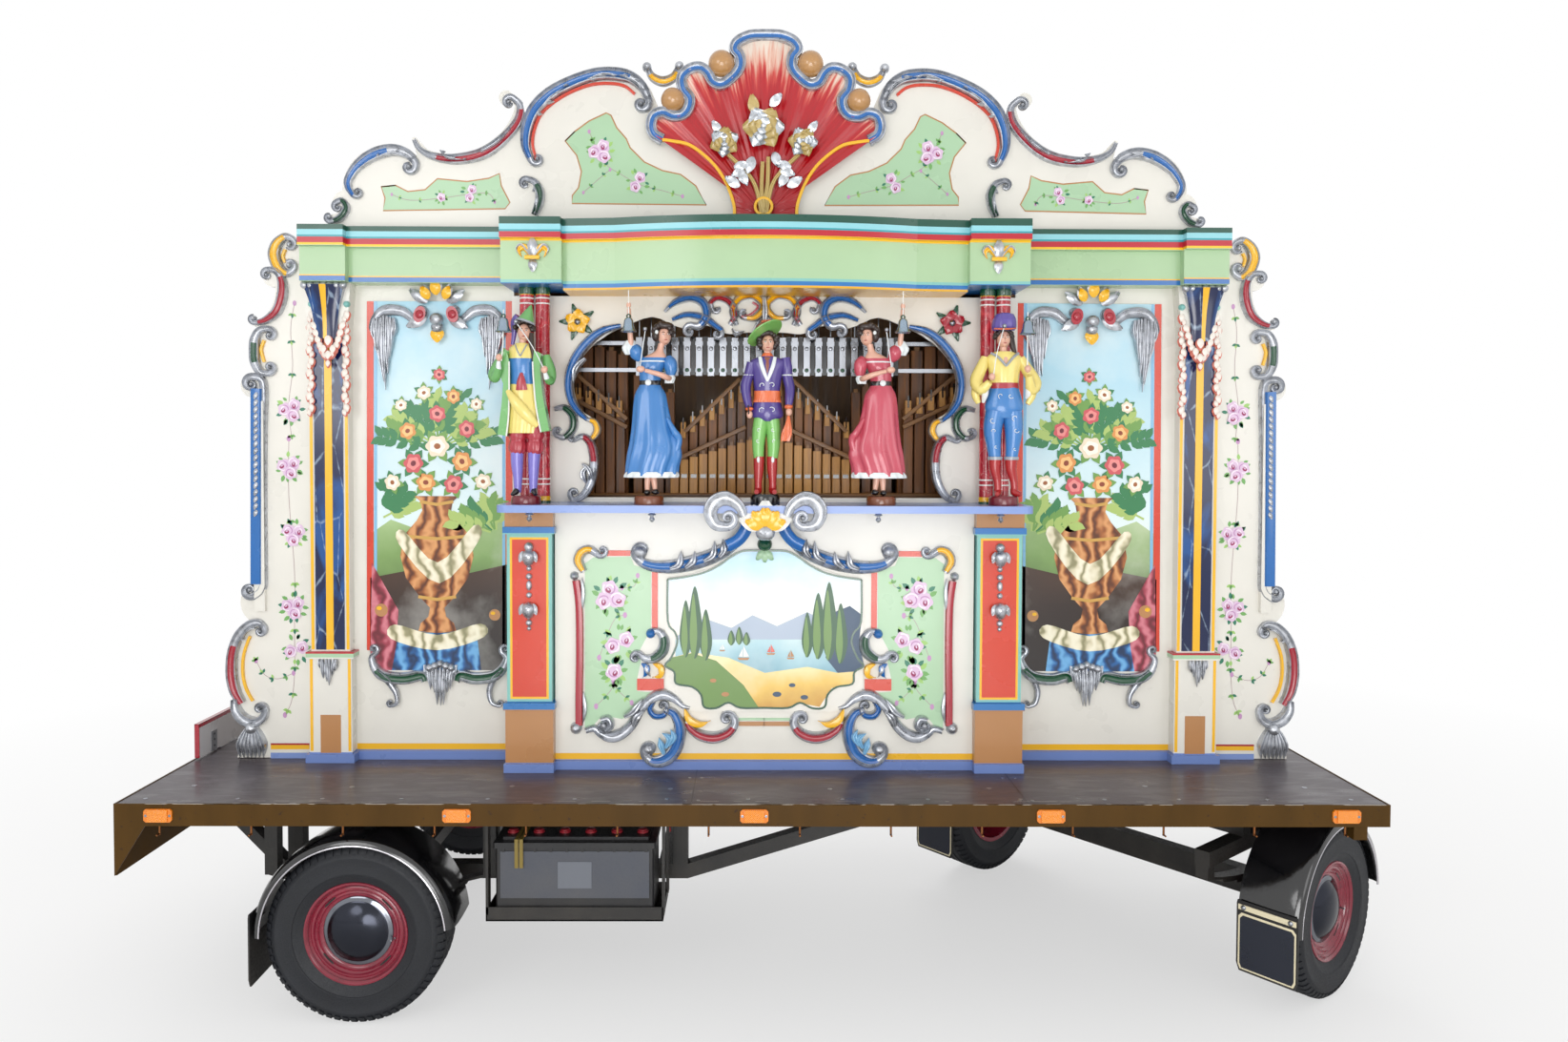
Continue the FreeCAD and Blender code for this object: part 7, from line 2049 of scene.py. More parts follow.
def man_left():
    """The figure with a green coat and a pointed hat."""
    doll = Doll("man_left", -940.0, (186, 945))
    plinth_block(doll, BASE_RED, 40)
    for x, y, r in ((142, 888, 1), (226, 888, -1)):
        doll.limb(((x - r * 12, y + 12, 34, 7), (x, y, 12, 15), (x + r * 4, y - 10, -6, 15)), BLACK)
    doll.limb(((148, 892, 0, 16), (148, 820, 0, 22), (145, 760, 0, 28), (146, 710, 0, 30)),
              DOLL_LILAC)
    doll.limb(((218, 892, 0, 16), (220, 820, 0, 22), (222, 760, 0, 26), (224, 710, 0, 29)),
              DOLL_LILAC)
    for x in (148, 228):
        doll.loft(((x, 716, 26, 26), (x, 700, 38, 34), (x, 670, 38, 34), (x, 655, 33, 31),
                   (x, 636, 40, 36),
                   (x + 2, 610, 36, 34), (x + 4, 580, 36, 34)), WINE, 9, 0.07, 3.0, 60)
    doll.loft(((178, 622, 72, 46), (180, 590, 74, 48), (181, 540, 74, 48), (180, 490, 72, 46),
               (178, 440, 66, 42), (176, 400, 60, 40)), LEMON, 22, 0.035, 6.0, 90)
    doll.limb(((112, 430, 34, 10), (150, 480, 48, 24), (200, 540, 48, 26), (246, 590, 34, 12)),
              LEMON, 12, 0.6)
    doll.loft(((174, 425, 30, 36), (174, 404, 56, 40), (172, 360, 55, 40), (170, 310, 58, 42),
               (170, 284, 60, 40)), SKY_BLUE)
    doll.limb(((175, 350, 36, 6), (175, 390, 38, 20), (176, 428, 36, 26)), WINE, 10, 0.3)
    doll.loft(((170, 288, 59, 39), (170, 262, 60, 38), (170, 236, 58, 34), (170, 214, 28, 24)),
              LEMON)
    doll.limb(((170, 224, 8, 18), (170, 250, 24, 10)), SKIN, 10, 0.6)
    for side in (-1, 1):
        doll.limb(((170 + side * 26, 222, 22, 3), (170 + side * 14, 250, 34, 3), (170, 276, 37, 3)),
                  GREY_TRIM, 8)
    doll.limb(((172, 214, 0, 16), (174, 190, 0, 16)), SKIN)
    doll.face(180, 166, 0.8)
    doll.curls(178, 150, 38, 34, 11, 60, 12, HAIR, -0.1, 4)
    doll.limb(((212, 170, 4, 12), (216, 220, 16, 12), (226, 262, 22, 10), (222, 296, 22, 5)), HAIR)
    hat = doll.spot(188, 118, 4)
    lathe(doll, [(36, 0), (30, 12), (18, 40), (6, 64), (1, 72)], hat, (0.28, 0.1, 0.95),
          COAT_GREEN, 28)
    lathe(doll, [(37, -4), (39, 0), (37, 4)], hat, (0.28, 0.1, 0.95), GREY_TRIM, 28)
    doll.limb(((152, 90, 0, 16), (134, 120, -6, 18), (132, 170, -8, 12), (124, 220, -8, 8)),
              HAT_VIOLET)
    for edge, outline in ((3, ((108, 250), (62, 268), (66, 330), (92, 400), (84, 500), (66, 628),
                               (106, 636), (118, 520), (120, 300))),
                          (4, ((232, 250), (262, 262), (258, 340), (268, 440), (290, 560),
                               (300, 610), (262, 618), (240, 500), (230, 380), (226, 300)))):
        ring = [doll.spot(x, y, 34) for x, y in outline]
        doll.slab([(p.x, p.z) for p in ring], -634.0, 52, COAT_GREEN)
        doll.limb([(x, y, 36, 4) for x, y in outline[-edge:]], WHITE, 8)
    doll.limb(((104, 246, 0, 22), (76, 290, 0, 25), (44, 352, 4, 28), (58, 372, 34, 22),
               (78, 330, 56, 16)), COAT_GREEN)
    doll.limb(((78, 336, 56, 13), (80, 300, 62, 9)), LACE)
    doll.ball(82, 284, 62, 15, 17, 14, SKIN)
    doll.limb(((92, 300, 62, 3), (100, 220, 62, 3), (100, 160, 60, 3)), WHITE, 8)
    doll.bell(102, 112, 76)
    doll.build()
    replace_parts(doll_object("man_left_carved"), "man_left")
    arm = Doll("arm_man_left", -940.0, (186, 945))
    arm.limb(((279, 268, 0, 17), (286, 300, 2, 24), (300, 350, 8, 27), (302, 384, 26, 22),
              (294, 372, 54, 16)), COAT_GREEN)
    arm.limb(((294, 378, 56, 13), (288, 352, 66, 9)), LACE)
    arm.ball(286, 338, 68, 16, 17, 14, SKIN)
    arm.limb(((290, 346, 72, 2.2), (240, 240, 94, 2.2), (178, 142, 116, 2)), LACE, 8)
    arm.ball(172, 132, 118, 10, 10, 10, STEEL)
    arm.build()
    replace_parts(doll_object("arm_man_left_carved"), "arm_man_left")


def man_right():
    """The figure with a yellow blouse, wide sleeves and a round hat."""
    doll = Doll("man_right", 940.0, (1487, 908))
    plinth_block(doll, BASE_RED, 43)
    for x, toe, knee in ((1460, -10, 1446), (1536, 22, 1520)):
        doll.limb(((x + toe, 856, 30, 10), (x, 850, 8, 17), (x, 836, -4, 18)), BOOT_RED)
        doll.limb(((x, 858, 0, 17), (x - 2, 800, 0, 18), (knee, 740, 0, 26), (knee, 686, 0, 31)),
                  BOOT_RED)
        doll.loft(((knee, 700, 33, 32), (knee, 686, 34, 33)), GREY_TRIM)
    doll.limb(((1446, 700, 0, 27), (1440, 640, 0, 32), (1434, 560, 0, 42), (1448, 480, 0, 46)),
              SKY_BLUE, 16)
    doll.limb(((1520, 700, 0, 27), (1526, 640, 0, 32), (1530, 560, 0, 42), (1522, 480, 0, 46)),
              SKY_BLUE, 16)
    doll.loft(((1485, 510, 60, 40), (1485, 470, 86, 50), (1485, 420, 80, 47), (1485, 372, 66, 42)),
              SKY_BLUE)
    doll.loft(((1485, 376, 67, 43), (1485, 350, 66, 42)), WINE, 3, 0.02)
    doll.loft(((1485, 352, 64, 41), (1485, 300, 70, 43), (1485, 262, 80, 42), (1484, 230, 78, 38),
               (1482, 208, 44, 28)), LEMON, 14, 0.02, 2.0, 60)
    doll.limb(((1480, 212, 10, 20), (1482, 240, 26, 18), (1482, 262, 36, 6)), SKIN, 12, 0.6)
    for side in (-1, 1):
        doll.limb(((1482 + side * 62, 216, 16, 6), (1482 + side * 34, 236, 36, 6),
                   (1482, 276, 42, 5)), GREY_TRIM, 8)
    doll.limb(((1480, 212, 0, 16), (1480, 180, 0, 16)), SKIN)
    doll.face(1480, 152, 0)
    doll.curls(1482, 140, 36, 30, 10, 50, 21, HAIR, -0.1, 2)
    doll.limb(((1514, 130, 0, 12), (1520, 180, 4, 14), (1530, 214, 12, 8)), HAIR)
    doll.loft(((1480, 112, 46, 42), (1482, 96, 54, 48), (1484, 62, 52, 46), (1485, 38, 40, 36)),
              HAT_VIOLET, 12, 0.05)
    doll.ball(1485, 42, 0, 38, 12, 34, HAT_VIOLET)
    doll.limb(((1430, 106, 26, 3), (1480, 110, 48, 4), (1530, 104, 24, 3)), ORANGE, 8)
    doll.limb(((1556, 236, 0, 22), (1590, 290, 0, 28), (1624, 350, 6, 30), (1600, 380, 30, 26),
               (1582, 320, 54, 16)), LEMON)
    doll.limb(((1606, 330, 10, 16), (1610, 400, 10, 20), (1590, 446, 10, 12)), LEMON)
    doll.limb(((1586, 330, 42, 12), (1588, 390, 32, 16), (1580, 420, 20, 6)), WHITE)
    doll.ball(1574, 290, 60, 15, 17, 14, SKIN)
    doll.limb(((1572, 306, 60, 3), (1572, 220, 60, 3), (1572, 140, 60, 3)), WHITE, 8)
    doll.bell(1572, 78, 42)
    embroidery(doll, ((1424, 520, 16, 1), (1430, 570, 12, 3), (1526, 510, 16, 2),
                      (1532, 565, 14, 0.4), (1460, 410, 14, 2), (1505, 410, 14, 0.6),
                      (1440, 640, 8, 1),
                      (1526, 650, 8, 1)), LACE, 40)
    doll.build()
    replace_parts(doll_object("man_right_carved"), "man_right")
    arm = Doll("arm_man_right", 940.0, (1487, 908))
    arm.limb(((1396, 232, 0, 17), (1384, 270, 2, 26), (1356, 340, 6, 30), (1372, 382, 34, 26),
              (1404, 350, 56, 16)), LEMON)
    arm.limb(((1362, 340, 8, 18), (1352, 400, 10, 20), (1366, 442, 10, 12)), LEMON)
    arm.limb(((1392, 350, 40, 12), (1390, 400, 32, 16), (1384, 440, 20, 6)), WHITE)
    arm.ball(1412, 326, 66, 16, 17, 14, SKIN)
    arm.limb(((1416, 334, 72, 2.2), (1432, 220, 72, 2.2), (1462, 110, 70, 2)), LACE, 8)
    arm.ball(1465, 100, 70, 10, 10, 10, STEEL)
    arm.build()
    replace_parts(doll_object("arm_man_right_carved"), "arm_man_right")


def figures():
    """All five figures; the bells they hold take the place of the bells on poles."""
    man_left()
    lady("lady_left", False, SKY_BLUE)
    conductor()
    lady("lady_right", True, ROSE_RED)
    man_right()
    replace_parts(doll_object("man_left_carved"), "bells")


# Wheels' middles: height and distance outward. Places along x of rear axle and kingpin, and its
# turn. Steps round a guard, and the wheels' names.
WHEEL_Z = 332.5
WHEEL_OUT = 816.0
REAR_AXLE = -1474.0
KINGPIN = 1697.0
STEER = math.radians(39.0)
ARCH_STEPS = 48
WHEELS = ("rear_near", "rear_far", "front_near", "front_far")


class Running(Piece):
    """A piece built round a wheel: x runs to the front of its axle, y outward, z up, in mm."""

    def __init__(self, name, wheel, body, slot, middle=WHEEL_Z):
        super().__init__(name, body, slot)
        self.side = -1 if wheel.endswith("near") else 1
        self.turned = wheel.startswith("front")
        self.middle = middle
        self.out = self.way(0, 1, 0)
        self.hub = self.spot(0, 0, 0)

    def spot(self, x, y, z):
        """Row-frame place of a place given from the wheel's middle."""
        y = self.side * (WHEEL_OUT + y)
        if self.turned:
            c, s = math.cos(STEER), math.sin(STEER)
            x, y = KINGPIN + x * c - y * s, x * s + y * c
        else:
            x += REAR_AXLE
        return spot(x, y, self.middle + z)

    def way(self, x, y, z):
        return (self.spot(x, y, z) - self.spot(0, 0, 0)).normalized()

    def turn(self, profile, finish, around=72, ends=False):
        lathe(self, profile, self.hub, self.out, finish, around, ends)

    def ring_row(self, radius, degrees, cut):
        """The cut's points, each (outward, added radius), at one angle round the wheel."""
        a = math.radians(degrees)
        return [self.spot((radius + r) * math.cos(a), y, (radius + r) * math.sin(a))
                for y, r in cut]

    def arch(self, radius, start, stop, cut, finish):
        """Sweeps a cut round part of the wheel."""
        rows = [self.ring_row(radius, start + (stop - start) * k / ARCH_STEPS, cut)
                for k in range(ARCH_STEPS + 1)]
        self.rows(rows, finish, ring=True)

    def block(self, low, high, finish):
        rows = [[self.spot(x, y, z) for x, y in corners(*low[:2], *high[:2])]
                for z in (low[2], high[2])]
        self.rows(rows, finish, ring=True)

    def patch_on(self, x, outline, finish):
        """A painted shape on a face that looks to the axle's front or back."""
        self.add([self.spot(x, y, z) for y, z in outline], [tuple(range(len(outline)))], finish)

    def stud(self, place, axis, profile, finish, around=12):
        lathe(self, profile, self.spot(*place), axis, finish, around)


# Tyre, from the bead over the crown: (radius, outward). Ribs stand on the crown.
TYRE_HALF = ((178, -70), (191, -72), (212, -86), (228, -92), (230, -95), (236, -96), (240, -95),
             (262, -97.4), (284, -95.6), (288, -97), (293, -96.6), (298, -94), (312, -86),
             (324, -77), (329, -60), (329, -53), (331, -51.5), (331.8, -26), (328, -24),
             (328, -15), (332.4, -13))
# Shoulder blocks on each flank, and a block's cut: (outward, radius).
TREAD_BLOCKS = 64
TREAD_CUT = ((58, 325), (58, 332), (76, 329.5), (87, 320), (93, 307), (84, 306))
# Pressed rim: flange, two ridges, flat disc, and the back of the disc and barrel.
RIM_PROFILE = ((178, 70), (190, 70), (194, 73), (192, 77.5), (186, 78.5), (181, 75), (177, 66),
               (172, 61), (167, 63.5), (161, 63), (157, 55), (152, 51), (146, 53), (142, 47),
               (136, 44), (60, 42), (30, 38), (30, -20), (60, -20), (60, 27), (172, 27),
               (172, -76), (191, -76), (191, -70), (178, -70), (178, 70))
CAP_PROFILE = ((124, 36), (129, 38), (131, 43), (129, 48), (123, 51), (114, 52), (108, 56),
               (96, 65), (78, 74), (58, 80.5), (38, 84.5), (18, 86.5), (4, 87))


def road_wheels():
    """Tyres with tread, pressed rims with ridges and slots, and the plated caps."""
    shine = metal("cap_chrome", "7d8088", 0.1)
    slot_dark = painted("vent_dark", "12080a")
    side_rubber, crimson = rubber("tyre_rubber_worn"), rim_finish()
    for wheel in WHEELS:
        body = "wheel_" + wheel
        tyre = Running("tyre_" + wheel + "_treaded", wheel, body, "tyre")
        loop = list(TYRE_HALF) + [(r, -h) for r, h in TYRE_HALF[::-1]]
        tyre.turn(loop, side_rubber, 96)
        for k in range(TREAD_BLOCKS):
            for flank in (-1, 1):
                rows = []
                for share in (0.0, 0.32, 0.64):
                    a = (k + share + (0.5 if flank > 0 else 0)) * 2 * math.pi / TREAD_BLOCKS
                    rows.append([tyre.spot(r * math.cos(a), flank * h, r * math.sin(a))
                                 for h, r in TREAD_CUT])
                tyre.rows(rows, side_rubber, ring=True)
        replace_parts(tyre.build(sharp=30.0), "tyre_" + wheel)

        rim = Running("rim_" + wheel + "_pressed", wheel, body, "rim_crimson")
        rim.turn(RIM_PROFILE, crimson)
        rim.turn(CAP_PROFILE, lambda r, c: shine if r < 5 else DARK_CHROME, 64, True)
        for degrees in (43, 133, 223, 313):
            rows = []
            for k in range(9):
                a = math.radians(degrees + (k - 4) * 2.6)
                wide = 5.0 * math.sqrt(max(0.0, 1 - ((k - 4) / 4.2) ** 2))
                rows.append([rim.spot(r * math.cos(a), lift, r * math.sin(a))
                             for r, lift in ((151.5 - wide, 52.6), (151.5 + wide, 53.2))])
            rim.rows(rows, slot_dark)
        a = math.radians(-12)
        rim.stud((139 * math.cos(a), 42, 139 * math.sin(a)), rim.way(-0.25, 1, 0.05),
                 ((4, 0), (4, 8), (3, 9), (3, 22), (3.6, 23), (3.6, 30), (1, 31)), STEEL)
        for k in range(5):
            a = k * math.tau / 5
            rim.stud((44 * math.cos(a), -20, 44 * math.sin(a)), -rim.out,
                     ((9, 0), (9, 9), (5, 10), (5, 18), (1, 19)), IRON, 6)
        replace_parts(rim.build(sharp=35.0), "rim_" + wheel)


def rim_finish():
    f = Finish("rim_crimson_gloss", 0.2, coat=0.6)
    cloud = f.noise(11.0, 5.0)
    grime = f.noise(30.0, 6.0)
    ground = f.mix(cloud, rgb("6d0f24"), rgb("8e1a33"))
    share = f.math("MULTIPLY", f.ramp(grime, [(0.56, 0.0), (0.78, 1.0)]), 0.4)
    f.colour(f.mix(share, ground, rgb("2a1013"))).rough(cloud, 0.14, 0.34)
    return f.bump(f.noise(90.0, 2.0), 0.0005, 0.2).mat


# A guard's cut, from its inner edge over the rounded shoulder to the rolled bead, and back.
GUARD_TOP = ((-115, 0), (-60, 3), (0, 4.5), (50, 4), (85, 1), (103, -5), (112, -14), (115, -26))
GUARD_WALL = 3.0
BEAD_CUT = tuple((112.5 + 3.4 * math.cos(math.tau * k / 8), -29 + 3.4 * math.sin(math.tau * k / 8))
                 for k in range(8))
# Height of the guards' middle, their radius, the degrees they span, and the flaps' heights.
GUARD_MID = 333.0
GUARD_RADIUS = 371.0
GUARD_SPAN = (5.0, 180.0)
FLAP_Z = (150.0, 420.0)
# The arms that hold them: top of the rear ones; place along x and heights of the front ones.
STAY_TOP = 765.0
FRONT_ARM_X = 160.0
ARM_Z = (655.0, 695.0)


def mudguards():
    """Rounded guards with a bright bead, their flaps, and the arms which hold them."""
    black = road_dust("guard_gloss", "0a0b0e", "35312b", 0.12, coat=0.8, low=0.0, high=0.35)
    flap_black = road_dust("flap_rubber", "101114", "45403a", 0.5, low=0.1, high=0.5)
    bright = metal("guard_bead", "d9d6dc", 0.22)
    navy = enamel("flap_navy", "0c1426", 0.3)
    ivory = enamel("flap_ivory", "e4d9b8", 0.35)
    for group, wheels, body in (("rear", WHEELS[:2], "wagon"), ("front", WHEELS[2:], "bogie")):
        front = group == "front"
        made = []
        for wheel in wheels:
            guard = Running("mudguard_" + wheel, wheel, body, "gloss_black", middle=GUARD_MID)
            under = [(y * 0.99, r - GUARD_WALL) for y, r in GUARD_TOP[::-1]]
            guard.arch(GUARD_RADIUS, *GUARD_SPAN, list(GUARD_TOP) + under, black)
            guard.arch(GUARD_RADIUS, *GUARD_SPAN, BEAD_CUT, bright)
            flap_x = -GUARD_RADIUS - 7
            low, high = FLAP_Z[0] - GUARD_MID, FLAP_Z[1] - GUARD_MID
            loaf = ((-112, high), (112, high), (115, high - 12), (115, low + 30), (104, low),
                    (-104, low), (-115, low + 30), (-115, high - 12))
            rows = [[guard.spot(flap_x + x, y, z) for y, z in loaf] for x in (-1, 5)]
            guard.rows(rows, flap_black, ring=True)
            guard.block((flap_x + 5, -60, high - 40), (flap_x + 12, 60, high - 8), black)
            guard.block((flap_x - 4, -108, high - 34), (flap_x - 1, 108, high - 14),
                        ivory if front else flap_black)
            for y in (-88, 88):
                guard.stud((flap_x - 4, y, high - 24), guard.way(-1, 0, 0),
                           ((10, 0), (9, 3), (5, 6), (1, 7)), STEEL)
            if front:
                face = flap_x - 1.6
                edge = ((-96, high - 46), (96, high - 46), (108, high - 60), (108, low + 26),
                        (100, low + 8), (-100, low + 8), (-108, low + 26), (-108, high - 60))
                guard.patch_on(face, edge, ivory)
                guard.patch_on(face - 0.6, [(y * 0.94, low + 8 + (z - low - 8) * 0.93 + 6)
                                            for y, z in edge], navy)
                bar = corners(FRONT_ARM_X - 20, ARM_Z[0] - GUARD_MID,
                              FRONT_ARM_X + 20, ARM_Z[1] - GUARD_MID)
                rows = [[guard.spot(x, y, z) for x, z in bar] for y in (600 - WHEEL_OUT, -112)]
                guard.rows(rows, CHASSIS, ring=True)
            else:
                guard.block((-20, -115, 372), (20, -75, STAY_TOP - GUARD_MID), CHASSIS)
            made.append(guard.build(sharp=35.0))
        for piece in made:
            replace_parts(piece, group + "_mudguards")


def block(piece, x, y, z, finish, bevel=0.0):
    """A block given by its two ends along each axis, in mm from the trailer's middle."""
    boxy(piece, spot(x[0], y[0], z[0]), spot(x[1], y[1], z[1]), finish, bevel)


def screw(piece, x, y, z, radius, finish, axis=(0, 0, 1)):
    """A countersunk screw head on a face."""
    lathe(piece, ((radius, 0), (radius, 0.8), (radius * 0.7, 1.2), (radius * 0.3, 0.6), (0.5, 0.6)),
          spot(x, y, z), axis, finish, 12)


BATTERY_X, BATTERY_Y, BATTERY_Z = (-980.0, -380.0), (-790.0, -570.0), (364.0, 651.0)


def battery_pack():
    """Battery with its label, ribs, caps, leads and strap, on its hanging tray."""
    case = road_dust("battery_plastic", "17181c", "3a3733", 0.38, low=0.2, high=0.8)
    panel = road_dust("battery_panel", "474b56", "55524c", 0.45, low=0.2, high=0.8)
    paper = enamel("battery_paper", "666a72", 0.5, 0.05)
    cap = enamel("battery_cap", "9c2430", 0.35)
    lead = enamel("lead_red", "a11c22", 0.4)
    strap = enamel("strap_yellow", "7d6a2a", 0.5, 0.0)
    p = Piece("battery_body", "wagon", "battery_case")
    (x0, x1), (y0, y1), (z0, z1) = BATTERY_X, BATTERY_Y, BATTERY_Z
    lid = z1 - 34
    block(p, (x0, x1), (y0, y1), (z0, lid), case, 0.006)
    block(p, (x0 - 8, x1 + 8), (y0 - 8, y1 + 8), (lid, z1 - 12), case, 0.006)
    block(p, (x0 + 20, x1 - 20), (y0 + 24, y1 - 24), (z1 - 12, z1), case, 0.004)
    block(p, (x0 + 18, x1 - 18), (y0 - 3, y0 + 2), (z0 + 62, lid - 12), panel)
    block(p, (x0 + 236, x1 - 236), (y0 - 4.5, y0 - 2), (z0 + 100, lid - 52), paper)
    for k in range(10):
        x = x0 + 30 + k * (x1 - x0 - 60) / 9
        block(p, (x - 5, x + 5), (y0 - 5, y0 + 1), (lid - 14, lid), case)
    for k in range(6):
        x = x0 + (x1 - x0) * (k + 0.5) / 6
        lathe(p, ((22, 0), (22, 7), (17, 8), (17, 12), (12, 13), (1, 13)),
              spot(x, (y0 + y1) / 2 - 30, z1), (0, 0, 1), cap, 16)
    for x, colour in ((x0 + 40, case), (x1 - 40, lead)):
        lathe(p, ((14, 0), (13, 16), (16, 17), (16, 24), (1, 25)), spot(x, y1 - 46, z1),
              (0, 0, 1), IRON, 14)
        path = [(x, y1 - 46, z1 + 20), (x + 10, y1 - 20, z1 + 46), (x + 30, y1 + 10, z1 + 40),
                (x + 60, y1 + 26, z1 + 6), (x + 80, y1 + 30, z1 - 60)]
        hose(p, path, 7.0, colour)
    for x in (x0 + 74, x0 + 92):
        block(p, (x, x + 14), (y0 - 10, y1 + 10), (z1, z1 + 3), strap)
        block(p, (x, x + 14), (y0 - 12, y0 - 8), (z0 + 180, z1 + 3), strap)
    tray = (x0 - 36, x1 + 36)
    block(p, tray, (y0 - 10, y1 + 10), (z0 - 24, z0 - 18), CHASSIS)
    for y in (y0 - 10, y1 + 6):
        block(p, tray, (y, y + 4), (z0 - 24, z0 + 30), CHASSIS)
    for x in (tray[0], tray[1] - 5):
        block(p, (x, x + 5), (y0 - 10, y1 + 10), (z0 - 24, z0 + 16), CHASSIS)
        for y in (y0 - 10, y1 - 30):
            block(p, (x, x + 10), (y, y + 40), (z0, 815), CHASSIS)
    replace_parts(p.build(), "battery")


def hose(piece, path, radius, finish):
    """A round lead along a soft path in mm from the trailer's middle."""
    line = [spot(*q) for q in smooth_line(path, 5)]
    rows = []
    for i, here in enumerate(line):
        way = (line[min(i + 1, len(line) - 1)] - line[max(i - 1, 0)]).normalized()
        side = way.cross(Vector((0.3, 0.2, 1.0))).normalized()
        other = way.cross(side)
        rows.append([here + (side * math.cos(a) + other * math.sin(a)) * radius / 1000
                     for a in angles(10)])
    piece.rows(rows, finish, ring=True)


# Ends of the deck along x, its front edge and its top; seams between its boards; reflectors a side.
DECK_X, DECK_FRONT, DECK_TOP = (-2331.0, 2331.0), -940.0, 833.0
SEAMS = (-231.0, 1006.0)
REFLECTORS = 5


def deck_details():
    """Seams, screws and worn edges of the deck."""
    seam = painted("seam_dark", "120e10")
    worn = painted("worn_edge", "b9b2a8")
    film = Piece("deck_marks", "wagon", "deck_board")
    rim = Piece("rim_wear", "wagon", "olive_paint")
    for x in SEAMS:
        film.add([spot(*p, DECK_TOP + 0.5) for p in corners(x - 2, -908, x + 2, 908)],
                 [(0, 1, 2, 3)], seam)
        for y in (-890, -620, 700, 890):
            for a in (-24, 24):
                screw(film, x + a, y, DECK_TOP, 7, STEEL)
    for k in range(15):
        x = -2240 + k * 320
        for y in (-876, 876):
            screw(film, x + random.uniform(-30, 30), y, DECK_TOP, 8, STEEL)
    for k in range(8):
        screw(film, -2150 + k * 610, random.uniform(-760, -700), DECK_TOP, 10, STEEL)
    for k in range(46):
        x = random.uniform(-2280, 2180)
        long = random.uniform(14, 110)
        y = DECK_FRONT + random.choice((0.8, 30.5)) + random.uniform(0, 1.5)
        wide = random.uniform(1.2, 3.6)
        rim.add([spot(x, y, 835.4), spot(x + long, y, 835.4), spot(x + long * 0.9, y + wide, 835.4),
                 spot(x + long * 0.1, y + wide, 835.4)], [(0, 1, 2, 3)], worn)
    for k in range(40):
        x = random.uniform(-2300, 2200)
        long = random.uniform(30, 190)
        y = DECK_FRONT - 0.5
        rim.add([spot(x, y, 835.2), spot(x + long, y, 835.2), spot(x + long * 0.94, y, 833.6),
                 spot(x + long * 0.06, y, 833.8)], [(0, 1, 2, 3)], worn)
    film.build()
    rim.build()


def side_reflectors():
    """Orange reflectors: a prism block between two screwed ears."""
    lens = reflector_lens("reflector_prisms")
    plate = enamel("reflector_plate", "de7a06", 0.25, 0.7)
    p = Piece("reflector_blocks", "wagon", "reflector")
    for side in (-1, 1):
        for k in range(REFLECTORS):
            x = DECK_X[0] + 163 + k * (DECK_X[1] - DECK_X[0] - 326) / (REFLECTORS - 1)
            face = side * 940.0
            for half_x, half_z, out, corner, finish in ((51.5, 24.5, 7, 8, plate),
                                                        (36, 22.5, 11.5, 3, lens)):
                ring = ((-half_x + corner, -half_z), (half_x - corner, -half_z),
                        (half_x, -half_z + corner), (half_x, half_z - corner),
                        (half_x - corner, half_z), (-half_x + corner, half_z),
                        (-half_x, half_z - corner), (-half_x, -half_z + corner))
                p.rows([[spot(x + a, face + side * d, 793 + b) for a, b in ring]
                        for d in (0, out)], finish, ring=True)
            for a in (-43.5, 43.5):
                screw(p, x + a, face + side * 7, 793, 5, STEEL, (0, side, 0))
    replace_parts(p.build(), "reflectors")


# Ends of the low end board along y.
END_Y = (-385.0, 905.0)


def end_board_trim():
    """Red edges and screwed steel straps of the low board at the deck's end."""
    p = Piece("end_board_trim", "end_board", "board_white")
    left, right, foot, top = -2323.0, -2305.0, 841.0, 981.0
    for y in (END_Y[0] - 1.5, END_Y[1] - 0.5):
        block(p, (left - 1, right + 1), (y, y + 2), (foot, top), RED)
    block(p, (left - 1, right + 1), (END_Y[0] - 1.5, END_Y[1] + 1.5), (top - 1, top + 1.5), RED)
    for x in (left - 1, right - 0.5):
        block(p, (x, x + 1.5), (END_Y[0] - 1.5, END_Y[1] + 1.5), (top - 14, top + 1), RED)
    for k in range(4):
        y = END_Y[0] + 120 + k * 350
        block(p, (right - 0.5, right + 3), (y - 22, y + 22), (foot, foot + 84), STEEL)
        for z in (foot + 20, foot + 46, foot + 70):
            screw(p, right + 3, y, z, 5, IRON, (1, 0, 0))
    p.build()


# The columns' distances from the middle, and the turned foot: (radius, height).
COLUMN_U = (896.0, 960.0)
COLUMN_ROWS = ((30.5, 1912), (30.5, 1921), (29.6, 1922), (29.6, 1937), (28.6, 1939))


def marbled_columns():
    """Round columns in imitation red marble with pale rings, painted foot and head."""
    p = Piece("columns_marbled", "wagon", "column_red")
    rings = [at(585, y, -509).z * 1000 for y in (505, 315)]
    profile = [(r, z, YELLOW if z > 1921 else GREEN) for r, z in COLUMN_ROWS]
    for z in rings:
        for low in (z - 13, z + 8):
            profile += [(28.6, low - 1, RED_MARBLE), (30.0, low, WHITE), (30.0, low + 4, WHITE),
                        (28.6, low + 5, WHITE)]
    profile += [(28.6, 2746, RED_MARBLE), (30.6, 2748, YELLOW), (30.6, 2756, GREEN),
                (31, 2758, GREEN), (31, 2776, GREEN)]
    for side in (-1, 1):
        for u in COLUMN_U:
            lathe(p, [(r, z) for r, z, _ in profile], spot(40 + side * u, -480, 0), (0, 0, 1),
                  lambda r, c: profile[r + 1][2], 28)
    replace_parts(p.build(), "red_columns")


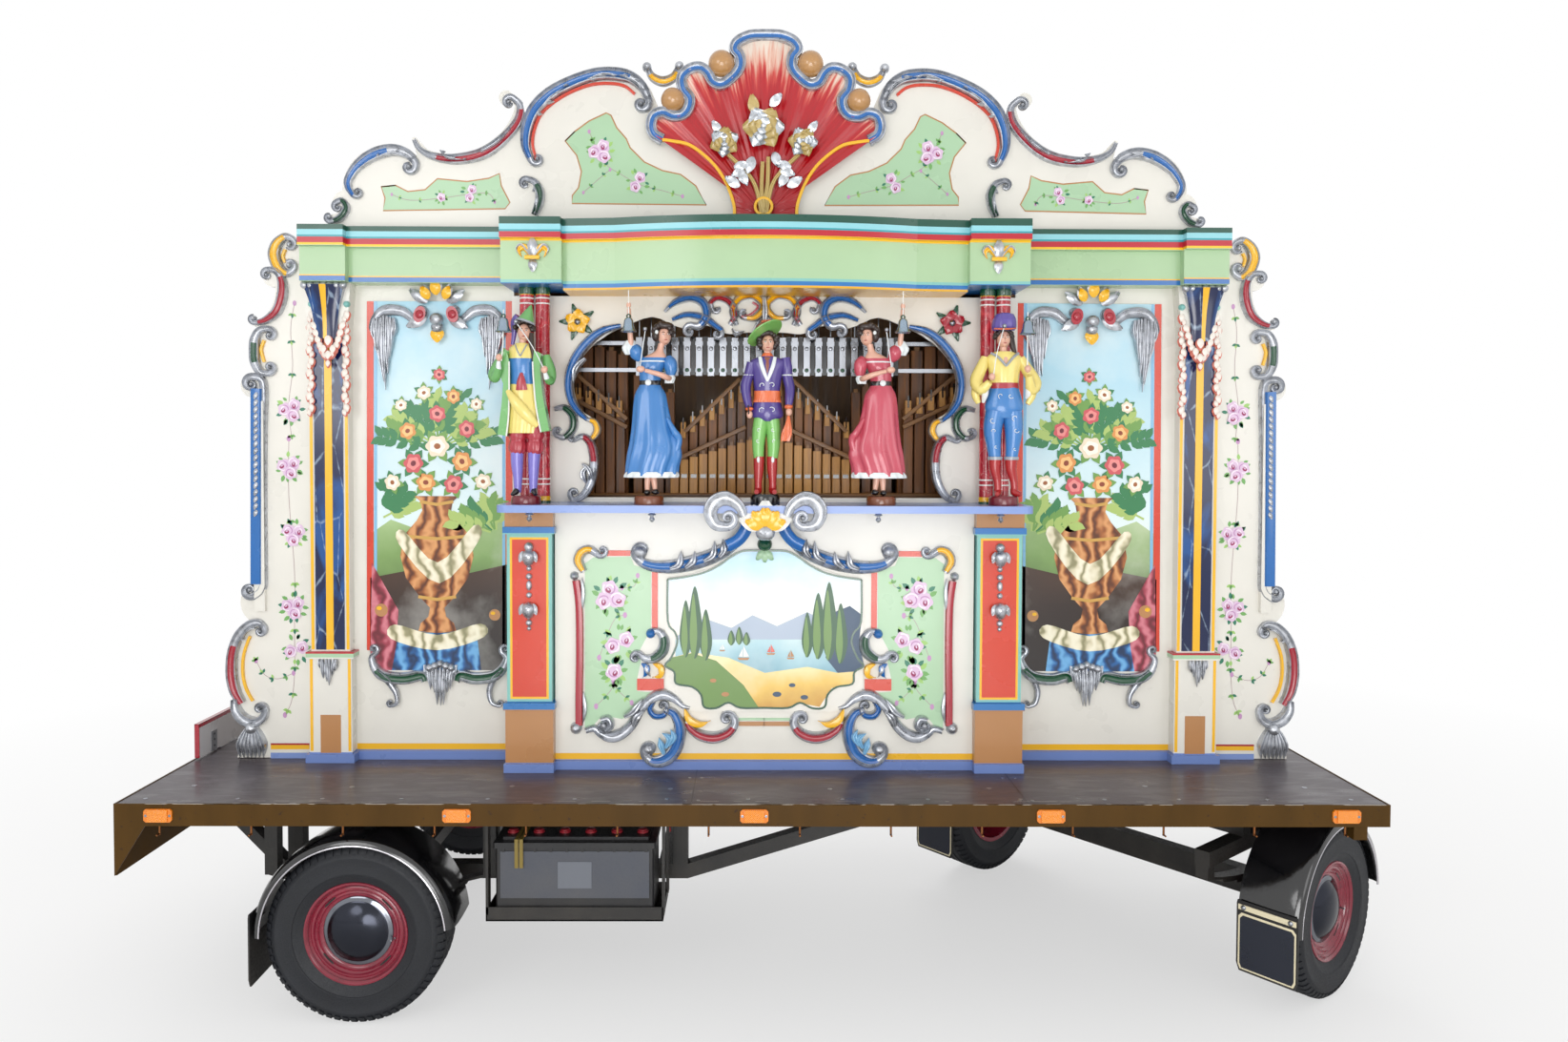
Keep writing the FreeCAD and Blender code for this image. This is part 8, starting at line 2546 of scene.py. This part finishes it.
# Faces of the back doors and of the fixed middle; the doors' heights and widths.
DOOR_FACE, BACK_FACE = 674.5, 670.0
DOOR_Z = (839.0, 2956.0)
DOOR_X = {"left": (-1802.0, -412.0), "right": (492.0, 1882.0)}


def frame_of(piece, x, y, z, wide, thick, finish, bars):
    """Rails and stiles round a rectangle, and cross bars at the given heights."""
    block(piece, (x[0], x[0] + wide), (y, y + thick), z, finish, 0.002)
    block(piece, (x[1] - wide, x[1]), (y, y + thick), z, finish, 0.002)
    for foot in (z[0], z[1] - wide) + bars:
        block(piece, (x[0] + wide, x[1] - wide), (y, y + thick - 0.8), (foot, foot + wide), finish)


def raised_panel(piece, x, z, y):
    """A panel with sloping edges, on a face at y, given by its two ends along x and z."""
    rows = [[spot(px, y + lift, pz) for px, pz in corners(x[0] + inset, z[0] + inset,
                                                          x[1] - inset, z[1] - inset)]
            for inset, lift in ((0, 0.4), (0, 3), (30, 8))]
    piece.rows(rows, CASE_WOOD, ring=True)


def case_back():
    """Framed panels, vents, handles and locks on the back doors and the fixed middle."""
    for side, (x0, x1) in DOOR_X.items():
        p = Piece("door_trim_" + side, "back_door_" + side, "case_wood")
        frame_of(p, (x0 + 2, x1 - 2), DOOR_FACE, (DOOR_Z[0] + 4, DOOR_Z[1] - 4), 92, 9, RAIL_WOOD,
                 (1500, 2300))
        for z in ((980, 1460), (1640, 2260), (2440, 2820)):
            raised_panel(p, (x0 + 130, x1 - 130), z, DOOR_FACE)
        for k in range(9):
            z = 2480 + k * 36
            block(p, (x0 + 210, x1 - 210), (DOOR_FACE + 8, DOOR_FACE + 12), (z, z + 20), IRON)
        inner = x1 - 46 if side == "left" else x0 + 46
        lathe(p, ((26, 0), (26, 2), (12, 3), (10, 20), (17, 24), (17, 34), (9, 39), (1, 40)),
              spot(inner, DOOR_FACE + 9, 1900), (0, 1, 0), BRASS, 20)
        block(p, (inner - 18, inner + 18), (DOOR_FACE + 9, DOOR_FACE + 12), (1790, 1850), BRASS)
        for z in (900, 1545, 2345, 2900):
            for x in (x0 + 46, x1 - 46):
                screw(p, x, DOOR_FACE + 9, z, 7, BRASS, (0, 1, 0))
        p.build()

    p = Piece("back_panel_trim", "wagon", "case_wood")
    frame_of(p, (-406, 486), BACK_FACE, DOOR_Z, 70, 5, RAIL_WOOD, (2100,))
    raised_panel(p, (-300, 380), (2220, 2840), BACK_FACE)
    lathe(p, ((92, 0), (92, 3), (84, 5), (58, 5)), spot(40, BACK_FACE, 1520), (0, 1, 0), IRON, 32)
    for k in range(6):
        a = k * math.tau / 6
        screw(p, 40 + 70 * math.cos(a), BACK_FACE + 5, 1520 + 70 * math.sin(a), 8, STEEL, (0, 1, 0))
    p.build()


def crest_back():
    """Battens and props behind the crest."""
    p = Piece("crest_battens", "wagon", "case_wood")
    for u, top in ((-1500, 3160), (-1050, 3300), (-560, 3440), (0, 3400), (560, 3440), (1050, 3300),
                   (1500, 3160)):
        block(p, (40 + u - 24, 40 + u + 24), (-370, -346), (3024, top), PALE_WOOD, 0.003)
        for z in (3060, top - 40):
            screw(p, 40 + u, -346, z, 7, STEEL, (0, 1, 0))
    for low, high, half in ((3040, 3090, 1560), (3200, 3240, 900)):
        block(p, (40 - half, 40 + half), (-362, -344), (low, high), PALE_WOOD, 0.003)
    p.build()


def main():
    set_stage()
    dress_nodes()
    crest()
    wings()
    pilasters()
    pedestals()
    side_picture()
    side_carvings()
    belly()
    window_frame()
    pipes()
    figures()
    road_wheels()
    mudguards()
    battery_pack()
    deck_details()
    side_reflectors()
    end_board_trim()
    marbled_columns()
    case_back()
    crest_back()


main()
